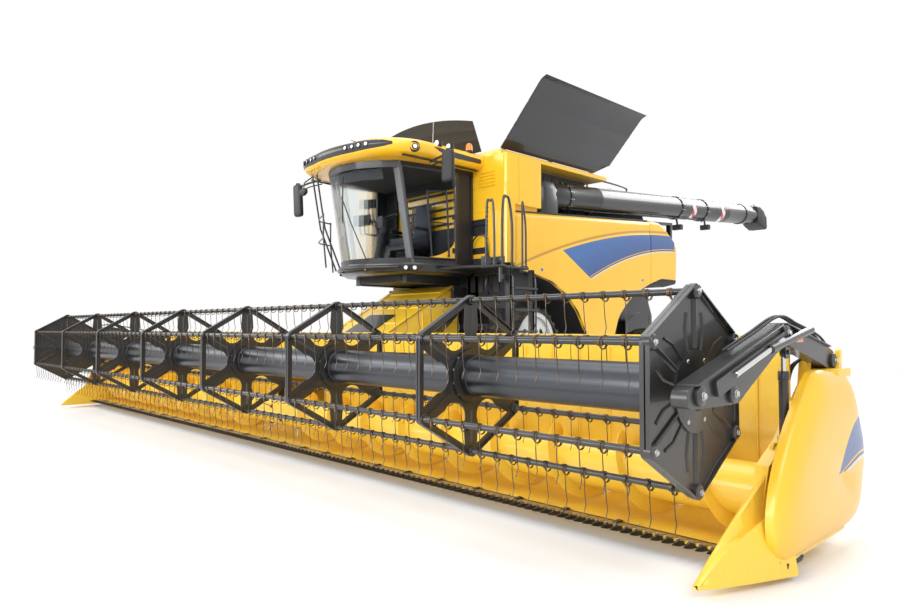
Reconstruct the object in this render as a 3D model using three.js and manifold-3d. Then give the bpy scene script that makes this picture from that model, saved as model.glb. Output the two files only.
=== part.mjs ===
// Combine harvester on a half-track front drive, with a wide cutting header.
// Millimetres. +X is the machine's left, the front faces -Y, +Z is up.
// Each piece is drawn with Y = 0 at the drive axle and Z = 0 on the ground.
import * as THREE from 'three';
import { mergeVertices } from 'three/addons/utils/BufferGeometryUtils.js';
import { ConvexGeometry } from 'three/addons/geometries/ConvexGeometry.js';
import Module from 'manifold-3d';

const wasm = await Module();
wasm.setup();

// ---------- driving dimensions ----------
const SEAM = 0.3; // gap between pieces that rest on each other
const PIN_GAP = 0.3; // least clearance of pins and bars in their holes
const WHEELBASE = 3700;
const FRAME_BOTTOM = 1000;
const FRAME_TOP = 1180;
const RAIL_X = 430; // inner face of each chassis rail
const RAIL_WIDTH = 100;
const FRAME_FRONT = -440;
const FRAME_REAR = 4400;

const TRACK_INNER = 1140;
const TRACK_WIDTH = 610;
const BELT_THICKNESS = 25;
const LUG_HEIGHT = 35;
const LUG_COUNT = 36;
const DRIVE_RADIUS = 430; // inside of the belt at the drive wheel
const DRIVE_Z = 1300;
const IDLER_RADIUS = 310; // inside of the belt at an idler
const IDLER_REACH = 860;
const ROLLER_RADIUS = 130;

const TYRE_RADIUS = 745;
const TYRE_WIDTH = 600;
const RIM_RADIUS = 356;
const REAR_WHEEL_X = 1400;
const KINGPIN_X = 950;
const WHEEL_SEGMENTS = 28;

const BODY_HALF = 1000; // upper threshing body
const BODY_LOWER_HALF = 600;
const BODY_SHOULDER_Z = 1620;
const DECK_Z = 2360;
const DECK_THICKNESS = 60;
const HOOD_REAR = 5000;
const STRAW_HOOD_HALF = 735; // clears the steered tyres
const PANEL_X = 1650; // outer face of the side panels
const PANEL_THICKNESS = 36;
const PANEL_SEAM_Y = 3400;
const PANEL_FRONT_Y = -345;
const PANEL_FRONT_Z = 3180; // top edge at its front end
const PANEL_RISE = 0.0714; // of the top edge, towards the rear
const PANEL_REAR_Y = 4490;

const TOWER_INNER = 780;
const TOWER_FRONT = -550;
const TOWER_REAR = 230;
const TOWER_TOP = 3985;
const TANK_HALF = 1120;
const TANK_REAR = 2100;
const TANK_WALL = 35;
const TANK_RIM_HALF = 1500;
const TANK_RIM_BOTTOM = 4000;
const TANK_RIM_HEIGHT = 70;
const COVER_HINGE_X = 1330;
const COVER_WIDTH = 1280;
const COVER_THICKNESS = 30;
const COVER_LEAN = 43; // degrees from upright when open
const EXTENSION_HEIGHT = 640;
const EXTENSION_LEAN = 32;

const HOOD_TOP = 3750;
const HOOD_WALL = 30;
const HOOD_END = 4240;

const CAB_FLOOR = 2400;
const CAB_BASE_BOTTOM = 2250;
const CAB_TOP = 3800;
const CAB_REAR = -560;
const CAB_WALL = 55;
const GLASS = 8;
const ROOF_TOP = 4055;

const AUGER_PIVOT_X = 1370;
const AUGER_PIVOT_Y = 560;
const AUGER_RADIUS = 215;
const AUGER_STUB = 200; // upright elbow at the pivot
const AUGER_FLANGE = 230;
const AUGER_BASE = 3000; // top of the tank's outlet collar
const AUGER_HEIGHT = 3550; // tube centre at the pivot
const AUGER_RISE = 0.0765;
const AUGER_LENGTH = 7440;
const SPOUT_LENGTH = 880;

const FEEDER_PIVOT_Y = -620;
const FEEDER_PIVOT_Z = 2000;
const FEEDER_HALF = 650;
const FEEDER_WALL = 25;
const HEADER_HALF = 6220; // inner face of an end wall
const HEADER_WALL_Y = -2850; // front face of the back wall
const FEEDER_FRONT = HEADER_WALL_Y + 110;
const HEADER_TOP = 1440;
const SHEET = 24;
const TROUGH_RADIUS = 310;
const INTAKE_Y = HEADER_WALL_Y - TROUGH_RADIUS;
const INTAKE_Z = 430;
const INTAKE_TUBE = 180;
const KNIFE_Y = -3510;
const KNIFE_STROKE = 38;
const KNIFE_THICKNESS = 8;
const SHIELD_DEPTH = 280;
const SHIELD_OUTER = HEADER_HALF + SHIELD_DEPTH;

const REEL_Y = -4070;
const REEL_Z = 1138;
const REEL_SIDE_GAP = 70; // from an end plate to the end wall
const REEL_HALF = HEADER_HALF - REEL_SIDE_GAP; // outer face of an end plate
const REEL_TUBE = 150;
const BAR_CIRCLE = 562;
const BAR_RADIUS = 20;
const BAR_SIDES = 6;
const PLATE_THICKNESS = 14;
const PLATE_EDGE = 48; // from a bar's centre to the plate's corner
const PLATE_RADIUS = BAR_CIRCLE + PLATE_EDGE;
const REEL_BAYS = 7;
const REEL_SHAFT = 45;
const ARM_STANDOFF = 50; // from the end wall's inner face
const ARM_INNER = HEADER_HALF + ARM_STANDOFF;
const ARM_THICKNESS = 90;
const ARM_PIVOT_Y = -2430;
const ARM_PIVOT_Z = 1260;
const ARM_PIVOT = [ARM_PIVOT_Y, ARM_PIVOT_Z];
const REEL_PIN = 14;
const REEL_DOWN = THREE.MathUtils.degToRad(-5);
const REEL_UP = THREE.MathUtils.degToRad(20);
const FEEDER_LIFT = THREE.MathUtils.degToRad(20);
const REEL_CYLINDER_Y = -3210;
const REEL_CYLINDER_LOW = 700;
const REEL_CYLINDER_HIGH = 1340;

const LIFT_X = 450; // feeder lift cylinders
const LIFT_LOW_Y = -330;
const LIFT_LOW_Z = 640;
const LIFT_HIGH_Y = -1950;
const LIFT_HIGH_Z = 520;
const LIFT_SHAFT = 30;

// ---------- paint ----------
const YELLOW = { color: 0xf2b705, roughness: 0.35, metalness: 0.1 };
const BLACK = { color: 0x1d1d1f, roughness: 0.5, metalness: 0.2 };
const GREY = { color: 0x6f7377, roughness: 0.45, metalness: 0.5 };
const RUBBER = { color: 0x161616, roughness: 0.85, metalness: 0 };
const CHROME = { color: 0xc9cdd0, roughness: 0.15, metalness: 1 };
const WHITE = { color: 0xe6e6e2, roughness: 0.4, metalness: 0.1 };
const CLEAR = { color: 0x9fb2b8, roughness: 0.05, metalness: 0, transparent: true, opacity: 0.35 };
const CLOTH = { color: 0x3c4046, roughness: 0.9, metalness: 0 };

// ---------- geometry helpers ----------
const group = new THREE.Group();

function closed(geometry) {
  geometry.deleteAttribute('normal');
  geometry.deleteAttribute('uv');
  const plain = mergeVertices(geometry, 1e-3);
  const position = plain.attributes.position;
  const index = plain.index.array;
  const a = new THREE.Vector3();
  const b = new THREE.Vector3();
  const c = new THREE.Vector3();
  let volume = 0;
  for (let i = 0; i < index.length; i += 3) {
    a.fromBufferAttribute(position, index[i]);
    b.fromBufferAttribute(position, index[i + 1]);
    c.fromBufferAttribute(position, index[i + 2]);
    volume += a.dot(b.cross(c));
  }
  if (volume < 0) {
    for (let i = 0; i < index.length; i += 3) {
      [index[i], index[i + 1]] = [index[i + 1], index[i]];
    }
  }
  return plain;
}

function solid(geometry) {
  const plain = closed(geometry);
  return new wasm.Manifold(new wasm.Mesh({
    numProp: 3,
    vertProperties: new Float32Array(plain.attributes.position.array),
    triVerts: new Uint32Array(plain.index.array),
  }));
}

function joined(...pieces) {
  return pieces.flat().reduce((sum, piece) => sum.add(piece));
}

function piece(name, shape, paint) {
  const data = shape.getMesh();
  const geometry = new THREE.BufferGeometry();
  geometry.setAttribute('position', new THREE.BufferAttribute(data.vertProperties, 3));
  geometry.setIndex(new THREE.BufferAttribute(data.triVerts, 1));
  geometry.computeVertexNormals();
  const mesh = new THREE.Mesh(geometry, new THREE.MeshStandardMaterial(paint));
  mesh.name = name;
  group.add(mesh);
}

function box(x0, x1, y0, y1, z0, z1) {
  const geometry = new THREE.BoxGeometry(Math.abs(x1 - x0), Math.abs(y1 - y0), Math.abs(z1 - z0));
  geometry.translate((x0 + x1) / 2, (y0 + y1) / 2, (z0 + z1) / 2);
  return solid(geometry);
}

function outline(points) {
  return points instanceof THREE.Shape ? points : new THREE.Shape(
    points.map(([u, v]) => new THREE.Vector2(u, v)));
}

// An outline in Y and Z, from x0 to x1.
function prismX(points, x0, x1) {
  const geometry = new THREE.ExtrudeGeometry(outline(points),
    { depth: Math.abs(x1 - x0), bevelEnabled: false, curveSegments: 8 });
  geometry.applyMatrix4(new THREE.Matrix4().set(0, 0, 1, Math.min(x0, x1), 1, 0, 0, 0, 0, 1, 0, 0, 0, 0, 0,
    1));
  return solid(geometry);
}

// An outline in X and Z, from y0 to y1.
function prismY(points, y0, y1) {
  const geometry = new THREE.ExtrudeGeometry(outline(points),
    { depth: Math.abs(y1 - y0), bevelEnabled: false, curveSegments: 8 });
  geometry.applyMatrix4(new THREE.Matrix4().set(1, 0, 0, 0, 0, 0, -1, Math.max(y0, y1), 0, 1, 0, 0, 0, 0, 0,
    1));
  return solid(geometry);
}

// An outline in X and Y, from z0 to z1.
function prismZ(points, z0, z1) {
  const geometry = new THREE.ExtrudeGeometry(outline(points),
    { depth: Math.abs(z1 - z0), bevelEnabled: false, curveSegments: 8 });
  geometry.translate(0, 0, Math.min(z0, z1));
  return solid(geometry);
}

// A round bar from one point to another. Its flats can be turned by half a side.
function rod(from, to, radius, sides = 12, turn = 0) {
  const start = new THREE.Vector3(...from);
  const end = new THREE.Vector3(...to);
  const along = end.clone().sub(start);
  const geometry = new THREE.CylinderGeometry(radius, radius, along.length(), sides);
  geometry.rotateY((turn * Math.PI) / sides);
  geometry.applyQuaternion(new THREE.Quaternion()
    .setFromUnitVectors(new THREE.Vector3(0, 1, 0), along.normalize()));
  geometry.translate((from[0] + to[0]) / 2, (from[1] + to[1]) / 2, (from[2] + to[2]) / 2);
  return solid(geometry);
}

// A bent tube through a list of points.
function tube(points, radius, steps = 12, sides = 6) {
  const path = new THREE.CatmullRomCurve3(points.map((p) => new THREE.Vector3(...p)), false, 'centripetal');
  const section = new THREE.Shape();
  for (let k = 0; k < sides; k += 1) {
    const angle = (2 * Math.PI * k) / sides;
    section[k === 0 ? 'moveTo' : 'lineTo'](radius * Math.cos(angle), radius * Math.sin(angle));
  }
  return solid(new THREE.ExtrudeGeometry(section, { steps, bevelEnabled: false, extrudePath: path }));
}

// A closed profile of [radius, place along the axle], turned about an axle along X.
function turned(profile, side, x, y, z, segments = WHEEL_SEGMENTS) {
  const ends = [...profile, profile[0]];
  const geometry = new THREE.LatheGeometry(ends.map(([r, a]) => new THREE.Vector2(r, a)), segments);
  geometry.rotateZ(side > 0 ? -Math.PI / 2 : Math.PI / 2);
  geometry.translate(x, y, z);
  return solid(geometry);
}

function hull(points) {
  return solid(new ConvexGeometry(points.map((p) => new THREE.Vector3(...p))));
}

// A skin between rings of points, with a flat end on the first and last ring.
// The rings lie in planes across the given axis.
function loft(rings, axis = 'z') {
  const flatten = axis === 'z' ? ([x, y]) => new THREE.Vector2(x, y) : ([, y, z]) =>
    new THREE.Vector2(y, z);
  const clockwise = THREE.ShapeUtils.isClockWise(rings[0].map(flatten));
  const loops = clockwise ? rings.map((ring) => [...ring].reverse()) : rings;
  const count = loops[0].length;
  const index = [];
  for (let r = 0; r + 1 < loops.length; r += 1) {
    for (let k = 0; k < count; k += 1) {
      const a = r * count + k;
      const b = r * count + ((k + 1) % count);
      index.push(a, b, b + count, a, b + count, a + count);
    }
  }
  const last = (loops.length - 1) * count;
  const near = THREE.ShapeUtils.triangulateShape(loops[0].map(flatten), []);
  const far = THREE.ShapeUtils.triangulateShape(loops.at(-1).map(flatten), []);
  near.forEach(([a, b, c]) => index.push(c, b, a));
  far.forEach(([a, b, c]) => index.push(last + a, last + b, last + c));
  const geometry = new THREE.BufferGeometry();
  geometry.setAttribute('position', new THREE.Float32BufferAttribute(loops.flat(2), 3));
  geometry.setIndex(index);
  return solid(geometry);
}

// A hole whose flats just clear the corners of a bar that turns in it.
function shaftHole(radius, count = 12) {
  return (radius + PIN_GAP) / Math.cos(Math.PI / count);
}

const sides = [['left', 1], ['right', -1]];

// The hole for a cylinder's upper pin, opened along the way that the pin drifts. The cylinder runs from low
// to high, and high turns about a pivot. Its swing and its stroke keep one ratio to that turn, from one end
// to the other.
function openPivot(low, high, pivot, start, end, radius, x0, x1) {
  const turnedAbout = (point, angle) => {
    const [y, z] = [point[0] - pivot[0], point[1] - pivot[1]];
    const [c, t] = [Math.cos(angle), Math.sin(angle)];
    return [pivot[0] + y * c + z * t, pivot[1] - y * t + z * c];
  };
  const polar = (angle) => {
    const [y, z] = turnedAbout(high, angle);
    return [Math.hypot(y - low[0], z - low[1]), Math.atan2(y - low[0], z - low[1])];
  };
  const [from, to, rest] = [polar(start), polar(end), polar(0)];
  const centres = [];
  for (let k = 0; k <= 8; k += 1) {
    const angle = start + ((end - start) * k) / 8;
    const length = rest[0] + ((to[0] - from[0]) * angle) / (end - start);
    const lean = rest[1] + ((to[1] - from[1]) * angle) / (end - start);
    centres.push(turnedAbout([low[0] + length * Math.sin(lean), low[1] + length * Math.cos(lean)], -angle));
  }
  const hole = shaftHole(radius);
  const around = (centre) => Array.from({ length: 12 }, (_, k) => {
    const angle = (Math.PI / 6) * k;
    return [centre[0] + hole * Math.cos(angle), centre[1] + hole * Math.sin(angle)];
  });
  return joined(centres.slice(1).map((centre, k) => hull(
    [...around(centres[k]), ...around(centre)].flatMap(([y, z]) => [[x0, y, z], [x1, y, z]]),
  )));
}

// ---------- tracks ----------
const wheels = [
  { y: -IDLER_REACH, z: 0, radius: IDLER_RADIUS },
  { y: IDLER_REACH, z: 0, radius: IDLER_RADIUS },
  { y: 0, z: 0, radius: DRIVE_RADIUS },
];
const IDLER_Z = IDLER_RADIUS + BELT_THICKNESS + LUG_HEIGHT;
wheels[0].z = IDLER_Z;
wheels[1].z = IDLER_Z;
wheels[2].z = DRIVE_Z;

// The path of a belt face that lies a given distance outside the wheels.
function beltPath(offset, arcStep) {
  const points = [];
  const normals = wheels.map((from, k) => {
    const to = wheels[(k + 1) % wheels.length];
    const along = new THREE.Vector2(to.y - from.y, to.z - from.z);
    const length = along.length();
    along.divideScalar(length);
    const tilt = (from.radius - to.radius) / length;
    const right = new THREE.Vector2(along.y, -along.x);
    return along.multiplyScalar(tilt).add(right.multiplyScalar(Math.sqrt(1 - tilt * tilt)));
  });
  wheels.forEach((wheel, k) => {
    const before = normals[(k + wheels.length - 1) % wheels.length];
    const start = Math.atan2(before.y, before.x);
    let turn = Math.atan2(normals[k].y, normals[k].x) - start;
    if (turn < 0) turn += 2 * Math.PI;
    const steps = Math.max(1, Math.round(turn / arcStep));
    for (let s = 0; s <= steps; s += 1) {
      const angle = start + (turn * s) / steps;
      const radius = wheel.radius + offset;
      points.push([wheel.y + radius * Math.cos(angle), wheel.z + radius * Math.sin(angle)]);
    }
  });
  return points;
}

const ARC_STEP = Math.PI / 16;

function trackBelt(side) {
  const path = beltPath(BELT_THICKNESS, Math.PI / 90);
  const lengths = [0];
  for (let k = 1; k <= path.length; k += 1) {
    const [a, b] = [path[k - 1], path[k % path.length]];
    lengths.push(lengths[k - 1] + Math.hypot(b[0] - a[0], b[1] - a[1]));
  }
  const total = lengths.at(-1);
  const at = (distance, lift) => {
    const wanted = distance % total;
    let k = 1;
    while (lengths[k] < wanted) k += 1;
    const [a, b] = [path[k - 1], path[k % path.length]];
    const step = lengths[k] - lengths[k - 1];
    const share = (wanted - lengths[k - 1]) / step;
    const normal = [(b[1] - a[1]) / step, -(b[0] - a[0]) / step];
    return [a[0] + (b[0] - a[0]) * share + normal[0] * lift,
      a[1] + (b[1] - a[1]) * share + normal[1] * lift];
  };
  const pitch = total / LUG_COUNT;
  const shoes = [];
  for (let k = 0; k < LUG_COUNT; k += 1) {
    const start = k * pitch;
    shoes.push(at(start, 0), at(start + pitch * 0.08, LUG_HEIGHT));
    shoes.push(at(start + pitch * 0.42, LUG_HEIGHT), at(start + pitch * 0.5, 0));
  }
  const shape = outline(shoes);
  shape.holes.push(new THREE.Path(beltPath(0, ARC_STEP).map(([y, z]) => new THREE.Vector2(y, z))));
  return prismX(shape, side * TRACK_INNER, side * (TRACK_INNER + TRACK_WIDTH));
}

const TRACK_SEGMENTS = 24;

// The widest wheel that turns inside a belt bend.
function insideBelt(beltRadius) {
  return beltRadius * Math.cos(ARC_STEP / 2) - SEAM;
}

// A drive wheel with a rim, a dished web and a hub.
function driveWheel(side) {
  const radius = insideBelt(DRIVE_RADIUS);
  const near = TRACK_INNER + 20;
  const far = TRACK_INNER + TRACK_WIDTH - 20;
  const web = far - 70;
  const profile = [
    [0.01, near], [90, near], [90, web], [radius - 30, web], [radius, near + 60], [radius, far],
      [radius - 30, far],
    [radius - 30, web + 25], [0.01, web + 25],
  ];
  return turned(profile, side, 0, 0, DRIVE_Z, TRACK_SEGMENTS);
}

// An idler: a plain drum with a recessed face.
function idlerWheel(side, y) {
  const radius = insideBelt(IDLER_RADIUS);
  const near = TRACK_INNER + 40;
  const far = TRACK_INNER + TRACK_WIDTH - 20;
  const profile = [[0.01, near], [radius, near], [radius, far], [radius - 30, far], [90, far - 60],
    [90, far - 10], [0.01, far - 10]];
  return turned(profile, side, 0, y, IDLER_Z, TRACK_SEGMENTS);
}

function trackFrame(side) {
  const middle = TRACK_INNER + TRACK_WIDTH / 2;
  const drive = driveWheel(side);
  const beams = [
    prismX([[-IDLER_REACH, IDLER_Z - 60], [IDLER_REACH, IDLER_Z - 60], [IDLER_REACH, IDLER_Z + 60],
      [120, IDLER_Z + 140], [110, DRIVE_Z], [-110, DRIVE_Z], [-120, IDLER_Z + 140],
        [-IDLER_REACH, IDLER_Z + 60]],
    side * (middle - 60), side * (middle + 20)),
    rod([side * (TRACK_INNER - 30 + SEAM), 0, DRIVE_Z], [side * (middle + 100), 0, DRIVE_Z], 95, 16),
  ];
  const rollers = [-420, 0, 420].map((y) => joined(
    rod([side * (TRACK_INNER + 60), y, BELT_THICKNESS + LUG_HEIGHT + ROLLER_RADIUS + SEAM],
      [side * (TRACK_INNER + TRACK_WIDTH - 60), y, BELT_THICKNESS + LUG_HEIGHT + ROLLER_RADIUS + SEAM],
        ROLLER_RADIUS, 12),
    box(side * (middle - 50), side * (middle + 10), y - 50, y + 50,
      BELT_THICKNESS + LUG_HEIGHT + ROLLER_RADIUS, IDLER_Z),
  ));
  const idlers = [-IDLER_REACH, IDLER_REACH].map((y) => idlerWheel(side, y));
  return joined(drive, beams, rollers, idlers);
}

for (const [name, side] of sides) {
  piece(`track_belt_${name}`, trackBelt(side), RUBBER);
  piece(`track_frame_${name}`, trackFrame(side), WHITE);
}

// ---------- chassis ----------
function mainFrame() {
  const parts = [];
  for (const [, side] of sides) {
    parts.push(box(side * RAIL_X, side * (RAIL_X + RAIL_WIDTH), FRAME_FRONT, FRAME_REAR, FRAME_BOTTOM,
      FRAME_TOP));
    // final drive housing beside the body
    parts.push(prismX([[-170, 820], [170, 820], [170, DRIVE_Z], [90, DRIVE_Z + 160], [-90, DRIVE_Z + 160],
      [-170, DRIVE_Z]],
      side * (BODY_LOWER_HALF + 60), side * (TRACK_INNER - 30)));
    // ears that hold the lift cylinders' low shaft
    for (const x of [LIFT_X - 90, LIFT_X + 60]) {
      parts.push(prismX([[-150, 820], [-150, 900], [LIFT_LOW_Y - 50, LIFT_LOW_Z + 40],
        [LIFT_LOW_Y - 50, LIFT_LOW_Z - 50],
        [LIFT_LOW_Y + 60, LIFT_LOW_Z - 50], [0, 780], [0, 830]], side * x, side * (x + 30)));
    }
  }
  parts.push(box(-TRACK_INNER + 200, TRACK_INNER - 200, -150, 150, 820, FRAME_BOTTOM + 1));
  for (const y of [FRAME_FRONT, 1500, WHEELBASE - 130, FRAME_REAR - 100]) {
    parts.push(box(-RAIL_X - 1, RAIL_X + 1, y, y + 100, FRAME_BOTTOM, FRAME_TOP));
  }
  // rear axle pivot bracket
  for (const y of [WHEELBASE - 170, WHEELBASE + 120]) {
    parts.push(box(-160, 160, y, y + 50, 800, FRAME_BOTTOM + 1));
  }
  parts.push(box(-RAIL_X - 1, RAIL_X + 1, WHEELBASE + 120, WHEELBASE + 170, FRAME_BOTTOM,
    FRAME_BOTTOM + 60));
  const shaft = rod([-800, LIFT_LOW_Y, LIFT_LOW_Z], [800, LIFT_LOW_Y, LIFT_LOW_Z], shaftHole(LIFT_SHAFT),
    12);
  return joined(parts).subtract(shaft);
}
piece('main_frame', mainFrame(), BLACK);

const HINGE_X = 1600;
const HINGE_PIN = 14;
const HINGE_DROP = 12; // hinge line below the panel's top edge
const RAIL_START = AUGER_PIVOT_Y + AUGER_FLANGE + 10;

function panelTop(y) {
  return PANEL_FRONT_Z + PANEL_RISE * (y - PANEL_FRONT_Y);
}

function hingeZ(y) {
  return panelTop(y) - HINGE_DROP;
}

// ---------- threshing body with straw hood, deck and panel rails ----------
function threshingBody() {
  const bottom = FRAME_TOP + SEAM;
  const section = [
    [-BODY_LOWER_HALF, bottom], [BODY_LOWER_HALF, bottom], [BODY_LOWER_HALF, BODY_SHOULDER_Z - 60],
    [BODY_HALF, BODY_SHOULDER_Z + 180], [BODY_HALF, DECK_Z + 1], [-BODY_HALF, DECK_Z + 1],
    [-BODY_HALF, BODY_SHOULDER_Z + 180], [-BODY_LOWER_HALF, BODY_SHOULDER_Z - 60],
  ];
  const parts = [prismY(section, FRAME_FRONT, 4100)];
  // straw hood and chopper housing behind the rear axle
  parts.push(prismX([[4000, bottom], [4520, bottom], [4700, 1080], [HOOD_REAR, 1180], [HOOD_REAR, 1750],
    [4700, DECK_Z], [4000, DECK_Z + 1]],
    -STRAW_HOOD_HALF, STRAW_HOOD_HALF));
  parts.push(box(-1560, 1560, -380, 4380, DECK_Z, DECK_Z + DECK_THICKNESS));
  // beams that carry the cab
  for (const [, side] of sides) {
    parts.push(box(side * 480, side * 600, -1500, FRAME_FRONT + 1, 2140, CAB_BASE_BOTTOM - SEAM));
    // sloping rail beside the panel's hinge, on its posts
    const rail = [RAIL_START, 4300].flatMap((y) => [[y, hingeZ(y) - 50], [y, hingeZ(y)]]);
    parts.push(prismX([rail[0], rail[2], rail[3], rail[1]], side * 1490,
      side * (HINGE_X - HINGE_PIN - SEAM)));
    for (const y of [RAIL_START, 2000, PANEL_SEAM_Y - 120, 4240]) {
      parts.push(box(side * 1490, side * (HINGE_X - 20), y, y + 60, DECK_Z, hingeZ(y) - 15));
    }
    parts.push(box(side * 1500, side * (PANEL_X - PANEL_THICKNESS - SEAM), 4240, 4300, 2590, 2610));
    // bracket with the feeder's pivot
    parts.push(box(side * (FEEDER_HALF + 50), side * (FEEDER_HALF + 110), FEEDER_PIVOT_Y - 100,
      FRAME_FRONT + 1,
      FEEDER_PIVOT_Z - 150, FEEDER_PIVOT_Z + 100));
  }
  return joined(parts);
}
piece('threshing_body', threshingBody(), BLACK);

// ---------- service towers, joined by the wall behind the cab ----------
function serviceTowers() {
  const low = DECK_Z + DECK_THICKNESS + SEAM;
  const towers = sides.map(([, side]) => prismZ([
    [TOWER_INNER, TOWER_FRONT], [PANEL_X - 60, TOWER_FRONT], [PANEL_X, TOWER_FRONT + 60],
      [PANEL_X, TOWER_REAR], [TOWER_INNER, TOWER_REAR],
  ].map(([x, y]) => [side * x, y]), low, TOWER_TOP)
    .subtract(box(side * (HINGE_X - 20), side * (PANEL_X + 50), PANEL_FRONT_Y - 12, TOWER_REAR + 50,
      low - 50, PANEL_FRONT_Z + 80)));
  return joined(towers, box(-TOWER_INNER - 1, TOWER_INNER + 1, TOWER_FRONT, TOWER_FRONT + 60, low,
    TOWER_TOP));
}
piece('service_towers', serviceTowers(), YELLOW);

// ---------- grain tank ----------
function grainTank() {
  const floor = DECK_Z + DECK_THICKNESS + SEAM;
  const front = TOWER_FRONT + 110;
  const outer = joined(
    box(-TOWER_INNER + 5, TOWER_INNER - 5, front, TOWER_REAR + 6, floor, TANK_RIM_BOTTOM + 1),
    box(-TANK_HALF, TANK_HALF, TOWER_REAR + 5, TANK_REAR, floor, TANK_RIM_BOTTOM + 1),
    box(-TANK_RIM_HALF, TANK_RIM_HALF, front - 60, TANK_REAR + 100, TANK_RIM_BOTTOM,
      TANK_RIM_BOTTOM + TANK_RIM_HEIGHT),
    // outlet housing under the unloading auger
    box(TANK_HALF - 1, AUGER_PIVOT_X + AUGER_STUB, AUGER_PIVOT_Y - AUGER_STUB, AUGER_PIVOT_Y + AUGER_STUB,
      floor, AUGER_BASE),
  );
  const top = TANK_RIM_BOTTOM + TANK_RIM_HEIGHT + 10;
  const [x, y0, y1] = [TANK_HALF - TANK_WALL, TOWER_REAR + 5 + TANK_WALL, TANK_REAR - TANK_WALL];
  const ring = (dx, dy0, dy1, z) => [[-dx, dy0, z], [dx, dy0, z], [dx, dy1, z], [-dx, dy1, z]];
  const hopper = loft([ring(500, 700, 1500, floor + 120), ring(x, y0, y1, 3150), ring(x, y0, y1, top)]);
  const mouth = box(-TOWER_INNER + 5 + TANK_WALL, TOWER_INNER - 5 - TANK_WALL, front + TANK_WALL, y0 + 100,
    3150, top);
  return outer.subtract(hopper).subtract(mouth);
}
piece('grain_tank', grainTank(), BLACK);

// ---------- tank covers, standing open ----------
const RIM_TOP = TANK_RIM_BOTTOM + TANK_RIM_HEIGHT;
const COVER_PIN = 22;
const COVER_OFFSET = 40; // plate above its hinge line when closed
const HINGE_Z = RIM_TOP + COVER_PIN + SEAM;
for (const [name, side] of sides) {
  const lean = THREE.MathUtils.degToRad(COVER_LEAN);
  const [ux, uz] = [Math.sin(lean), Math.cos(lean)];
  const [nx, nz] = [Math.cos(lean), -Math.sin(lean)];
  const at = (along, out) => [side * (COVER_HINGE_X + ux * along + nx * out),
    HINGE_Z + uz * along + nz * out];
  const [under, over] = [COVER_OFFSET, COVER_OFFSET + COVER_THICKNESS];
  const plate = prismY([at(75, under), at(COVER_WIDTH - 110, under), at(COVER_WIDTH, under + 45),
    at(COVER_WIDTH - 10, over + 45),
    at(COVER_WIDTH - 115, over), at(75, over)], -420, 2200);
  const corner = prismY([at(-10, 0), at(-10, 120), at(260, 120), at(260, 0)], 2080, 2260);
  const hinges = [-300, 800, 1900].map((y) => joined(
    rod([side * COVER_HINGE_X, y - 60, HINGE_Z], [side * COVER_HINGE_X, y + 60, HINGE_Z], COVER_PIN, 8),
    prismY([at(0, -10), at(10, 18), at(72, over - 5), at(110, over - 5), at(110, under + 5), at(20, -10)],
      y - 60, y + 60),
  ));
  piece(`tank_cover_${name}`, joined(plate.subtract(corner), hinges), BLACK);
}

const EXTENSION_Y = TOWER_FRONT + 60;
const EXTENSION_PIN = 15;
function frontExtension() {
  const lean = THREE.MathUtils.degToRad(EXTENSION_LEAN);
  const shape = new THREE.Shape();
  shape.moveTo(-1120, 0);
  shape.lineTo(1120, 0);
  shape.lineTo(1180, EXTENSION_HEIGHT * 0.72);
  shape.quadraticCurveTo(600, EXTENSION_HEIGHT, 0, EXTENSION_HEIGHT);
  shape.quadraticCurveTo(-600, EXTENSION_HEIGHT, -1180, EXTENSION_HEIGHT * 0.72);
  const geometry = new THREE.ExtrudeGeometry(shape, { depth: 20, bevelEnabled: false, curveSegments: 8 });
  geometry.rotateX(Math.PI / 2 + lean);
  geometry.translate(0, EXTENSION_Y, RIM_TOP + 24);
  const pinZ = RIM_TOP + EXTENSION_PIN + SEAM;
  const pins = [-900, 0, 900].map((x) => rod([x - 80, EXTENSION_Y, pinZ], [x + 80, EXTENSION_Y, pinZ],
    EXTENSION_PIN, 8));
  return joined(solid(geometry), pins);
}
piece('tank_front_extension', frontExtension(), BLACK);

// ---------- engine and its hood ----------
const HOOD_FLOOR = DECK_Z + DECK_THICKNESS + SEAM;
piece('engine_block', box(-450, 450, 2450, 3750, HOOD_FLOOR, 3350), GREY);

function engineHood() {
  const front = TANK_REAR + 110;
  const side = [[front, HOOD_FLOOR], [HOOD_END, HOOD_FLOOR], [HOOD_END, 3180], [3950, HOOD_TOP],
    [front, HOOD_TOP]];
  const hollow = [[front + HOOD_WALL, HOOD_FLOOR - 5], [HOOD_END - HOOD_WALL, HOOD_FLOOR - 5],
    [HOOD_END - HOOD_WALL, 3170],
    [3930, HOOD_TOP - HOOD_WALL], [front + HOOD_WALL, HOOD_TOP - HOOD_WALL]];
  const shell = prismX(side, -TANK_HALF, TANK_HALF)
    .subtract(prismX(hollow, -TANK_HALF + HOOD_WALL, TANK_HALF - HOOD_WALL));
  const rails = sides.map(([, s]) => tube([[s * 900, 2500, HOOD_TOP - 20], [s * 900, 2500, HOOD_TOP + 400],
    [s * 900, 2600, HOOD_TOP + 450],
    [s * 900, 3700, HOOD_TOP + 450], [s * 900, 3800, HOOD_TOP + 400], [s * 900, 3800, HOOD_TOP - 20]], 20,
      12));
  return joined(shell, rails);
}
piece('engine_hood', engineHood(), BLACK);

// ---------- side panels ----------
const SECTION = [[1000, 1590], [1400, 1618], [2000, 1642], [2600, PANEL_X], [3000, 1648], [3250, 1640],
  [3500, 1628]];

// The curved skin of a side, as a strip along Y.
function sideSkin(side) {
  const outer = SECTION.map(([z, x]) => [side * x, z]);
  const inner = SECTION.map(([z, x]) => [side * (x - PANEL_THICKNESS), z]).reverse();
  return prismY([...outer, ...inner], -500, 4700);
}

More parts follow.
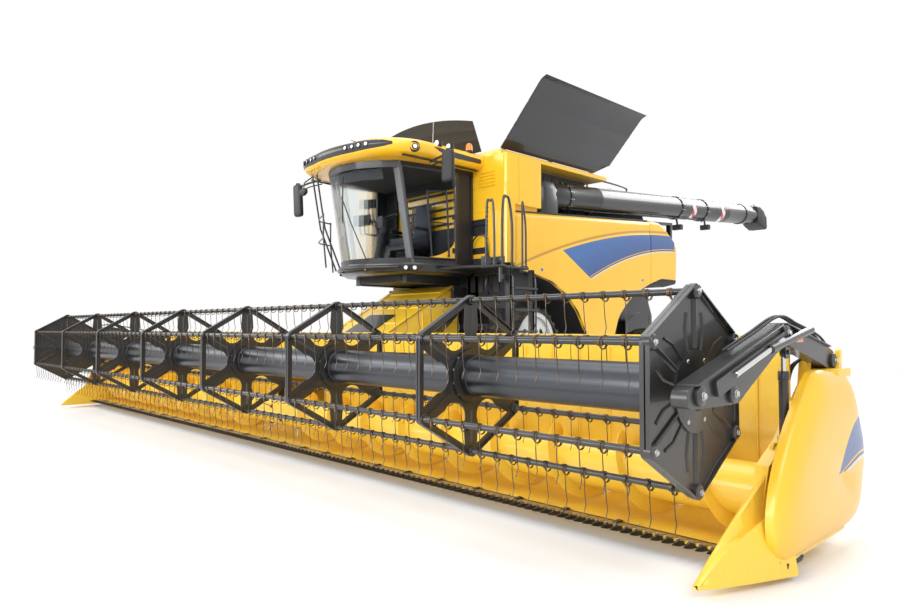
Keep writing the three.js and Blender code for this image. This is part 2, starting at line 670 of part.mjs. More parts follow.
function frontPanel(side) {
  const shape = [
    [PANEL_FRONT_Y, PANEL_FRONT_Z], [PANEL_FRONT_Y, 2330], [50, 2290], [510, 2190], [890, 2000],
      [1190, 1750], [1420, 1430], [1500, 1120],
    [2180, 1120], [2260, 1430], [2350, 1670], [2560, 1870], [2840, 2080], [PANEL_SEAM_Y - 6, 2290],
    [PANEL_SEAM_Y - 6, panelTop(PANEL_SEAM_Y - 6)],
  ];
  const [start, end] = [RAIL_START + 40, PANEL_SEAM_Y - 60];
  const hinge = rod([side * HINGE_X, start, hingeZ(start)], [side * HINGE_X, end, hingeZ(end)], HINGE_PIN,
    8);
  return joined(sideSkin(side).intersect(prismX(shape, side * 1400, side * 1800)), hinge);
}

for (const [name, side] of sides) {
  piece(`side_panel_${name}`, frontPanel(side), YELLOW);
}

function rearShell() {
  const shape = [[PANEL_SEAM_Y, 2290], [PANEL_SEAM_Y + 400, 2400], [PANEL_REAR_Y - 60, 2400],
    [PANEL_REAR_Y, 3010], [3740, 3455], [PANEL_SEAM_Y, panelTop(PANEL_SEAM_Y)]];
  const parts = sides.map(([, side]) => sideSkin(side).intersect(prismX(shape, side * 1400, side * 1800)));
  const tail = [[PANEL_REAR_Y - 100, 2430], [PANEL_REAR_Y - 64, 2430], [PANEL_REAR_Y - 4, 3008],
    [PANEL_REAR_Y - 40, 3030]];
  parts.push(prismX(tail, -PANEL_X + 25, PANEL_X - 25));
  return joined(parts);
}
piece('rear_shell', rearShell(), YELLOW);

// ---------- rear axle and wheels ----------
const YOKE_TOP = 930;
const YOKE_LOW = 560;
const YOKE_PLATE = 50;
function rearAxle() {
  const parts = [
    prismY([[-860, 700], [-300, 640], [300, 640], [860, 700], [890, 760], [890, 860], [400, 880],
      [-400, 880], [-890, 860], [-890, 760]],
      WHEELBASE - 95, WHEELBASE + 95),
    rod([0, WHEELBASE - 119.7, 840], [0, WHEELBASE + 119.7, 840], 70, 16),
  ];
  for (const [, side] of sides) {
    parts.push(box(side * 840, side * 890, WHEELBASE - 70, WHEELBASE + 70, YOKE_LOW, YOKE_TOP));
    parts.push(box(side * 860, side * (KINGPIN_X + 60), WHEELBASE - 60, WHEELBASE + 60,
      YOKE_TOP - YOKE_PLATE, YOKE_TOP));
    parts.push(box(side * 860, side * (KINGPIN_X + 60), WHEELBASE - 60, WHEELBASE + 60, YOKE_LOW,
      YOKE_LOW + YOKE_PLATE));
  }
  return joined(parts);
}
piece('rear_axle', rearAxle(), BLACK);

const HUB_FACE = REAR_WHEEL_X - 210;
for (const [name, side] of sides) {
  const low = YOKE_LOW + YOKE_PLATE + 0.6;
  const high = YOKE_TOP - YOKE_PLATE - 0.6;
  const knuckle = joined(
    rod([side * KINGPIN_X, WHEELBASE, low], [side * KINGPIN_X, WHEELBASE, high], 52, 16),
    rod([side * KINGPIN_X, WHEELBASE, TYRE_RADIUS], [side * (HUB_FACE - SEAM), WHEELBASE, TYRE_RADIUS], 75,
      16),
  );
  piece(`steering_knuckle_${name}`, knuckle, BLACK);
  const rimEdge = 240;
  const rim = turned([
    [0.01, -210], [130, -210], [130, 20], [RIM_RADIUS - 40, 60], [RIM_RADIUS - SEAM, -rimEdge],
      [RIM_RADIUS - SEAM, rimEdge],
    [RIM_RADIUS - 40, 85], [130, 45], [130, 120], [0.01, 120],
  ], side, side * REAR_WHEEL_X, WHEELBASE, TYRE_RADIUS);
  piece(`rear_rim_${name}`, rim, WHITE);
  const half = TYRE_WIDTH / 2;
  const tyre = turned([
    [RIM_RADIUS, -230], [RIM_RADIUS + 120, -half + 12], [TYRE_RADIUS - 110, -half],
      [TYRE_RADIUS - 30, -half + 30], [TYRE_RADIUS, -half + 90],
    [TYRE_RADIUS, half - 90], [TYRE_RADIUS - 30, half - 30], [TYRE_RADIUS - 110, half],
      [RIM_RADIUS + 120, half - 12], [RIM_RADIUS, 230],
  ], side, side * REAR_WHEEL_X, WHEELBASE, TYRE_RADIUS);
  piece(`rear_tyre_${name}`, tyre, RUBBER);
  // straw spreader disc with four vanes, hung under the hood on its shaft
  const [sx, sy] = [side * 380, 4860];
  const vanes = [0, 1].map((k) => (k === 0 ? box(sx - 300, sx + 300, sy - 8, sy + 8, 1000,
    1080) : box(sx - 8, sx + 8, sy - 300, sy + 300, 1000, 1080)));
  piece(`straw_spreader_${name}`, joined(rod([sx, sy, 985], [sx, sy, 1001], 310, 24),
    rod([sx, sy, 990], [sx, sy, 1119.7], 40, 12), vanes), BLACK);
}

// ---------- cab ----------
// Outline of the cab's outside at a height: front arc, then the side, then the rear corner.
const CAB_PLAN = [
  // x, y at the floor, y at the roof
  [0, -2010, -2230], [280, -1960, -2190], [550, -1815, -2060], [810, -1570, -1830],
  [1000, -900, -900], [1000, CAB_REAR, CAB_REAR],
];

function cabPoint(k, z, inset = 0) {
  const entry = CAB_PLAN[Math.abs(k)];
  const sign = k < 0 ? -1 : 1;
  const share = (z - CAB_FLOOR) / (CAB_TOP - CAB_FLOOR);
  const [x, y] = [entry[0], entry[1] + (entry[2] - entry[1]) * share];
  const centre = [0, -1250];
  const length = Math.hypot(x - centre[0], y - centre[1]);
  return [sign * (x - (x * inset) / length), y - ((y - centre[1]) * inset) / length, z];
}

function between(a, b, share) {
  return a.map((value, k) => value + (b[k] - value) * share);
}

// A stretch of wall through points [index, share towards the next], between two heights.
function wall(stations, z0, z1, outset, inset) {
  const at = ([k, share], z, depth) => {
    const next = k + 1;
    return share === 0 ? cabPoint(k, z, depth) : between(cabPoint(k, z, depth), cabPoint(next, z, depth),
      share);
  };
  const ring = (z) => [...stations.map((s) => at(s, z, outset)),
    ...stations.map((s) => at(s, z, inset)).reverse()];
  return loft([ring(z0), ring(z1)]);
}

const A_POST = 3;
const B_POST = 4;
const CORNER = 5;
const allStations = (from, to) => Array.from({ length: to - from + 1 }, (_, k) => [from + k, 0]);
const SILL_TOP = CAB_FLOOR + 70;
const LINTEL = CAB_TOP - 70;

function cabFrame() {
  const low = CAB_FLOOR + SEAM;
  const high = CAB_TOP - SEAM;
  const parts = [
    wall(allStations(-CORNER, CORNER), low, SILL_TOP, 0, CAB_WALL),
    wall(allStations(-CORNER, CORNER), LINTEL, high, 0, CAB_WALL),
    box(-1000, 1000, CAB_REAR - 50, CAB_REAR, low, high),
  ];
  for (const [, side] of sides) {
    const posts = side > 0
      ? [[[A_POST - 1, 0.88], [A_POST, 0], [A_POST, 0.06]], [[B_POST - 1, 0.96], [B_POST, 0], [CORNER, 0]]]
      : [[[-A_POST - 1, 0.94], [-A_POST, 0], [-A_POST, 0.12]],
        [[-CORNER, 0], [-B_POST, 0], [-B_POST, 0.04]]];
    posts.forEach((stations) => parts.push(wall(stations, low, high, 0, CAB_WALL)));
  }
  const rearWindow = box(-620, 620, CAB_REAR - 80, CAB_REAR + 30, 3150, 3650);
  return joined(parts).subtract(rearWindow);
}
piece('cab_frame', cabFrame(), BLACK);

const PANE_IN = 20;
const paneLow = SILL_TOP + SEAM;
const paneHigh = LINTEL - SEAM;
piece('windscreen', wall([[-A_POST, 0.14], ...allStations(-2, 2), [2, 0.86]], paneLow, paneHigh, PANE_IN,
  PANE_IN + GLASS), CLEAR);
piece('right_window', wall([[-B_POST, 0.05], [-B_POST, 0.93]], paneLow, paneHigh, PANE_IN, PANE_IN + GLASS),
  CLEAR);

// The door hangs on the rear post: a frame round one pane.
const DOOR_PIN = 14.6;
const DOOR_FRONT = 0.08;
const DOOR_REAR = 0.94;
// The door's opening is slightly twisted and its pane is flat, so the pane lies in the opening's mean plane.
function doorPane() {
  const [front, rear, low, high] = [DOOR_FRONT + 0.081, DOOR_REAR - 0.081, doorLow + 60 + SEAM,
    doorHigh - 60 - SEAM];
  const corner = (share, z) => new THREE.Vector3(...between(cabPoint(A_POST, z, PANE_IN),
    cabPoint(B_POST, z, PANE_IN), share));
  const corners = [corner(front, low), corner(rear, low), corner(rear, high), corner(front, high)];
  const normal = corners[2].clone().sub(corners[0]).cross(corners[3].clone().sub(corners[1])).normalize();
  const centre = corners.reduce((sum, point) => sum.add(point), new THREE.Vector3())
    .divideScalar(corners.length);
  const slab = new THREE.BoxGeometry(3000, 3000, GLASS);
  slab.applyQuaternion(new THREE.Quaternion().setFromUnitVectors(new THREE.Vector3(0, 0, 1), normal));
  slab.translate(centre.x, centre.y, centre.z);
  return doorPiece(front, rear, low, high, -20, CAB_WALL + 20).intersect(solid(slab));
}
function doorPiece(front, rear, z0, z1, outset, inset) {
  return wall([[A_POST, front], [A_POST, rear]], z0, z1, outset, inset);
}
const doorLow = SILL_TOP + 6;
const doorHigh = LINTEL - 6;
const doorOpening = doorPiece(DOOR_FRONT + 0.08, DOOR_REAR - 0.08, doorLow + 60, doorHigh - 60, -20,
  CAB_WALL + 20);
// hinges outside the rear post, with straps to the frame
const [hingeX, hingeY] = [1000 + DOOR_PIN + SEAM, -896];
const doorHinges = [2600, 3080, 3560].map((z) => joined(
  rod([hingeX, hingeY, z - 50], [hingeX, hingeY, z + 50], DOOR_PIN, 12),
  prismZ([[hingeX - 49, hingeY - 116], [hingeX - 30, hingeY - 119], [hingeX + 9, hingeY],
    [hingeX - 2, hingeY]], z - 30, z + 30),
));
piece('cab_door_frame', joined(doorPiece(DOOR_FRONT, DOOR_REAR, doorLow, doorHigh, 0, 40)
  .subtract(doorOpening), doorHinges), BLACK);
piece('cab_door_glass', doorPane(), CLEAR);

function cabBase() {
  const plan = (outset, z) => {
    const stations = allStations(-CORNER, CORNER).map(([k]) => cabPoint(k, CAB_FLOOR, -outset));
    return stations.map(([x, y]) => [x, Math.min(y, CAB_REAR), z]);
  };
  const floor = loft([plan(-60, CAB_BASE_BOTTOM), plan(25, CAB_BASE_BOTTOM + 50), plan(25, CAB_FLOOR)]);
  // steering column and wheel in front of the seat
  const wheelAt = [0, -1440, 3080];
  const ring = new THREE.TorusGeometry(190, 16, 6, 14);
  ring.rotateX(THREE.MathUtils.degToRad(35));
  ring.translate(...wheelAt);
  const hub = joined(
    rod([0, -1560, CAB_FLOOR - 5], wheelAt, 45, 10),
    rod([-185, wheelAt[1], wheelAt[2]], [185, wheelAt[1], wheelAt[2]], 14, 6),
    solid(ring),
  );
  // control console on the operator's right
  const console = joined(box(-500, -330, -1250, -720, 2800, 2960),
    box(-470, -360, -1000, -850, CAB_FLOOR - 1, 2801),
    box(-470, -350, -1330, -1240, 2900, 3200));
  return joined(floor, hub, console);
}
piece('cab_base', cabBase(), BLACK);

function seat() {
  return joined(
    box(-160, 160, -1100, -760, CAB_FLOOR + SEAM, 2700),
    box(-260, 260, -1180, -680, 2690, 2860),
    prismX([[-760, 2800], [-660, 2800], [-640, 3480], [-720, 3480]], -250, 250),
  );
}
piece('operator_seat', seat(), CLOTH);

function cabRoof() {
  const plan = (half, front, corner, z) => {
    const points = [];
    const steps = 6;
    for (let k = 0; k <= steps; k += 1) {
      const angle = (Math.PI / 2) * (k / steps);
      points.push([half - corner + corner * Math.sin(angle), front + 0.75 * corner * (1 - Math.cos(angle)),
        z]);
    }
    const bow = points.map(([x, y]) => [x, y, z]);
    const right = [...bow].reverse().map(([x, y]) => [-x, y, z]);
    return [...right, [0, front - 60, z], ...bow, [half, CAB_REAR - 5, z], [-half, CAB_REAR - 5, z]];
  };
  return loft([
    plan(1130, -2300, 700, CAB_TOP), plan(1215, -2400, 720, CAB_TOP + 60),
      plan(1225, -2420, 720, CAB_TOP + 130),
    plan(1170, -2370, 700, CAB_TOP + 215), plan(1040, -2220, 640, ROOF_TOP),
  ]);
}
piece('cab_roof', cabRoof(), YELLOW);

// ---------- mirrors on arms from the roof's underside ----------
for (const [name, side] of sides) {
  const arm = side > 0
    ? tube([[1080, -1480, CAB_TOP - 16 - SEAM], [1300, -1560, CAB_TOP - 25], [1640, -1670, CAB_TOP - 35]],
      16, 8)
    : tube([[-1000, -1900, CAB_TOP - 16 - SEAM], [-1200, -1980, CAB_TOP - 40],
      [-1400, -2050, CAB_TOP - 90]], 16, 8);
  const [mx, my, mz] = side > 0 ? [1640, -1670, 3600] : [-1420, -2050, 3500];
  const head = side > 0 ? rod([mx, my, mz - 210], [mx, my, mz + 200], 95, 16) : hull([
    [mx - 110, my - 40, mz - 250], [mx + 110, my - 40, mz - 250], [mx - 110, my + 50, mz - 230],
      [mx + 110, my + 50, mz - 230],
    [mx - 110, my - 40, mz + 260], [mx + 110, my - 40, mz + 260], [mx - 110, my + 60, mz + 240],
      [mx + 110, my + 60, mz + 240]]);
  piece(`mirror_${name}`, joined(arm, head), BLACK);
}

// ---------- platform, rails and ladder on the left ----------
const PLATFORM_TOP = CAB_FLOOR - 60;
const PLATFORM_INNER = 1024; // beside the cab's base
function platform() {
  const plate = prismZ([[PLATFORM_INNER, -1250], [1500, -1250], [1860, -1050], [1975, -1050], [1975, -950],
    [1900, -950], [1900, -390],
    [PLATFORM_INNER, -390]], PLATFORM_TOP - 40, PLATFORM_TOP);
  const hangers = [box(PLATFORM_INNER, 1900, -560, -500, PLATFORM_TOP - 90, PLATFORM_TOP - 39)];
  const rails = [
    tube([[1880, -900, PLATFORM_TOP - 20], [1880, -900, 2900], [1870, -860, 3280], [1860, -760, 3280],
      [1880, -700, 2900], [1880, -700, PLATFORM_TOP - 20]], 18, 12),
    tube([[1880, -480, PLATFORM_TOP - 20], [1880, -480, 2900], [1860, -450, 3250], [1840, -430, 3250],
      [1880, -410, 2900], [1880, -405, PLATFORM_TOP - 20]], 14, 12),
    tube([[1750, -1082, PLATFORM_TOP - 20], [1755, -1080, 2700], [1765, -1072, 3200], [1835, -1032, 3200],
      [1850, -1025, 2700], [1852, -1028, PLATFORM_TOP - 20]], 16, 12),
  ];
  return joined(plate, hangers, rails);
}
piece('platform', platform(), BLACK);

function ladder() {
  const parts = [];
  for (const y of [-900, -430]) {
    parts.push(prismX([[y - 25, 520], [y + 25, 520], [y + 25, PLATFORM_TOP - 50],
      [y - 25, PLATFORM_TOP - 50]], 1960, 2030));
  }
  for (let k = 0; k < 6; k += 1) {
    const z = 560 + k * 290;
    parts.push(box(1960, 2110, -901, -429, z, z + 30));
  }
  // pivot post that hangs the ladder on the platform's edge
  parts.push(rod([1935, -1000, PLATFORM_TOP - 240], [1935, -1000, PLATFORM_TOP - 40 - SEAM], 30, 12));
  parts.push(box(1935, 1990, -1015, -880, PLATFORM_TOP - 160, PLATFORM_TOP - 100));
  return joined(parts);
}
piece('ladder', ladder(), BLACK);

// ---------- unloading auger ----------
function augerAt(distance) {
  return [AUGER_PIVOT_X, AUGER_PIVOT_Y + distance, AUGER_HEIGHT + distance * AUGER_RISE];
}
function unloadingAuger() {
  const parts = [
    rod([AUGER_PIVOT_X, AUGER_PIVOT_Y, AUGER_BASE + SEAM], [AUGER_PIVOT_X, AUGER_PIVOT_Y, AUGER_HEIGHT],
      AUGER_STUB, 16),
    rod(augerAt(0), augerAt(AUGER_LENGTH), AUGER_RADIUS, 16),
    (() => {
      const ball = new THREE.SphereGeometry(AUGER_RADIUS + 2, 12, 6);
      ball.rotateX(Math.PI / 2);
      ball.translate(AUGER_PIVOT_X, AUGER_PIVOT_Y, AUGER_HEIGHT);
      return solid(ball);
    })(),
  ];
  for (const place of [4180, 5250]) {
    parts.push(rod(augerAt(place), augerAt(place + 50), AUGER_FLANGE, 16));
  }
  return joined(parts);
}
piece('unloading_auger', unloadingAuger(), BLACK);

function spout() {
  const start = augerAt(AUGER_LENGTH + SEAM);
  const end = augerAt(AUGER_LENGTH + 430);
  const pipe = rod(start, end, AUGER_RADIUS - 30, 16);
  const [, y, z] = end;
  const x = AUGER_PIVOT_X;
  const boot = hull([
    [x - 190, y - 380, z - 160], [x + 190, y - 380, z - 160], [x - 200, y - 330, z + 190],
      [x + 200, y - 330, z + 190],
    [x - 200, y + 120, z + 260], [x + 200, y + 120, z + 260], [x - 200, y + SPOUT_LENGTH - 430, z - 40],
      [x + 200, y + SPOUT_LENGTH - 430, z - 40],
    [x - 170, y + 60, z - 330], [x + 170, y + 60, z - 330], [x - 170, y + 330, z - 300],
      [x + 170, y + 330, z - 300]]);
  const front = prismX([[y - 430, z - 600], [y - 300, z - 600], [y - 300, z + 600], [y - 430, z + 600]],
    x - 400, x + 400);
  const chute = hull([
    [x - 160, y - 180, z + 100], [x + 160, y - 180, z + 100], [x - 160, y + 150, z + 190],
      [x + 160, y + 150, z + 190],
    [x - 160, y + 330, z - 30], [x + 160, y + 330, z - 30],
    [x - 150, y + 80, z - 400], [x + 150, y + 80, z - 400], [x - 150, y + 320, z - 400],
      [x + 150, y + 320, z - 400]]);
  return joined(pipe, boot.subtract(front)).subtract(chute);
}
piece('unloading_spout', spout(), BLACK);

// ---------- feeder house ----------
const FEEDER_SIDE = [[-540, 1340], [-540, 2110], [-640, 2120], [FEEDER_FRONT, 960], [FEEDER_FRONT, 300],
  [FEEDER_FRONT + 60, 290]];
function feederHouse() {
  const inner = [[-500, 1390], [-500, 2060], [-660, 2085], [FEEDER_FRONT - 50, 950],
    [FEEDER_FRONT - 50, 350], [FEEDER_FRONT + 60, 330]];
  const shell = prismX(FEEDER_SIDE, -FEEDER_HALF, FEEDER_HALF)
    .subtract(prismX(inner, -FEEDER_HALF + FEEDER_WALL, FEEDER_HALF - FEEDER_WALL));
  const ears = sides.flatMap(([, side]) => [LIFT_X - 90, LIFT_X + 60].map((x) => prismX(
    [[LIFT_HIGH_Y - 60, LIFT_HIGH_Z - 50], [LIFT_HIGH_Y + 60, LIFT_HIGH_Z - 50], [LIFT_HIGH_Y + 130, 740],
      [LIFT_HIGH_Y - 130, 610]],
    side * x, side * (x + 30))));
  const slot = openPivot([LIFT_LOW_Y, LIFT_LOW_Z], [LIFT_HIGH_Y, LIFT_HIGH_Z],
    [FEEDER_PIVOT_Y, FEEDER_PIVOT_Z], 0, FEEDER_LIFT,
    LIFT_SHAFT, -800, 800);
  // pivot trunnions seated beside the body's front
  const trunnions = sides.map(([, side]) => rod([side * (FEEDER_HALF - 1), FEEDER_PIVOT_Y, FEEDER_PIVOT_Z],
    [side * (FEEDER_HALF + 49.7), FEEDER_PIVOT_Y, FEEDER_PIVOT_Z], 60, 16));
  // adapter frame seated on the header's back wall
  const adapter = box(-FEEDER_HALF, FEEDER_HALF, HEADER_WALL_Y + SHEET + SEAM, FEEDER_FRONT + 1, 296, 960)
    .subtract(box(-FEEDER_HALF + 60, FEEDER_HALF - 60, HEADER_WALL_Y, FEEDER_FRONT + 50, 340, 900));
  return joined(shell, adapter, ears, trunnions).subtract(slot);
}
piece('feeder_house', feederHouse(), YELLOW);

// ---------- feeder lift cylinders, each pair on one cross shaft ----------
function liftPoint(share, x) {
  return [x, LIFT_LOW_Y + (LIFT_HIGH_Y - LIFT_LOW_Y) * share,
    LIFT_LOW_Z + (LIFT_HIGH_Z - LIFT_LOW_Z) * share];
}
function liftBarrels() {
  const shaft = rod([-LIFT_X - 120, LIFT_LOW_Y, LIFT_LOW_Z], [LIFT_X + 120, LIFT_LOW_Y, LIFT_LOW_Z],
    LIFT_SHAFT, 12, 1);
  const barrels = sides.map(([, side]) => rod(liftPoint(0, side * LIFT_X), liftPoint(0.6, side * LIFT_X),
    55, 12));
  const bores = sides.map(([, side]) => rod(liftPoint(0.1, side * LIFT_X), liftPoint(0.7, side * LIFT_X),
    33, 12));
  return joined(shaft, barrels).subtract(joined(bores));
}
function liftRods() {
  const shaft = rod([-LIFT_X - 120, LIFT_HIGH_Y, LIFT_HIGH_Z], [LIFT_X + 120, LIFT_HIGH_Y, LIFT_HIGH_Z],
    LIFT_SHAFT, 12, 1);
  const rods = sides.map(([, side]) => rod(liftPoint(0.14, side * LIFT_X), liftPoint(1, side * LIFT_X), 32,
    12));
  return joined(shaft, rods);
}
piece('lift_barrels', liftBarrels(), BLACK);
piece('lift_rods', liftRods(), CHROME);

// ---------- header ----------
const FLOOR_FRONT = KNIFE_Y + 45;
const POSTS = 4; // on each side of the mouth
const POST_FIRST = FEEDER_HALF + 250;
const POST_LAST = HEADER_HALF - 820;
const KNIFE_Z = INTAKE_Z - TROUGH_RADIUS;
function headerFrame() {
  const points = [];
  for (let k = 0; k <= 8; k += 1) {
    const angle = (-Math.PI / 2) * (k / 8);
    points.push([INTAKE_Y + TROUGH_RADIUS * Math.cos(angle), INTAKE_Z + TROUGH_RADIUS * Math.sin(angle)]);
  }
  const outer = points.map(([y, z], k) => {
    const angle = (-Math.PI / 2) * (k / 8);
    return [y + SHEET * Math.cos(angle), z + SHEET * Math.sin(angle)];
  }).reverse();
  const sheet = prismX([
    [HEADER_WALL_Y, HEADER_TOP], ...points, [FLOOR_FRONT, KNIFE_Z], [KNIFE_Y - 30, KNIFE_Z],
      [KNIFE_Y - 30, KNIFE_Z - SHEET],
    ...outer, [HEADER_WALL_Y + SHEET, HEADER_TOP],
  ], -HEADER_HALF, HEADER_HALF);
  const beams = [
    box(-HEADER_HALF, HEADER_HALF, HEADER_WALL_Y + SHEET - 1, HEADER_WALL_Y + 150, HEADER_TOP - 130,
      HEADER_TOP - 1),
    box(-HEADER_HALF, HEADER_HALF, HEADER_WALL_Y + SHEET - 1, HEADER_WALL_Y + 105, 180, 290),
  ];
  const posts = [];
  for (let post = 0; post < POSTS; post += 1) {
    const x = POST_FIRST + ((POST_LAST - POST_FIRST) * post) / (POSTS - 1);
    for (const [, side] of sides) {
      posts.push(box(side * (x - 40), side * (x + 40), HEADER_WALL_Y + SHEET - 1, HEADER_WALL_Y + 100, 289,
        HEADER_TOP - 129));
    }
  }
  const mouth = box(-FEEDER_HALF + 60, FEEDER_HALF - 60, HEADER_WALL_Y - 60, HEADER_WALL_Y + 110, 310, 900);
  return joined(sheet, beams, posts).subtract(mouth);
}
piece('header_frame', headerFrame(), YELLOW);

function knife() {
  return box(-HEADER_HALF + KNIFE_STROKE + 10, HEADER_HALF - KNIFE_STROKE - 10, KNIFE_Y - 85, KNIFE_Y + 30,
    KNIFE_Z + 0.6, KNIFE_Z + 0.6 + KNIFE_THICKNESS);
}
piece('knife', knife(), GREY);

function intakeAuger() {
  const reach = HEADER_HALF - 8;
  const core = rod([-reach, INTAKE_Y, INTAKE_Z], [reach, INTAKE_Y, INTAKE_Z], INTAKE_TUBE, 12);
  const shafts = rod([-HEADER_HALF + SEAM, INTAKE_Y, INTAKE_Z], [HEADER_HALF - SEAM, INTAKE_Y, INTAKE_Z],
    40, 12);
  return joined(core, shafts);
}
piece('intake_auger', intakeAuger(), YELLOW);

// ---------- header ends: wall, crowned shield and crop divider ----------
const WALL_THICKNESS = 20;
const SHIELD_SIDE = [[-3560, 110], [-3690, 300], [-3420, 1190], [-3300, 1230], [-2330, 1160], [-2230, 1080],
  [-1970, 600], [-2130, 200], [-2300, 120]];
function headerEnd(side) {
  const wallOutline = [[KNIFE_Y - 80, 90], [KNIFE_Y - 80, 260], [-3420, 640], [-3150, 760], [-2700, 1100],
    [-2650, 1300], [-2500, 1300], [-2500, 150]];
  const inner = HEADER_HALF + SEAM;
  const parts = [prismX(wallOutline, side * inner, side * (inner + WALL_THICKNESS))];
  // outer shield: the side outline narrows to a raised crest on its outside
  const ring = (scale, x) => SHIELD_SIDE.map(([y, z]) =>
    [side * x, -2870 + (y + 2870) * scale, 640 + (z - 640) * scale]);
  const shell = loft([ring(1, SHIELD_OUTER - 105), ring(1, SHIELD_OUTER - 70), ring(0.9, SHIELD_OUTER - 15),
    ring(0.72, SHIELD_OUTER)], 'x');
  const hollow = loft([ring(0.96, SHIELD_OUTER - 110), ring(0.96, SHIELD_OUTER - 85),
    ring(0.86, SHIELD_OUTER - 45), ring(0.7, SHIELD_OUTER - 30)], 'x');
  parts.push(shell.subtract(hollow));
  // brackets between the wall and the shield
  parts.push(box(side * (inner + WALL_THICKNESS - 1), side * (SHIELD_OUTER - 80), -2560, -2500, 160, 560));
  parts.push(box(side * (inner + WALL_THICKNESS - 1), side * (SHIELD_OUTER - 80), -3500, -2560, 120, 150));
  // crop divider, a wedge with a raised crest
  const divider = hull([
    [side * (HEADER_HALF - 60), -4140, 80], [side * (HEADER_HALF - 60), -4140, 60],
    [side * (HEADER_HALF + 5), -3540, 40], [side * (HEADER_HALF + 5), -3480, 60],
    [side * (HEADER_HALF + 250), -3540, 40], [side * (HEADER_HALF + 250), -3480, 100],
    [side * (HEADER_HALF + 5), -3480, 560], [side * (HEADER_HALF + 80), -3440, 600],
    [side * (HEADER_HALF + 220), -3480, 420], [side * (HEADER_HALF - 20), -3900, 50],
  ]);
  parts.push(divider.subtract(box(0, side * inner, KNIFE_Y - 36, -3000, 0, 1000)));
  return joined(parts);
}
for (const [name, side] of sides) {
  piece(`header_end_${name}`, headerEnd(side), YELLOW);
}

// ---------- reel arms and their cylinders ----------
const ARM_LINE = [[ARM_PIVOT_Y + 60, ARM_PIVOT_Z - 60], [ARM_PIVOT_Y + 60, ARM_PIVOT_Z + 60], [-3270, 1520],
  [-3330, 1520],
  [-4560, 1190], [-4570, 1090], [REEL_Y - 90, REEL_Z - 60], [REEL_Y + 90, REEL_Z - 60], [-3300, 1400],
    [ARM_PIVOT_Y - 60, ARM_PIVOT_Z - 50]];
for (const [name, side] of sides) {
  const mid = ARM_INNER + ARM_THICKNESS / 2;
  const pivot = [[side * (HEADER_HALF + SEAM * 2 + WALL_THICKNESS), ARM_PIVOT_Y, ARM_PIVOT_Z],
    [side * (ARM_INNER + 1), ARM_PIVOT_Y, ARM_PIVOT_Z]];
  // the cylinder's pin stands out under the arm
  const slot = openPivot([REEL_CYLINDER_Y, REEL_CYLINDER_LOW], [REEL_CYLINDER_Y, REEL_CYLINDER_HIGH],
    ARM_PIVOT, REEL_DOWN, REEL_UP,
    REEL_PIN, side * (mid + 10), side * (ARM_INNER + ARM_THICKNESS + 5));
  const lug = box(side * (mid + 17), side * (ARM_INNER + ARM_THICKNESS), REEL_CYLINDER_Y - 50,
    REEL_CYLINDER_Y + 50, REEL_CYLINDER_HIGH - 45, 1440)
    .subtract(slot);
  piece(`reel_arm_${name}`, joined(prismX(ARM_LINE, side * ARM_INNER, side * (ARM_INNER + ARM_THICKNESS)),
    rod(...pivot, 30, 12), lug), BLACK);
}

for (const [name, side] of sides) {
  const x = side * (ARM_INNER + ARM_THICKNESS / 2);
  const barrel = rod([x, REEL_CYLINDER_Y, REEL_CYLINDER_LOW], [x, REEL_CYLINDER_Y, REEL_CYLINDER_LOW + 520],
    30, 12)
    .subtract(rod([x, REEL_CYLINDER_Y, REEL_CYLINDER_LOW + 40],
      [x, REEL_CYLINDER_Y, REEL_CYLINDER_LOW + 600], 17, 12));
  const foot = rod([side * (HEADER_HALF + SEAM * 2 + WALL_THICKNESS), REEL_CYLINDER_Y, REEL_CYLINDER_LOW],
    [x, REEL_CYLINDER_Y, REEL_CYLINDER_LOW], 16, 12);
  piece(`reel_barrel_${name}`, joined(barrel, foot), BLACK);
  const eye = joined(
    rod([x - 12, REEL_CYLINDER_Y, REEL_CYLINDER_HIGH], [x + 12, REEL_CYLINDER_Y, REEL_CYLINDER_HIGH], 30,
      12),
    rod([x, REEL_CYLINDER_Y, REEL_CYLINDER_HIGH], [x + side * 43, REEL_CYLINDER_Y, REEL_CYLINDER_HIGH],
      REEL_PIN, 12, 1),
  );
  const shank = rod([x, REEL_CYLINDER_Y, REEL_CYLINDER_LOW + 125],
    [x, REEL_CYLINDER_Y, REEL_CYLINDER_HIGH - 22], 16, 12);
  piece(`reel_rod_${name}`, joined(shank, eye), CHROME);
}

// ---------- reel ----------
function barPlace(k) {
  const angle = Math.PI / 2 + (Math.PI / 3) * k;
  return [REEL_Y + BAR_CIRCLE * Math.cos(angle), REEL_Z + BAR_CIRCLE * Math.sin(angle)];
}

function barHoles() {
  const holeRadius = shaftHole(BAR_RADIUS, BAR_SIDES);
  return Array.from({ length: 6 }, (_, k) => {
    const [y, z] = barPlace(k);
    const path = new THREE.Path();
    for (let s = 0; s < BAR_SIDES; s += 1) {
      const angle = (2 * Math.PI * s) / BAR_SIDES;
      path[s === 0 ? 'moveTo' : 'lineTo'](y + holeRadius * Math.cos(angle),
        z + holeRadius * Math.sin(angle));
    }
    return path;
  });
}

function hexagon(radius) {
  return Array.from({ length: 6 }, (_, k) => {
    const angle = Math.PI / 2 + (Math.PI / 3) * k;
    return [REEL_Y + radius * Math.cos(angle), REEL_Z + radius * Math.sin(angle)];
  });
}

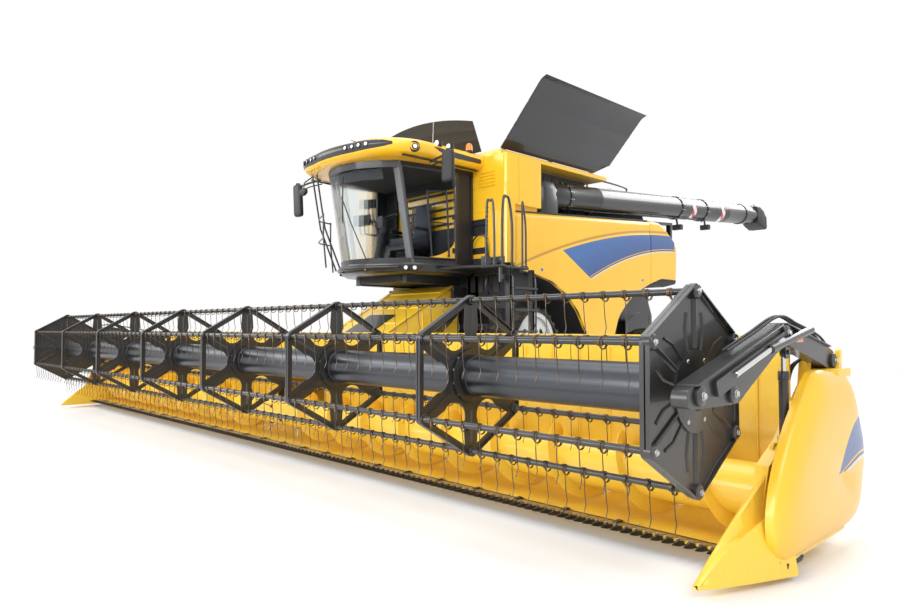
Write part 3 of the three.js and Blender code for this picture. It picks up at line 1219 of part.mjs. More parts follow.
function spider(x, windows) {
  const shape = outline(hexagon(PLATE_RADIUS));
  shape.holes.push(...barHoles());
  if (windows) {
    for (let k = 0; k < 6; k += 1) {
      const middle = Math.PI / 2 + (Math.PI / 3) * (k + 0.5);
      const at = (radius, turn) => new THREE.Vector2(REEL_Y + radius * Math.cos(middle + turn),
        REEL_Z + radius * Math.sin(middle + turn));
      shape.holes.push(new THREE.Path([at(195, -0.18), at(470, -0.4), at(455, 0), at(470, 0.4),
        at(195, 0.18)]));
    }
  }
  return prismX(shape, x - PLATE_THICKNESS / 2, x + PLATE_THICKNESS / 2);
}

function reelRotor() {
  const centre = REEL_HALF - PLATE_THICKNESS / 2;
  const parts = [];
  for (let bay = 0; bay <= REEL_BAYS; bay += 1) {
    parts.push(spider(-centre + (2 * centre * bay) / REEL_BAYS, bay > 0 && bay < REEL_BAYS));
  }
  parts.push(prismX(hexagon(REEL_TUBE), -REEL_HALF + 1, REEL_HALF - 1));
  parts.push(rod([-ARM_INNER + SEAM, REEL_Y, REEL_Z], [ARM_INNER - SEAM, REEL_Y, REEL_Z], REEL_SHAFT, 12));
  return joined(parts);
}
piece('reel_rotor', reelRotor(), BLACK);

for (let k = 0; k < 6; k += 1) {
  const [y, z] = barPlace(k);
  piece(`tine_bar_${k + 1}`, rod([-REEL_HALF - 15, y, z], [REEL_HALF + 15, y, z], BAR_RADIUS, BAR_SIDES),
    GREY);
}

// ---------- place the whole machine with its origin under its middle ----------
const extent = new THREE.Box3().setFromObject(group);
group.position.y = -(extent.min.y + extent.max.y) / 2;
group.updateMatrixWorld(true);

export default group;
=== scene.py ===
# %% [markdown]
# # A half-track combine harvester, dressed around its working frame
# The frame is the machine's plain skeleton: every body that turns or slides already has its place.
# This lesson adds what the eye needs, one piece at a time, in metres and in the frame's own axes:
# +X is the machine's left, -Y its front, +Z up.

# %% The frame
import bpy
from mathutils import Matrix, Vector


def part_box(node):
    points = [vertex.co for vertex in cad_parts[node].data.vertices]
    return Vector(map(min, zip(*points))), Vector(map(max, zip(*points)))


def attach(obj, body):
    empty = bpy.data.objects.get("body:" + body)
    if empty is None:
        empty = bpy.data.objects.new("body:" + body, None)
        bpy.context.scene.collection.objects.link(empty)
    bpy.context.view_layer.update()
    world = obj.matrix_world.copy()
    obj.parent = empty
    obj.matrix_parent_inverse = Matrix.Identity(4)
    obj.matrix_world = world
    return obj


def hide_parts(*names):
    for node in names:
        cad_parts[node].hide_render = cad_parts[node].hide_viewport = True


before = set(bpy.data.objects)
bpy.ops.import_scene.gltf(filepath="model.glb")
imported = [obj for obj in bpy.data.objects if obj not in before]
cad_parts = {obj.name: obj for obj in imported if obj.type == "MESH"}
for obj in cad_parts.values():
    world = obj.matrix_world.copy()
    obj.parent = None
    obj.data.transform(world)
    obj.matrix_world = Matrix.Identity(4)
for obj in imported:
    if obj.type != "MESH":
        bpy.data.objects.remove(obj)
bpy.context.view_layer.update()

# %% Tools and the place of the machine
import math
import random

import bmesh
import bpy
from mathutils import Matrix, Vector

WHEELBASE = 3.7
axle_low, axle_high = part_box("rear_axle")
SHIFT = (axle_low.y + axle_high.y) / 2 - WHEELBASE
TAU = 2 * math.pi
SIDES = (("left", 1), ("right", -1))
random.seed(7)


def at(x, y, z):
    """A point of the machine, whose Y is counted from the track's centre, in the frame's axes."""
    return Vector((x, y + SHIFT, z))


print("the track's centre lies at Y", round(SHIFT, 4))

# %% [markdown]
# ## Shader maths in plain Python
# A finish is a small tree of nodes. Written node by node it hides the idea, so one class wraps a socket and
# answers +, -, * and /. Then a mask reads as a formula. Any other node comes from one method that takes its
# type, its settings and its sockets.

# %% A value that varies over a surface


class Value:
    """One output socket. Arithmetic on it adds Math nodes to its finish."""

    def __init__(self, finish, socket):
        self.finish = finish
        self.socket = socket

    def _math(self, operation, *terms, clamp=False):
        settings = {"operation": operation, "use_clamp": clamp}
        return self.finish.node("ShaderNodeMath", settings, dict(enumerate(terms)))

    def __add__(self, other):
        return self._math("ADD", self, other)

    def __sub__(self, other):
        return self._math("SUBTRACT", self, other)

    def __rsub__(self, other):
        return self._math("SUBTRACT", other, self)

    def __mul__(self, other):
        return self._math("MULTIPLY", self, other)

    def __truediv__(self, other):
        return self._math("DIVIDE", self, other)

    __radd__ = __add__
    __rmul__ = __mul__

    def __abs__(self):
        return self._math("ABSOLUTE", self)

    def wave(self):
        return self._math("SINE", self)

    def step(self, edge, soft=0.004):
        """0 below edge and 1 above it, with a soft change of the given width."""
        return self._math("MULTIPLY_ADD", self - edge, 1 / soft, 0.5, clamp=True)


# %% A finish and its nodes


class Finish:
    """A material that grows from one Principled shader."""

    def __init__(self, name, colour, roughness=0.5, metallic=0.0, **uniform):
        self.material = bpy.data.materials.new(name)
        self.material.use_nodes = True
        self.tree = self.material.node_tree
        self.shader = self.tree.nodes["Principled BSDF"]
        self.colour = (*colour, 1.0)
        self.set("Base Color", self.colour)
        self.set("Roughness", roughness)
        self.set("Metallic", metallic)
        for socket, value in uniform.items():
            self.set(socket.replace("_", " "), value)
        self.material.diffuse_color = self.colour
        place = self.node("ShaderNodeTexCoord", {}, {}, "Object")
        split = self.node("ShaderNodeSeparateXYZ", {}, {0: place}, None)
        self.place = place
        self.x, self.y, self.z = (Value(self, split.outputs[k]) for k in range(3))
        self.y = self.y - SHIFT

    def node(self, kind, settings, sockets, output=0):
        made = self.tree.nodes.new(kind)
        for key, value in settings.items():
            setattr(made, key, value)
        for key, value in sockets.items():
            if isinstance(value, Value):
                self.tree.links.new(value.socket, made.inputs[key])
            else:
                made.inputs[key].default_value = value
        return made if output is None else Value(self, made.outputs[output])

    def set(self, socket, value):
        if isinstance(value, Value):
            self.tree.links.new(value.socket, self.shader.inputs[socket])
        else:
            self.shader.inputs[socket].default_value = value

    def noise(self, scale, detail=3.0, rough=0.5, stretch=None):
        where = self.place
        if stretch:
            settings = {"operation": "MULTIPLY"}
            where = self.node("ShaderNodeVectorMath", settings, {0: self.place, 1: stretch})
        return self.node("ShaderNodeTexNoise", {}, {"Vector": where, "Scale": scale, "Detail": detail,
            "Roughness": rough})

    def blend(self, factor, a, b):
        """Colour a where factor is 0, and b where it is 1."""
        made = self.node("ShaderNodeMix", {"data_type": "RGBA"}, {"Factor": factor}, None)
        for key, value in ((6, a), (7, b)):
            if isinstance(value, Value):
                self.tree.links.new(value.socket, made.inputs[key])
            else:
                made.inputs[key].default_value = (*value[:3], 1.0)
        return Value(self, made.outputs[2])

    def bump(self, height, strength, distance=0.002):
        self.set("Normal", self.node("ShaderNodeBump", {},
            {"Strength": strength, "Distance": distance, "Height": height}))


print("shader maths ready")

# %% [markdown]
# ## Painted sheet metal
# A new machine's paint is an even gloss coat over pressed steel. Three small things keep it from looking
# like plastic: a faint orange-peel ripple in the coat, a slow drift in the colour from panel to panel, and
# dust that gathers low down. All three come from noise in the piece's own place, so they stay put when it
# moves.

# %% Paint
YELLOW = (0.94, 0.545, 0.018)
DEEP_YELLOW = (0.86, 0.43, 0.012)
BLACK = (0.012, 0.0125, 0.014)
BLUE = (0.018, 0.07, 0.25)
NAVY = (0.006, 0.014, 0.05)
SILVER = (0.62, 0.64, 0.66)
DUST = (0.33, 0.26, 0.17)


def paint(name, colour, shade, roughness, coat, dust=0.25, stripes=None, ripple=0.05):
    """Sprayed paint: colour drifts towards shade, with ripples in the coat and dust low down."""
    finish = Finish(name, colour, roughness, Coat_Roughness=0.08, Coat_IOR=1.5)
    drift = (finish.noise(0.9, 2.0) - 0.35) * 1.6
    tone = finish.blend(drift._math("MULTIPLY", drift, 0.55, clamp=True), colour, shade)
    if stripes:
        tone = stripes(finish, tone)
    grime = (finish.noise(7.0, 6.0, 0.65) * (1.15 - finish.z * 0.9))._math("MULTIPLY",
        finish.noise(42.0, 4.0), dust, clamp=True)
    grime = grime * (1.3 - finish.z).step(0.5, 1.6)
    tone = finish.blend(grime, tone, DUST)
    finish.set("Base Color", tone)
    finish.set("Roughness", grime * 0.5 + (finish.noise(16.0, 4.0) * 0.08 + (roughness - 0.04)))
    finish.set("Coat Weight", grime._math("MULTIPLY_ADD", grime, -0.8, coat, clamp=True))
    finish.bump(finish.noise(190.0, 2.0) * 0.35 + finish.noise(2.4, 1.0), ripple)
    return finish.material


yellow = paint("yellow_paint", YELLOW, DEEP_YELLOW, 0.34, 0.55)
header_yellow = paint("header_yellow", (0.95, 0.62, 0.04), (0.9, 0.5, 0.02), 0.36, 0.45, dust=0.3)
black = paint("black_paint", BLACK, (0.02, 0.021, 0.024), 0.38, 0.35, ripple=0.08)
frame_grey = paint("frame_grey", (0.014, 0.015, 0.017), (0.026, 0.027, 0.031), 0.34, 0.35, ripple=0.08)
white = paint("wheel_white", (0.74, 0.74, 0.72), (0.6, 0.6, 0.58), 0.4, 0.3, dust=0.5)
print("paint: yellow, black, frame grey, wheel white")

# %% [markdown]
# ## The stripes
# The side panels carry one rising blue band with a pointed front end and a navy and silver pinline under it.
# Above it runs a darker line over the panel's crease, which is painted shade. Each edge is a slow parabola,
# so the band is three comparisons between the height and a formula of Y. That stays sharp at any size, and it
# needs no picture. The band carries no lettering.

# %% Side stripes
BAND_TOP = 3.22
BAND_LOW = 2.975
BAND_END = 4.4


def band(finish, tone, top, low, crease):
    """Paints the blue band between two curved edges, with its pinlines and a line of painted crease shade
    above it.
    """
    inside = (finish.z - low).step(0) * (top - finish.z).step(0)
    fade = finish.blend((finish.z - low) * 2.2, BLUE, (0.028, 0.125, 0.36))
    point = crease["point"]
    tone = finish.blend(inside * point, tone, fade)
    gap = low - finish.z
    tone = finish.blend(gap.step(0.012) * (1 - gap.step(0.034)) * point, tone, NAVY)
    tone = finish.blend(gap.step(0.034) * (1 - gap.step(0.058)) * point, tone, SILVER)
    # painted shade: a darker orange line over the groove that runs above the band's top edge
    rise = finish.z - top
    return finish.blend(rise.step(crease["from"], 0.006) * (1 - rise.step(crease["to"], 0.02)) * 0.75, tone,
        (0.42, 0.17, 0.012))


def side_stripes(finish, tone):
    run = BAND_END - finish.y
    top = BAND_TOP - run * run * 0.04
    low = BAND_LOW - run * run * 0.077
    point = (finish.z - (2.69 - (finish.y - 0.76) * 0.535)).step(0) * (4.26 - finish.y).step(0)
    # the dark line 35 to 75 mm over the band's top is painted shade in the panel's groove
    return band(finish, tone, top, low, {"point": point, "from": 0.035, "to": 0.075})


def shield_stripes(finish, tone):
    run = -2.25 - finish.y
    top = 0.87 - run * run * 1.2
    low = 0.63 - run * run * 0.5
    outside = (abs(finish.x) - 6.36).step(0) * (finish.z - 0.53).step(0)
    return band(finish, tone, top, low, {"point": outside, "from": 0.5, "to": 0.5})


striped_yellow = paint("striped_yellow", YELLOW, DEEP_YELLOW, 0.3, 0.45, stripes=side_stripes)
shield_yellow = paint("shield_yellow", YELLOW, DEEP_YELLOW, 0.32, 0.35, stripes=shield_stripes)
print("stripes painted")

# %% [markdown]
# ## Metals, rubber, plastic, glass and cloth
# Bare steel is a rough metal whose scratches follow its length. Chrome is the same with almost no
# roughness. Rubber and plastic differ by their grain. Glass is mostly see-through, so it is a Principled
# shader with transmission and a faint tint.

# %% Metals
def metal(name, colour, roughness, stretch, scratch=0.1, rust=0.0):
    finish = Finish(name, colour, roughness, 1.0)
    grain = finish.noise(60.0, 4.0, 0.6, stretch)
    patch = finish.noise(9.0, 5.0)
    tone = finish.blend(grain * 0.6, colour, tuple(c * 0.6 for c in colour))
    tone = finish.blend(patch.step(0.6, 0.2) * rust, tone, (0.2, 0.075, 0.02))
    finish.set("Base Color", tone)
    finish.set("Roughness", grain * 0.16 + (roughness - 0.06))
    finish.set("Metallic", 1 - patch.step(0.6, 0.2) * rust * 0.8)
    finish.bump(grain, scratch, 0.0008)
    return finish.material


steel = metal("bright_steel", (0.58, 0.58, 0.57), 0.32, (1, 1, 6))
chrome = metal("chrome_rod", (0.82, 0.83, 0.84), 0.1, (8, 1, 1), 0.02)
dark_steel = metal("dark_steel", (0.1, 0.105, 0.115), 0.3, (0.2, 4, 4), 0.06)
spring = metal("spring_steel", (0.11, 0.092, 0.072), 0.34, (1, 1, 1), 0.1, 0.35)
mirror_glass = metal("mirror_glass", (0.85, 0.88, 0.9), 0.04, (1, 1, 1), 0.0)
iron = metal("cast_iron", (0.13, 0.13, 0.14), 0.55, (1, 1, 1), 0.3, 0.3)
knife_steel = metal("knife_steel", (0.09, 0.09, 0.095), 0.45, (1, 5, 1), 0.2, 0.2)
print("metals ready")


# %% Rubber, plastic, cloth
def grained(name, colour, shade, roughness, scale, strength, dust=0.0, sheen=0.0):
    finish = Finish(name, colour, roughness, Sheen_Weight=sheen, Specular_IOR_Level=0.4)
    grain = finish.noise(scale, 4.0, 0.6)
    tone = finish.blend(grain, colour, shade)
    tone = finish.blend(finish.noise(6.0, 6.0, 0.7).step(0.62, 0.3) * dust, tone, DUST)
    finish.set("Base Color", tone)
    finish.set("Roughness", grain * 0.15 + (roughness - 0.05))
    finish.bump(grain, strength, 0.001)
    return finish.material


tyre_rubber = grained("tyre_rubber", (0.012, 0.012, 0.012), (0.03, 0.03, 0.029), 0.75, 120.0, 0.3, 0.5)
track_rubber = grained("track_rubber", (0.014, 0.014, 0.014), (0.032, 0.031, 0.03), 0.72, 90.0, 0.3, 0.55)
plastic = grained("black_plastic", (0.013, 0.013, 0.014), (0.024, 0.024, 0.026), 0.48, 260.0, 0.25)
dark_panel = grained("dark_panel", (0.018, 0.021, 0.026), (0.035, 0.039, 0.045), 0.42, 200.0, 0.12)
headliner = grained("headliner", (0.035, 0.035, 0.038), (0.06, 0.06, 0.064), 0.9, 500.0, 0.4)
trim_grey = grained("trim_grey", (0.12, 0.125, 0.13), (0.17, 0.175, 0.18), 0.6, 300.0, 0.2)


def woven(name, colour, thread):
    """Seat cloth: warp and weft threads, with a slow random fade."""
    finish = Finish(name, colour, 0.9, Sheen_Weight=0.4, Sheen_Roughness=0.4)
    warp = (finish.x * (TAU / thread)).wave()
    weft = ((finish.y + finish.z) * (TAU / thread)).wave()
    weave = warp * weft * 0.5 + 0.5
    finish.set("Base Color", finish.blend(weave * 0.6 + finish.noise(14.0) * 0.4, colour,
        tuple(c * 2.4 for c in colour)))
    finish.set("Roughness", weave * 0.1 + 0.82)
    finish.bump(weave, 0.4, 0.0006)
    return finish.material


seat_cloth = woven("seat_cloth", (0.03, 0.034, 0.045), 0.004)
print("rubber, plastic and cloth ready")


# %% Glass, lamps and reflectors
def glass(name, tint, clear):
    finish = Finish(name, tint, 0.03, Transmission_Weight=1.0, IOR=1.1)
    finish.set("Roughness", finish.noise(3.0, 2.0) * 0.03 + 0.01)
    finish.set("Alpha", 1 - finish.noise(1.2, 1.0)._math("MULTIPLY", finish.noise(2.0, 1.0) * 0.1 + clear,
        1.0))
    return finish.material


def glowing(name, colour, light, roughness=0.2):
    finish = Finish(name, colour, roughness, Emission_Strength=light, Coat_Weight=0.6)
    rings = finish.noise(55.0, 2.0)
    finish.set("Base Color", finish.blend(rings * 0.6, colour, tuple(min(1, c * 0.6) for c in colour)))
    finish.set("Emission Color", finish.blend(rings, colour, tuple(c * 0.5 for c in colour)))
    finish.bump(rings, 0.15)
    return finish.material


def banded(name, first, second, width):
    """Reflective tape: two colours in slanting bands."""
    finish = Finish(name, first, 0.25, Coat_Weight=0.5)
    slant = ((finish.y + finish.z + finish.x) * (math.pi / width)).wave().step(0, 0.1)
    finish.set("Base Color", finish.blend(slant, first, second))
    finish.bump(finish.noise(600.0), 0.1)
    return finish.material


cab_glass = glass("cab_glass", (0.72, 0.8, 0.82), 0.55)
lamp = glowing("lamp_glass", (0.85, 0.88, 0.9), 0.35)
amber = glowing("amber_lens", (0.9, 0.22, 0.01), 0.25)
red_lens = glowing("red_lens", (0.5, 0.012, 0.01), 0.15)
screen = glowing("monitor_screen", (0.04, 0.12, 0.2), 0.6)
tape = banded("red_white_tape", (0.6, 0.02, 0.02), (0.8, 0.8, 0.8), 0.14)
print("glass and lamps ready")

# %% [markdown]
# ## The camera, the floor and the light
# The view is from the machine's front left, low down, so the header runs across the whole picture and the
# cab stands against the sky. The floor and the world are pale. Only what the camera, a mirror or a pane
# sees of them is white: the light that falls on the machine stays at a plain level. The floor is lit near
# the machine, so it holds a soft shadow, and fades to plain white further out, so no horizon shows.

# %% Camera
AZIMUTH = math.radians(46.12)
TILT = math.radians(-1.95)
back = Vector((math.sin(AZIMUTH) * math.cos(TILT), -math.cos(AZIMUTH) * math.cos(TILT), math.sin(TILT)))
camera_data = bpy.data.cameras.new("camera")
camera_data.sensor_width = 36.0
camera_data.lens = 27.2
camera_data.clip_end = 300.0
camera = bpy.data.objects.new("camera", camera_data)
camera.location = at(7.964, -7.725, 1.491)
camera.rotation_mode = "QUATERNION"
camera.rotation_quaternion = (-back).to_track_quat("-Z", "Y")
bpy.context.scene.collection.objects.link(camera)
bpy.context.scene.camera = camera
bpy.context.scene.view_settings.view_transform = "Standard"
print("camera at", tuple(round(v, 3) for v in camera.location))


# %% Floor and world
def white_to_eyes(tree, lit, level):
    """A shader that is lit as usual, and plain white where it is seen directly, mirrored or through glass."""
    path = tree.nodes.new("ShaderNodeLightPath")
    seen = path.outputs["Is Camera Ray"]
    for name in ("Is Glossy Ray", "Is Transmission Ray"):
        both = tree.nodes.new("ShaderNodeMath")
        both.operation = "MAXIMUM"
        tree.links.new(seen, both.inputs[0])
        tree.links.new(path.outputs[name], both.inputs[1])
        seen = both.outputs[0]
    mixed = tree.nodes.new("ShaderNodeMixShader")
    bright = tree.nodes.new("ShaderNodeBackground" if lit.bl_idname == "ShaderNodeBackground"
        else "ShaderNodeEmission")
    bright.inputs["Color"].default_value = (1, 1, 1, 1)
    bright.inputs["Strength"].default_value = level
    tree.links.new(seen, mixed.inputs[0])
    tree.links.new(lit.outputs[0], mixed.inputs[1])
    tree.links.new(bright.outputs[0], mixed.inputs[2])
    return mixed


world = bpy.data.worlds.new("studio")
bpy.context.scene.world = world
world.use_nodes = True
sky = world.node_tree.nodes["Background"]
sky.inputs["Color"].default_value = (0.93, 0.95, 1.0, 1)
sky.inputs["Strength"].default_value = 0.62
white_sky = white_to_eyes(world.node_tree, sky, 1.0)
world.node_tree.links.new(white_sky.outputs[0], world.node_tree.nodes["World Output"].inputs["Surface"])

FADE_START, FADE_END = 8.0, 15.0
floor_material = bpy.data.materials.new("studio_floor")
floor_material.use_nodes = True
floor_shader = floor_material.node_tree.nodes["Principled BSDF"]
floor_shader.inputs["Base Color"].default_value = (0.93, 0.93, 0.93, 1)
floor_shader.inputs["Roughness"].default_value = 0.6
floor_tree = floor_material.node_tree
seen_floor = white_to_eyes(floor_tree, floor_shader, 1.0)
spot = floor_tree.nodes.new("ShaderNodeTexCoord")
reach = floor_tree.nodes.new("ShaderNodeVectorMath")
reach.operation = "LENGTH"
far_away = floor_tree.nodes.new("ShaderNodeMapRange")
far_away.interpolation_type = "SMOOTHSTEP"
far_away.inputs["From Min"].default_value = FADE_START
far_away.inputs["From Max"].default_value = FADE_END
floor_fade = floor_tree.nodes.new("ShaderNodeMixShader")
floor_tree.links.new(spot.outputs["Object"], reach.inputs[0])
floor_tree.links.new(reach.outputs["Value"], far_away.inputs["Value"])
floor_tree.links.new(far_away.outputs["Result"], floor_fade.inputs[0])
floor_tree.links.new(floor_shader.outputs[0], floor_fade.inputs[1])
floor_tree.links.new(seen_floor.outputs[0], floor_fade.inputs[2])
floor_tree.links.new(floor_fade.outputs[0], floor_tree.nodes["Material Output"].inputs["Surface"])
floor_mesh = bpy.data.meshes.new("floor")
floor_mesh.from_pydata([(x, y, 0) for x, y in ((-90, -90), (90, -90), (90, 90), (-90, 90))], [],
    [(0, 1, 2, 3)])
floor_mesh.materials.append(floor_material)
floor = bpy.data.objects.new("floor", floor_mesh)
bpy.context.scene.collection.objects.link(floor)


# %% Lamps
def softbox(name, place, target, size, power, colour=(1, 1, 1)):
    data = bpy.data.lights.new(name, "AREA")
    data.shape = "RECTANGLE"
    data.size, data.size_y = size
    data.energy = power
    data.color = colour
    lamp_object = bpy.data.objects.new(name, data)
    lamp_object.location = at(*place)
    lamp_object.rotation_mode = "QUATERNION"
    lamp_object.rotation_quaternion = (at(*target) - at(*place)).to_track_quat("-Z", "Y")
    bpy.context.scene.collection.objects.link(lamp_object)
    return lamp_object


softbox("key", (16, -10, 14), (0, -1, 1.5), (12, 8), 1350)
softbox("front", (3, -22, 6), (1, -2, 1.5), (16, 6), 2600)
softbox("fill", (-14, -14, 9), (0, -2, 1.5), (12, 8), 1300)
softbox("back", (4, 20, 12), (0, 2, 2), (14, 6), 1500)
softbox("top", (0, -1, 18), (0, 0, 0), (16, 16), 1700)
print("light and floor ready")

# %% [markdown] ## A small kit for building shapes Real sheet metal, tube and castings are strips, sweeps
# and turned rings. A fine bevel breaks the edges, because nothing that is pressed or welded has a knife
# edge.

# %% Shapes


class Shape:
    """Corners and faces of a piece that is being made, in the machine's own metres."""

    def __init__(self):
        self.points = []
        self.faces = []
        self.marks = []
        self.mark = 0

    def use(self, mark):
        self.mark = mark
        return self

    def add(self, points, faces):
        start = len(self.points)
        self.points += [tuple(p) for p in points]
        self.faces += [tuple(start + i for i in face) for face in faces]
        self.marks += [self.mark] * len(faces)
        return self

    def rings(self, rings, around=True, capped=True, closed=False):
        """Joins rows of points of one length into a skin."""
        count = len(rings[0])
        points = [p for ring in rings for p in ring]
        faces = []
        rows = len(rings) if closed else len(rings) - 1
        for r in range(rows):
            low, high = r * count, ((r + 1) % len(rings)) * count
            for k in range(count if around else count - 1):
                n = (k + 1) % count
                faces.append((low + k, low + n, high + n, high + k))
        if capped and around and not closed:
            faces.append(tuple(reversed(range(count))))
            faces.append(tuple((len(rings) - 1) * count + k for k in range(count)))
        return self.add(points, faces)

    def block(self, low, high):
        points = [(x, y, z) for z in (low[2], high[2]) for y in (low[1], high[1])
            for x in (low[0], high[0])]
        return self.add(points, [(0, 2, 3, 1), (4, 5, 7, 6), (0, 1, 5, 4), (2, 6, 7, 3), (0, 4, 6, 2),
            (1, 3, 7, 5)])

    def tube(self, path, radius, sides=10, closed=False, flat=1.0):
        """A round bar along a path. radius may be one number or one for each point."""
        path = [Vector(p) for p in path]
        count = len(path)
        radii = radius if hasattr(radius, "__len__") else [radius] * count
        rings, normal = [], None
        for i, p in enumerate(path):
            ahead = path[(i + 1) % count] if closed or i < count - 1 else p
            behind = path[i - 1] if closed or i > 0 else p
            along = (ahead - behind).normalized()
            if normal is None:
                normal = along.orthogonal().normalized()
            normal = (normal - along * normal.dot(along)).normalized()
            side = along.cross(normal)
            rings.append([p + (normal * math.cos(a) + side * flat * math.sin(a)) * radii[i]
                          for a in (TAU * k / sides for k in range(sides))])
        return self.rings(rings, closed=closed)

    def turned(self, profile, centre, axis="x", segments=32, side=1, closed=False):
        """Turns (radius, distance along the axis) points round an axis through a centre."""
        rings = []
        for radius, along in profile:
            ring = []
            for k in range(segments):
                a = TAU * k / segments
                u, v, w = radius * math.cos(a), radius * math.sin(a), side * along
                ring.append({"x": (w, u, v), "y": (u, w, v), "z": (u, v, w)}[axis])
            rings.append([tuple(c + q for c, q in zip(centre, p)) for p in ring])
        return self.rings(rings, capped=not closed, closed=closed)

    def plate(self, outline, axis, start, end):
        """A flat plate from an outline, across an axis."""
        def put(p, w):
            return {"x": (w, p[0], p[1]), "y": (p[0], w, p[1]), "z": (p[0], p[1], w)}[axis]
        return self.rings([[put(p, start) for p in outline], [put(p, end) for p in outline]])

    def cut_plate(self, outline, holes, axis, start, end):
        """A flat plate with holes, filled as a flat 2D curve."""
        curve = bpy.data.curves.new("cutter", "CURVE")
        curve.dimensions = "2D"
        curve.fill_mode = "BOTH"
        curve.extrude = abs(end - start) / 2
        for loop in (outline, *holes):
            spline = curve.splines.new("POLY")
            spline.points.add(len(loop) - 1)
            for point, (a, b) in zip(spline.points, loop):
                point.co = (a, b, 0, 1)
            spline.use_cyclic_u = True
        cutter = bpy.data.objects.new("cutter", curve)
        bpy.context.scene.collection.objects.link(cutter)
        mesh = bpy.data.meshes.new_from_object(cutter.evaluated_get(bpy.context.evaluated_depsgraph_get()))
        middle = (start + end) / 2
        put = {"x": lambda p: (p[2] + middle, p[0], p[1]), "y": lambda p: (p[0], p[2] + middle, p[1]),
               "z": lambda p: (p[0], p[1], p[2] + middle)}[axis]
        self.add([put(v.co) for v in mesh.vertices], [tuple(f.vertices) for f in mesh.polygons])
        bpy.data.objects.remove(cutter)
        bpy.data.meshes.remove(mesh)
        return self

    def bolt(self, place, axis, size=0.014, side=1):
        """A hexagon head on a washer."""
        profile = [(size * 1.3, 0), (size * 1.3, size * 0.25), (size, size * 0.25), (size, size * 0.8),
            (size * 0.7, size)]
        self.turned(profile[:2], place, axis, 12, side)
        return self.turned(profile[2:], place, axis, 6, side)

    def moved(self, matrix, from_point=0):
        self.points[from_point:] = [tuple(matrix @ Vector(p)) for p in self.points[from_point:]]
        return self


def piece(name, shape, body, finishes, replaces=(), bevel=0.0, smooth=35, subdivide=0):
    """Makes one piece of a Shape, in the frame's axes, and lets it ride on its body."""
    mesh = bpy.data.meshes.new(name)
    mesh.from_pydata([at(*p) for p in shape.points], [], shape.faces)
    for finish in finishes:
        mesh.materials.append(finish)
    mesh.polygons.foreach_set("material_index", shape.marks)
    work = bmesh.new()
    work.from_mesh(mesh)
    bmesh.ops.remove_doubles(work, verts=work.verts, dist=0.00005)
    bmesh.ops.recalc_face_normals(work, faces=work.faces)
    work.to_mesh(mesh)
    work.free()
    mesh.shade_smooth()
    mesh.set_sharp_from_angle(angle=math.radians(smooth))
    made = bpy.data.objects.new(name, mesh)
    bpy.context.scene.collection.objects.link(made)
    if subdivide:
        made.modifiers.new("smooth", "SUBSURF").render_levels = subdivide
        made.modifiers["smooth"].levels = subdivide
    if bevel:
        edge = made.modifiers.new("edge", "BEVEL")
        edge.width = bevel
        edge.segments = 2
        edge.limit_method = "ANGLE"
        edge.angle_limit = math.radians(40)
        edge.harden_normals = False
    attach(made, body)
    if replaces:
        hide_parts(*replaces)
    return made


def arc(centre, radius, start, end, steps):
    """Points round a centre in a plane, between two angles in turns of a circle."""
    return [(centre[0] + radius * math.cos(TAU * (start + (end - start) * k / steps)),
             centre[1] + radius * math.sin(TAU * (start + (end - start) * k / steps)))
                 for k in range(steps + 1)]


def rounded(outline, radius, steps=4):
    """The same outline with its corners rounded."""
    made = []
    count = len(outline)
    for i, corner in enumerate(outline):
        here = Vector(corner)
        arms = [Vector(outline[i - 1]) - here, Vector(outline[(i + 1) % count]) - here]
        reach = [min(radius, a.length * 0.45) for a in arms]
        a, b = (here + arm.normalized() * r for arm, r in zip(arms, reach))
        for k in range(steps + 1):
            t = k / steps
            made.append(tuple(a * (1 - t) ** 2 + here * 2 * t * (1 - t) + b * t ** 2))
    return made


def smooth_path(points, steps=8):
    """A soft curve through the points."""
    pts = [Vector(p) for p in points]
    pts = [pts[0] * 2 - pts[1], *pts, pts[-1] * 2 - pts[-2]]
    made = []
    for i in range(1, len(pts) - 2):
        for k in range(steps):
            t = k / steps
            made.append(0.5 * ((2 * pts[i]) + (pts[i + 1] - pts[i - 1]) * t
                        + (2 * pts[i - 1] - 5 * pts[i] + 4 * pts[i + 1] - pts[i + 2]) * t * t
                        + (3 * pts[i] - pts[i - 1] - 3 * pts[i + 1] + pts[i + 2]) * t ** 3))
    return [*made, pts[-2]]


print("shape kit ready")

# %% [markdown]
# ## The reel
# The reel sweeps the crop onto the knife. A large tube carries six-sided plates. Six bars run through the
# plates' corners and hold rows of spring tines that always hang down: each bar turns back as the reel turns
# on. So each bar with its tines is one piece on its own body, and the tube with its plates is another.

# %% Reel sizes
REEL_Y, REEL_Z = -4.07, 1.138
REEL_HALF = 6.15
BAR_CIRCLE = 0.562
PLATE_RADIUS = 0.61
BAYS = 7
SPIDER_X = [-REEL_HALF + 0.007 + 2 * (REEL_HALF - 0.007) * k / BAYS for k in range(BAYS + 1)]


def reel_at(radius, turn):
    """A point of the reel's cross section: turn 0 is its front, in turns of a circle."""
    return (REEL_Y + radius * math.cos(TAU * turn), REEL_Z + radius * math.sin(TAU * turn))


BAR_TURNS = [0.25 + k / 6 for k in range(6)]
corners = [reel_at(PLATE_RADIUS, turn) for turn in BAR_TURNS]
print("reel", BAYS + 1, "plates,", len(BAR_TURNS), "bars")

# %% [markdown]
# ### The inner spiders
# A spider is pressed from one sheet: a folded rim, six arms and windows with a round inner end. The rim's
# fold stands out sideways and gives the sheet its stiffness, so it is built as a second, wider strip round
# the edge.

# %% Inner spiders
def window(middle):
    """One window between two arms: a straight outer side and a round inner end."""
    outer, inner, width = 0.475, 0.262, 0.2
    ends = [reel_at(outer / math.cos(math.radians(23)), middle + s * 23 / 360) for s in (-1, 1)]
    centre = reel_at(inner + 0.085, middle)
    facing = middle
    bow = arc(centre, 0.115, facing + 0.25, facing + 0.75, 8)
    return [ends[0], ends[1], *bow] if width else []


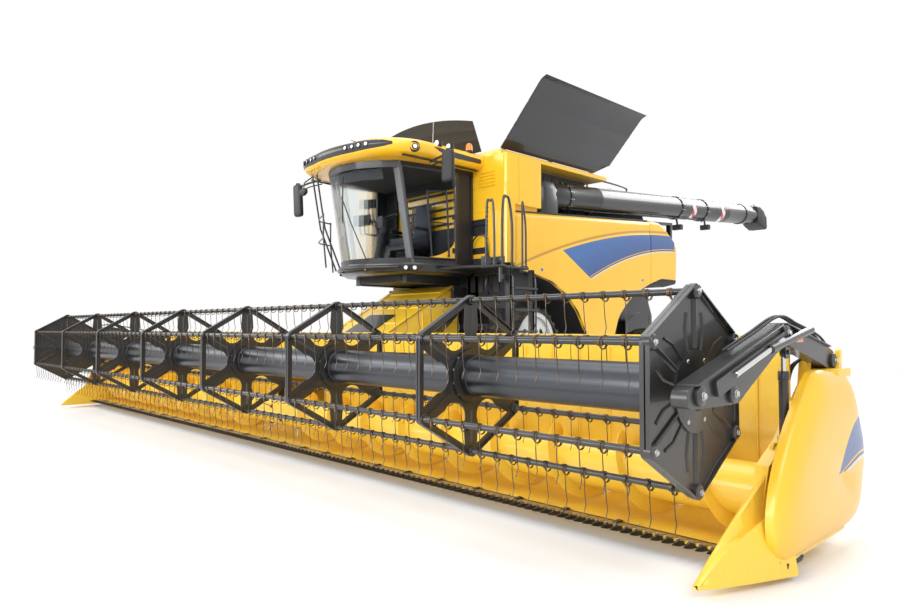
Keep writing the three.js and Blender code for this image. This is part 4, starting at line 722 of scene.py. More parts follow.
def strip(shape, line, axis_from, axis_to, thick, centre):
    """A thin strip that follows a closed outline across X."""
    inner = [(centre[0] + (y - centre[0]) * thick, centre[1] + (z - centre[1]) * thick) for y, z in line]
    rings = [[(axis_from, *p) for p in line], [(axis_to, *p) for p in line],
             [(axis_to, *p) for p in inner], [(axis_from, *p) for p in inner]]
    return shape.rings(rings, closed=True)


def spider(shape, x, thickness=0.008):
    holes = [window(turn + 1 / 12) for turn in BAR_TURNS]
    shape.use(0).cut_plate(rounded(corners, 0.03), holes, "x", x - thickness / 2, x + thickness / 2)
    strip(shape, rounded(corners, 0.03), x - 0.022, x + 0.022, 0.985, (REEL_Y, REEL_Z))
    shape.turned([(0.151, -0.03), (0.2, -0.03), (0.2, -0.018), (0.165, -0.012), (0.165, 0.012),
        (0.2, 0.018), (0.2, 0.03), (0.151, 0.03)],
                 (x, REEL_Y, REEL_Z), "x", 32, closed=True)
    for turn in BAR_TURNS:
        shape.use(0).turned([(0.0215, -0.03), (0.034, -0.03), (0.038, -0.02), (0.038, 0.02), (0.034, 0.03),
            (0.0215, 0.03)],
                            (x, *reel_at(BAR_CIRCLE, turn)), "x", 16, closed=True)
        for lean in (-0.03, 0.03):
            shape.use(2).bolt((x + 0.004, *reel_at(0.182, turn + lean * 1.4)), "x", 0.012)
            shape.bolt((x - 0.004, *reel_at(0.182, turn + lean * 1.4)), "x", 0.012, -1)
        # a pressed rib along each arm
        a, b = reel_at(0.26, turn), reel_at(0.5, turn)
        shape.use(0).tube([(x + 0.004, *a), (x + 0.004, *b)], 0.012, 8, flat=0.6)
        shape.tube([(x - 0.004, *a), (x - 0.004, *b)], 0.012, 8, flat=0.6)


# %% [markdown]
# ### The closed end plates
# The outermost plates are whole. Their presses show as a raised edge fold, ribs that run out from the hub
# to each corner, and bent ribs that bound a shallow field between them. Bright bolts ring the hub.

# %% End plates
def end_plate(shape, x, side):
    shape.use(0).plate(rounded(corners, 0.03), "x", x - 0.004, x + 0.004)
    strip(shape, rounded(corners, 0.03), x - 0.03, x + 0.03, 0.985, (REEL_Y, REEL_Z))
    face = x + side * 0.004
    for turn in BAR_TURNS:
        middle = turn + 1 / 12
        for near, far, t0, t1 in ((0.24, 0.53, 0.0, 0.0),):
            shape.use(0).tube([(face, *reel_at(near, turn + t0)), (face, *reel_at(far, turn + t1))], 0.02,
                8, flat=0.6)
        for s in (-1, 1):
            bend = [reel_at(0.23, middle + s * 0.03), reel_at(0.36, middle + s * 0.036),
                reel_at(0.45, turn + 1 / 12 + s * 0.052)]
            shape.tube([(face, *p) for p in bend], 0.011, 8, flat=0.7)
        edge = [reel_at(0.565, turn + 0.02), reel_at(0.565 * 0.905, middle),
            reel_at(0.565, turn + 1 / 6 - 0.02)]
        shape.tube([(face, *p) for p in edge], 0.008, 8, flat=0.8)
        shape.turned([(0.0215, -0.01), (0.045, -0.01), (0.045, 0.03), (0.036, 0.038), (0.0215, 0.038)],
                     (x, *reel_at(BAR_CIRCLE, turn)), "x", 20, side, closed=True)
        shape.use(2).bolt((x + side * 0.038, *reel_at(BAR_CIRCLE, turn)), "x", 0.015, side)
        shape.bolt((face, *reel_at(0.19, middle)), "x", 0.017, side)
        shape.bolt((face, *reel_at(0.145, turn)), "x", 0.013, side)
    shape.use(0).turned([(0.0, 0.0), (0.235, 0.0), (0.235, 0.012), (0.11, 0.02), (0.1, 0.05),
        (0.062, 0.055), (0.062, 0.1)],
                        (face, REEL_Y, REEL_Z), "x", 40, side)


rotor = Shape()
for k, x in enumerate(SPIDER_X):
    if 0 < k < BAYS:
        spider(rotor, x)
    else:
        end_plate(rotor, x, 1 if x > 0 else -1)
rotor.use(1)
for left, right in zip(SPIDER_X, SPIDER_X[1:]):
    seam = [(0.15, left + 0.004), (0.15, left + 0.06), (0.154, left + 0.062), (0.154, left + 0.09),
        (0.15, left + 0.092),
            (0.15, right - 0.092), (0.154, right - 0.09), (0.154, right - 0.062), (0.15, right - 0.06),
                (0.15, right - 0.004)]
    rotor.turned(seam, (0, REEL_Y, REEL_Z), "x", 40)
rotor.use(2).turned([(0.045, -6.268), (0.045, 6.268)], (0, REEL_Y, REEL_Z), "x", 20)
piece("reel_drum", rotor, "reel", [frame_grey, dark_steel, steel], ["reel_rotor"])
print("reel drum", len(rotor.faces), "faces")

# %% [markdown]
# ### Bars and spring tines
# Each tine is one wire: two coils round the bar, then a straight leg down, then a kink towards the front
# that combs the crop. The coils are a short helix, so a tine is one swept path. One bar holds about eighty
# of them.

# %% Bars with tines
TINE_PITCH = 0.152
TINE_WIRE = 0.0032


def tine_path(x, y, z):
    """Two coils round the bar, the leg, and the kink at its end."""
    path = []
    for k in range(21):
        a = TAU * (0.45 + 2.0 * k / 20)
        path.append((x + 0.016 * (k / 20 - 0.5), y + 0.031 * math.cos(a), z - 0.012 + 0.031 * math.sin(a)))
    path += [(x + 0.008, y - 0.03, z - 0.07), (x + 0.008, y - 0.024, z - 0.15),
        (x + 0.008, y - 0.012, z - 0.205),
             (x + 0.008, y - 0.034, z - 0.258)]
    return path


for number, turn in enumerate(BAR_TURNS, start=1):
    y, z = reel_at(BAR_CIRCLE, turn)
    bar = Shape()
    bar.use(0).turned([(0.0, -REEL_HALF - 0.014), (0.014, -REEL_HALF - 0.014), (0.02, -REEL_HALF - 0.008),
        (0.02, REEL_HALF + 0.008),
                       (0.014, REEL_HALF + 0.014), (0.0, REEL_HALF + 0.014)], (0, y, z), "x", 16)
    count = 0
    for left, right in zip(SPIDER_X, SPIDER_X[1:]):
        per_bay = int((right - left - 0.16) / TINE_PITCH)
        start = (left + right) / 2 - per_bay * TINE_PITCH / 2
        for k in range(per_bay + 1):
            x = start + k * TINE_PITCH
            sway = random.uniform(-0.004, 0.004)
            bar.use(1).tube([(px + sway * (z - pz) * 6, py, pz) for px, py, pz in tine_path(x, y, z)],
                TINE_WIRE, 5)
            bar.use(2).turned([(0.021, -0.012), (0.026, -0.012), (0.026, 0.012), (0.021, 0.012)],
                (x - 0.022, y, z), "x", 10, closed=True)
            count += 1
    piece(f"tine_bar_with_tines_{number}", bar, f"tine_bar_{number}", [frame_grey, spring, spring],
        [f"tine_bar_{number}"], smooth=50)
print("six bars,", count, "tines each")

# %% [markdown]
# ## The arms that carry the reel
# Each end of the reel hangs from a bent box arm. On its outside runs the slide that moves the reel forward,
# and beside it the pipes. A chrome rod under the arm lifts it.

# %% Reel arms
ARM_OUT, ARM_IN = 6.36, 6.27
ARM_SIDE = [(-2.37, 1.2), (-2.37, 1.32), (-2.56, 1.38), (-3.27, 1.52), (-3.33, 1.52), (-4.5, 1.206),
    (-4.57, 1.18), (-4.575, 1.1),
            (-4.52, 1.085), (-4.16, 1.078), (-3.98, 1.078), (-3.9, 1.12), (-3.3, 1.4), (-2.6, 1.235),
                (-2.49, 1.2)]
for name, side in SIDES:
    arm = Shape()
    arm.use(0).plate(rounded(ARM_SIDE, 0.05), "x", side * ARM_IN, side * ARM_OUT)
    # a folded flange along the arm's top and the slide's channel on its face
    arm.plate([(-3.36, 1.515), (-4.5, 1.209), (-4.5, 1.2), (-3.36, 1.506)], "x", side * (ARM_IN - 0.004),
        side * (ARM_OUT + 0.02))
    arm.plate([(-2.5, 1.37), (-3.3, 1.524), (-3.3, 1.515), (-2.5, 1.36)], "x", side * (ARM_IN - 0.004),
        side * (ARM_OUT + 0.02))
    arm.plate(rounded([(-3.35, 1.47), (-4.3, 1.215), (-4.27, 1.13), (-3.33, 1.385)], 0.02), "x",
        side * ARM_OUT, side * (ARM_OUT + 0.022))
    arm.use(1).tube([(side * (ARM_OUT + 0.035), -3.42, 1.42), (side * (ARM_OUT + 0.035), -4.1, 1.24)],
        0.016, 12)
    arm.use(0).tube([(side * (ARM_OUT + 0.035), -2.95, 1.48), (side * (ARM_OUT + 0.035), -3.62, 1.367)],
        0.026, 12)
    # pipes that are clipped along the arm
    for lift in (0.0, 0.028):
        pipe = [(side * (ARM_IN + 0.03 + lift), y, z + 0.02) for y,
            z in ((-2.4, 1.33), (-2.6, 1.42), (-3.0, 1.5), (-3.3, 1.545), (-3.7, 1.44), (-4.05, 1.345))]
        arm.use(3).tube(smooth_path(pipe, 6), 0.009, 8)
    for y, z in ((-2.43, 1.26), (-3.3, 1.46), (REEL_Y, REEL_Z), (-4.45, 1.15)):
        arm.use(0).turned([(0.0, 0.0), (0.052, 0.0), (0.052, 0.018), (0.03, 0.024), (0.0, 0.024)],
            (side * ARM_OUT, y, z), "x", 20, side)
        arm.use(2).bolt((side * (ARM_OUT + 0.024), y, z), "x", 0.017, side)
    arm.use(0).turned([(0.031, -0.005), (0.036, -0.005), (0.036, 0.0)], (side * ARM_IN, -2.43, 1.26), "x",
        20, side)
    arm.use(0).turned([(0.0, -0.02), (0.075, -0.02), (0.075, 0.0)], (side * ARM_IN, REEL_Y, REEL_Z), "x",
        28, side)
    # the lug that the lift rod pushes on
    arm.use(0).plate(rounded([(-3.25, 1.44), (-3.25, 1.31), (-3.215, 1.295), (-3.17, 1.31), (-3.17, 1.44)],
        0.02), "x", side * 6.332, side * 6.345)
    arm.use(4).block((min(side * 6.362, side * 6.366), -3.12, 1.4),
        (max(side * 6.362, side * 6.366), -3.0, 1.44))
    piece(f"reel_arm_skin_{name}", arm, "reel_arms", [frame_grey, chrome, steel, plastic, amber],
        [f"reel_arm_{name}"], bevel=0.003)
print("reel arms ready")

# %% Lift rods of the reel
for name, side in SIDES:
    x, y = side * 6.315, -3.21
    barrel = Shape()
    barrel.use(0).turned([(0.0, 0.0), (0.028, 0.0), (0.03, 0.01), (0.03, 0.46), (0.034, 0.465),
        (0.034, 0.51), (0.03, 0.52), (0.019, 0.52), (0.017, 0.5),
                          (0.017, 0.045), (0.0, 0.045)], (x, y, 0.70), "z", 24)
    barrel.tube([(side * 6.246, y, 0.70), (x, y, 0.70)], 0.016, 12)
    barrel.use(1).turned([(0.0, 0), (0.012, 0.0), (0.012, 0.03), (0.0, 0.03)],
        (x - side * 0.02, y - 0.032, 0.78), "z", 10)
    piece(f"reel_lift_barrel_{name}", barrel, f"reel_barrel_{name}", [black, steel],
        [f"reel_barrel_{name}"])
    stem = Shape()
    stem.use(0).turned([(0.0, 0.125), (0.0155, 0.125), (0.0155, 0.61), (0.0, 0.61)], (x, y, 0.70), "z", 24)
    stem.use(1).turned([(0.0, -0.012), (0.03, -0.012), (0.03, 0.012), (0.0, 0.012)], (x, y, 1.34), "x", 24)
    stem.turned([(0.0, 0.0), (0.0135, 0.0), (0.0135, 0.04), (0.0, 0.04)], (x, y, 1.34), "x", 16, side)
    piece(f"reel_lift_rod_{name}", stem, f"reel_rod_{name}", [chrome, black], [f"reel_rod_{name}"])
print("reel lift rods ready")

# %% [markdown]
# ## The header: trough, auger and knife
# The floor rolls up into a trough round the intake auger and on into the back wall. One sheet does all of
# it, so one outline across X is enough. Beads are pressed into the wall every bay.

# %% Trough and back wall
HEADER_HALF = 6.22
WALL_Y, TROUGH_R, SHEET = -2.85, 0.31, 0.024
INTAKE_Y, INTAKE_Z = WALL_Y - TROUGH_R, 0.43
KNIFE_Y, KNIFE_Z = -3.51, INTAKE_Z - TROUGH_R
bend = arc((INTAKE_Y, INTAKE_Z), TROUGH_R, 0, -0.25, 24)
under = arc((INTAKE_Y, INTAKE_Z), TROUGH_R + SHEET, -0.25, 0, 24)
trough = Shape()
profile = [(WALL_Y, 1.44), *bend, (KNIFE_Y + 0.045, KNIFE_Z), (KNIFE_Y - 0.028, KNIFE_Z),
    (KNIFE_Y - 0.03, KNIFE_Z - SHEET), *under, (WALL_Y + SHEET, 1.44)]
MOUTH = 0.59
for start, end in ((-HEADER_HALF, -MOUTH), (MOUTH, HEADER_HALF)):
    trough.use(0).plate(profile, "x", start, end)
above = [(WALL_Y, 1.44), (WALL_Y, 0.9), (WALL_Y + SHEET, 0.9), (WALL_Y + SHEET, 1.44)]
trough.plate(above, "x", -MOUTH, MOUTH)
lip = math.asin((INTAKE_Z - 0.31) / TROUGH_R) / TAU
below_in = arc((INTAKE_Y, INTAKE_Z), TROUGH_R, -lip, -0.25, 12)
below_out = arc((INTAKE_Y, INTAKE_Z), TROUGH_R + SHEET, -0.25, -lip, 12)
trough.plate([*below_in, (KNIFE_Y + 0.045, KNIFE_Z), (KNIFE_Y - 0.028, KNIFE_Z),
    (KNIFE_Y - 0.03, KNIFE_Z - SHEET), *below_out], "x", -MOUTH, MOUTH)
# pressed beads, beams and posts
for k in range(-20, 21):
    x = k * 0.3
    if abs(x) > MOUTH + 0.12:
        trough.tube([(x, WALL_Y + 0.001, 0.56), (x, WALL_Y + 0.001, 1.33)], 0.011, 8, flat=1.6)
for y0, y1, z0, z1 in ((WALL_Y + 0.023, WALL_Y + 0.15, 1.31, 1.439),
        (WALL_Y + 0.023, WALL_Y + 0.105, 0.18, 0.29)):
    trough.plate(rounded([(y0, z0), (y1, z0), (y1, z1), (y0, z1)], 0.012), "x", -HEADER_HALF, HEADER_HALF)
for x in (0.9, 2.4, 3.9, 5.4):
    for _, side in SIDES:
        low, high = sorted((side * (x - 0.04), side * (x + 0.04)))
        trough.block((low, WALL_Y + 0.023, 0.289), (high, WALL_Y + 0.1, 1.311))
for x in [k * 0.6 for k in range(-10, 11)]:
    trough.use(1).bolt((x, WALL_Y, 1.385), "y", 0.011, -1)
    trough.use(1).bolt((x + 0.02, KNIFE_Y + 0.06, KNIFE_Z), "z", 0.009)
piece("header_trough", trough, "feeder", [header_yellow, steel], ["header_frame"],
    bevel=0.002)
print("trough ready")

# %% [markdown]
# ### The intake auger
# Two screws of opposite hand on one tube carry the crop to the middle. A flight is a ribbon that winds
# round the tube, so its rings are turned a little further at each step. Between the screws, steel fingers
# take over.

# %% Intake auger
TUBE_R, FLIGHT_R, PITCH = 0.18, 0.281, 0.62


def flight(shape, start, end, hand):
    turns = abs(end - start) / PITCH
    steps = int(turns * 28)
    rings = []
    for s in range(steps + 1):
        x = start + (end - start) * s / steps
        a = hand * TAU * turns * s / steps
        taper = min(1, s / 6, (steps - s) / 6)
        outer = TUBE_R + 0.002 + (FLIGHT_R - TUBE_R - 0.002) * max(0.15, taper)
        rings.append([(x + dx, INTAKE_Y + r * math.cos(a), INTAKE_Z + r * math.sin(a))
                      for r, dx in ((TUBE_R - 0.004, -0.004), (outer, -0.002), (outer, 0.002),
                              (TUBE_R - 0.004, 0.004))])
    return shape.rings(rings)


auger = Shape()
auger.use(0).turned([(0.04, -6.219), (0.04, -6.212), (TUBE_R, -6.212), (TUBE_R, 6.212), (0.04, 6.212),
    (0.04, 6.219)], (0, INTAKE_Y, INTAKE_Z), "x", 48)
flight(auger.use(0), -6.19, -0.62, 1)
flight(auger.use(0), 6.19, 0.62, -1)
for k in range(16):
    a, x = TAU * k * 0.382, -0.52 + 1.04 * k / 15
    foot = (x, INTAKE_Y + 0.16 * math.cos(a), INTAKE_Z + 0.16 * math.sin(a))
    tip = (x, INTAKE_Y + 0.287 * math.cos(a), INTAKE_Z + 0.287 * math.sin(a))
    auger.use(1).tube([foot, tip], 0.008, 8)
    auger.use(2).turned([(0.0, 0.0), (0.026, 0.0), (0.018, 0.012), (0.0, 0.012)], (0, 0, 0), "z", 12)
    turn = Matrix.Translation((x, INTAKE_Y, INTAKE_Z)) @ Matrix.Rotation(a - TAU / 4, 4,
        "X") @ Matrix.Translation((0, 0, TUBE_R - 0.003))
    auger.moved(turn, len(auger.points) - 48)
piece("intake_screw", auger, "intake_auger", [header_yellow, steel, plastic], ["intake_auger"],
    smooth=50)
print("intake auger", len(auger.faces), "faces")

# %% [markdown]
# ### The knife and its guards
# A bar of triangular sections slides to and fro through a row of pointed guards. The sections belong to the
# knife's body. The guards are forged fingers bolted under the floor's front edge, so they ride with the
# header.

# %% Knife and guards
KNIFE_PITCH = 0.0762
STROKE = 0.038
teeth = Shape()
blade = [(-KNIFE_PITCH / 2 + 0.002, 0), (KNIFE_PITCH / 2 - 0.002, 0), (KNIFE_PITCH / 2 - 0.002, -0.022),
    (0.008, -0.072), (-0.008, -0.072), (-KNIFE_PITCH / 2 + 0.002, -0.022)]
knife_reach = HEADER_HALF - STROKE - 0.012
count = int(2 * knife_reach / KNIFE_PITCH)
for k in range(count):
    x = -count * KNIFE_PITCH / 2 + (k + 0.5) * KNIFE_PITCH
    teeth.use(1).plate([(x + dx, KNIFE_Y - 0.008 + dy) for dx, dy in blade], "z", KNIFE_Z + 0.0045,
        KNIFE_Z + 0.0075)
teeth.use(0).block((-knife_reach, KNIFE_Y - 0.025, KNIFE_Z + 0.0006),
    (knife_reach, KNIFE_Y + 0.028, KNIFE_Z + 0.0046))
for k in range(count):
    x = -count * KNIFE_PITCH / 2 + (k + 0.5) * KNIFE_PITCH
    teeth.use(0).turned([(0.0, 0.0), (0.006, 0.0), (0.004, 0.0035), (0.0, 0.004)],
        (x, KNIFE_Y - 0.002, KNIFE_Z + 0.0046), "z", 6)
piece("knife_sections", teeth, "knife", [knife_steel, steel], ["knife"])

guards = Shape()


def finger(shape, x):
    """A forged guard: a flat root, a waist and a long point."""
    rings = []
    for y, half, low, high in ((0.028, 0.02, -0.033, -0.0265), (-0.012, 0.022, -0.034, -0.0265),
            (-0.03, 0.017, -0.036, -0.01), (-0.06, 0.013, -0.034, -0.004),
                               (-0.1, 0.011, -0.028, 0.004), (-0.14, 0.006, -0.018, 0.001),
                                   (-0.168, 0.0015, -0.009, -0.006)):
        rings.append([(x - half, KNIFE_Y + y, KNIFE_Z + low), (x + half, KNIFE_Y + y, KNIFE_Z + low),
                      (x + half * 0.7, KNIFE_Y + y, KNIFE_Z + high),
                          (x - half * 0.7, KNIFE_Y + y, KNIFE_Z + high)])
    shape.rings(rings)


number_of_guards = int(2 * (HEADER_HALF - 0.06) / KNIFE_PITCH)
for k in range(number_of_guards):
    x = -number_of_guards * KNIFE_PITCH / 2 + (k + 0.5) * KNIFE_PITCH
    finger(guards, x)
    # the hold-down lip over the knife
    guards.plate([(KNIFE_Y - 0.118, KNIFE_Z - 0.001), (KNIFE_Y - 0.092, KNIFE_Z + 0.016),
        (KNIFE_Y - 0.08, KNIFE_Z + 0.012), (KNIFE_Y - 0.1, KNIFE_Z - 0.004)], "x", x - 0.008, x + 0.008)
for k in range(1, number_of_guards // 6):
    x = -number_of_guards * KNIFE_PITCH / 2 + 6 * k * KNIFE_PITCH
    clip = [(KNIFE_Y + 0.05, KNIFE_Z + 0.001), (KNIFE_Y + 0.02, KNIFE_Z + 0.02),
        (KNIFE_Y - 0.05, KNIFE_Z + 0.017), (KNIFE_Y - 0.052, KNIFE_Z + 0.0105),
        (KNIFE_Y + 0.03, KNIFE_Z + 0.0105), (KNIFE_Y + 0.05, KNIFE_Z + 0.004)]
    guards.plate(clip, "x", x - 0.016, x + 0.016)
piece("knife_guards", guards, "feeder", [knife_steel], (), smooth=30)
print("knife", count, "sections,", number_of_guards, "guards")

# %% [markdown]
# ## Body sheets
# The side panels are pressed sheets. Seen from the front each one bulges a little, rolls over softly at its
# top and turns in at its edges. So a sheet is a row of columns: each column runs from the lower edge to the
# upper edge on the outside and comes back on the inside, and only the roll at the edges makes it look like
# metal.

# %% Rolled sheets
EDGE_STEPS = (0, 0.004, 0.011, 0.021, 0.034)


def read(table, value):
    """Linear reading of a table of (place, value) pairs."""
    for (a, va), (b, vb) in zip(table, table[1:]):
        if value <= b:
            return va + (vb - va) * max(0.0, value - a) / (b - a)
    return table[-1][1]


def soft_read(table, value, width=0.12):
    return sum(read(table, value + width * k / 3) for k in range(-3, 4)) / 7


def steps_between(low, high, count, roll=0.0):
    """Places from low to high, close together at both ends, where the sheet rolls over."""
    top_steps = [max(s, roll * k / 5) for k, s in enumerate(EDGE_STEPS)] + ([roll] if roll else [])
    first, last = low + EDGE_STEPS[-1], high - top_steps[-1]
    middle = [first + (last - first) * k / count for k in range(1, count)]
    return [low + s for s in EDGE_STEPS] + middle + [high - s for s in reversed(top_steps)]


def drop(distance, radius):
    """How far a rolled edge has fallen back at a distance from the edge."""
    short = max(0.0, radius - distance)
    return radius - math.sqrt(max(0.0, radius * radius - short * short))


def sheet(shape, columns, outside, inside):
    """A closed sheet from columns of (outer point, inner point) pairs."""
    height = len(columns[0])
    rings = [[outer for outer, _ in column] + [inner for _, inner in reversed(column)]
        for column in columns]
    first = len(shape.marks)
    shape.use(outside).rings(rings)
    for f in range(first, len(shape.marks)):
        k = (f - first) % (2 * height)
        if height <= k < 2 * height - 1 and f < first + 2 * height * (len(rings) - 1):
            shape.marks[f] = inside
    return shape


# %% [markdown]
# ### The side panels
# One outline has to clear the track in front and the steered wheel behind, which leaves the leg between
# them. A black rubber lip seals the arch edge. The blue band is part of the paint, so it follows the bulge.

# %% Side panels
SIDE_SECTION = [(1.0, 1.59), (1.4, 1.618), (2.0, 1.642), (2.6, 1.65), (3.0, 1.648), (3.25, 1.64),
    (3.5, 1.628)]
PANEL_FRONT, PANEL_SEAM = -0.345, 3.394
PANEL_LOW = [(PANEL_FRONT, 2.33), (0.05, 2.29), (0.51, 2.19), (0.89, 2.0), (1.19, 1.75), (1.42, 1.43),
    (1.5, 1.12), (2.18, 1.12),
             (2.26, 1.43), (2.35, 1.67), (2.56, 1.87), (2.84, 2.08), (PANEL_SEAM, 2.29)]
SHEET_THICK = 0.03
TOP_ROLL = 0.1


def panel_top(y):
    return 3.18 + 0.0714 * (y + 0.345)


def panel_columns(side):
    columns = []
    places = sorted({*steps_between(PANEL_FRONT, PANEL_SEAM, 64), 1.42, 1.46, 1.5, 2.18, 2.22, 2.26})
    for y in places:
        low, high = read(PANEL_LOW, y), panel_top(y)
        column = []
        for z in steps_between(low, high, 34, TOP_ROLL):
            edge = min(y - PANEL_FRONT, PANEL_SEAM - y, z - low)
            fall = max(drop(edge, 0.03), drop(high - z, TOP_ROLL))
            # a soft shoulder above the band, and a hollow where the arch starts
            crown = 0.012 * math.exp(-((z - (3.28 - 0.04 * (4.4 - y) ** 2)) / 0.05) ** 2)
            x = soft_read(SIDE_SECTION, z) - fall - crown
            column.append(((side * x, y, z), (side * (x - SHEET_THICK), y, z)))
        columns.append(column)
    return columns


for name, side in SIDES:
    panel = sheet(Shape(), panel_columns(side), 0, 1)
    arch = [(y, z) for y, z in PANEL_LOW if y < 1.51], [(y, z) for y, z in PANEL_LOW if y > 2.17]
    for edge in arch:
        line = [(side * (read(SIDE_SECTION, z) - 0.024), y, z + 0.004) for y,
            z in smooth_path([Vector(p) for p in edge], 6)]
        panel.use(1).tube(line, 0.014, 8)
    for y, z in ((0.25, 2.36), (1.84, 1.2), (3.1, 2.34)):
        x = soft_read(SIDE_SECTION, z)
        panel.use(2).turned([(0.0, -0.002), (0.03, -0.002), (0.032, 0.004), (0.026, 0.008), (0.02, 0.004),
            (0.0, 0.004)], (side * x, y, z), "x", 24, side)
        panel.use(1).block((min(side * (x - 0.002), side * (x + 0.009)), y - 0.004, z - 0.018),
            (max(side * (x - 0.002), side * (x + 0.009)), y + 0.004, z + 0.018))
    # the hinge rail behind the top edge and two stiffening channels inside
    rail = [(side * 1.6, y, panel_top(y) - 0.012) for y in (PANEL_FRONT + 0.06, PANEL_SEAM - 0.06)]
    panel.use(1).tube(rail, 0.013, 12)
    for y in (0.9, 2.7):
        low, high = sorted((side * 1.575, side * 1.6))
        panel.block((low, y, 2.35), (high, y + 0.05, panel_top(y) - 0.14))
    piece(f"side_panel_skin_{name}", panel, f"panel_{name}", [striped_yellow, plastic, steel],
        [f"side_panel_{name}"], smooth=40)
print("side panels ready")

# %% [markdown]
# ### The rear shell
# It carries on the side panels' line, turns the corner and closes the machine's tail. Its columns follow a
# plan line with two rounded corners, and the upper edge slopes down to the rear.

# %% Rear shell
SHELL_LOW = [(3.4, 2.29), (3.8, 2.4), (4.5, 2.4)]
SHELL_TOP = [(3.4, 3.447), (3.74, 3.455), (3.95, 3.36), (4.2, 3.2), (4.36, 3.09), (4.49, 3.02)]
CORNER = 0.16


def tail_y(z):
    return 4.42 + 0.1 * (z - 2.4)


def shell_columns():
    plan = [(1, y, None) for y in steps_between(3.4, 4.26, 16)]
    plan += [(1, None, a) for a in range(8, 90, 8)]
    plan += [(x, None, None) for x in (1.44, 1.2, 0.9, 0.6, 0.3, 0.0)]
    plan += [(-s if s != 1 else -1, y, a) for s, y, a in reversed(plan[:-1])]
    columns = []
    for place, y, angle in plan:
        side = 1 if place > 0 else -1
        near = y if y is not None else 4.4
        low, high = read(SHELL_LOW, near), soft_read(SHELL_TOP, near, 0.08)
        column = []
        for z in steps_between(low, high, 22, 0.07):
            fall = max(drop(z - low, 0.03), drop(high - z, 0.07), drop(y - 3.4, 0.02) if y is not None
                else 0)
            side_x = soft_read(SIDE_SECTION, z)
            if y is not None:
                outer, normal = (side * side_x, y), (side, 0)
            elif angle is not None:
                a = math.radians(angle)
                depth = tail_y(z) - 4.26
                outer = (side * (side_x - CORNER + CORNER * math.cos(a)), 4.26 + depth * math.sin(a))
                normal = (side * math.cos(a), math.sin(a))
            else:
                outer, normal = (place, tail_y(z)), (0, 1)
            points = [(outer[0] - normal[0] * d, outer[1] - normal[1] * d, z) for d in (fall, fall + 0.026)]
            column.append(tuple(points))
        columns.append(column)
    return columns


shell = sheet(Shape(), shell_columns(), 0, 1)
# a recessed mesh and lamps in the tail, and the dark apron under it
for k in range(14):
    shell.use(1).block((-1.2, tail_y(2.9) - 0.004, 2.62 + k * 0.026),
        (1.2, tail_y(2.6) + 0.012, 2.632 + k * 0.026))
for _, side in SIDES:
    for k, mark in enumerate((2, 3)):
        shell.use(1).turned([(0.0, -0.02), (0.062, -0.02), (0.062, 0.016), (0.054, 0.016), (0.054, 0.004),
            (0.0, 0.004)],
                            (side * 1.38, tail_y(2.6 + 0.16 * k) + 0.002, 2.6 + 0.16 * k), "y", 24)
        shell.use(mark).turned([(0.0, 0.0), (0.053, 0.0), (0.045, 0.01), (0.0, 0.012)],
            (side * 1.38, tail_y(2.6 + 0.16 * k) + 0.004, 2.6 + 0.16 * k), "y", 24)
shell.use(1).plate(rounded([(3.5, 2.3), (3.86, 2.405), (4.4, 2.405), (4.36, 2.33), (3.9, 2.25)], 0.03), "x",
    -1.6, 1.6)
piece("rear_shell_skin", shell, "machine", [striped_yellow, plastic, red_lens, amber], ["rear_shell"],
    smooth=40)
print("rear shell ready")

# %% [markdown]
# ## Towers, tank and covers
# Two towers stand behind the cab. The front of each has a pressed field of louvres, and the left one has
# two pockets for the hands of whoever climbs up to the deck. The tank sits between and behind them under a
# folded rim.

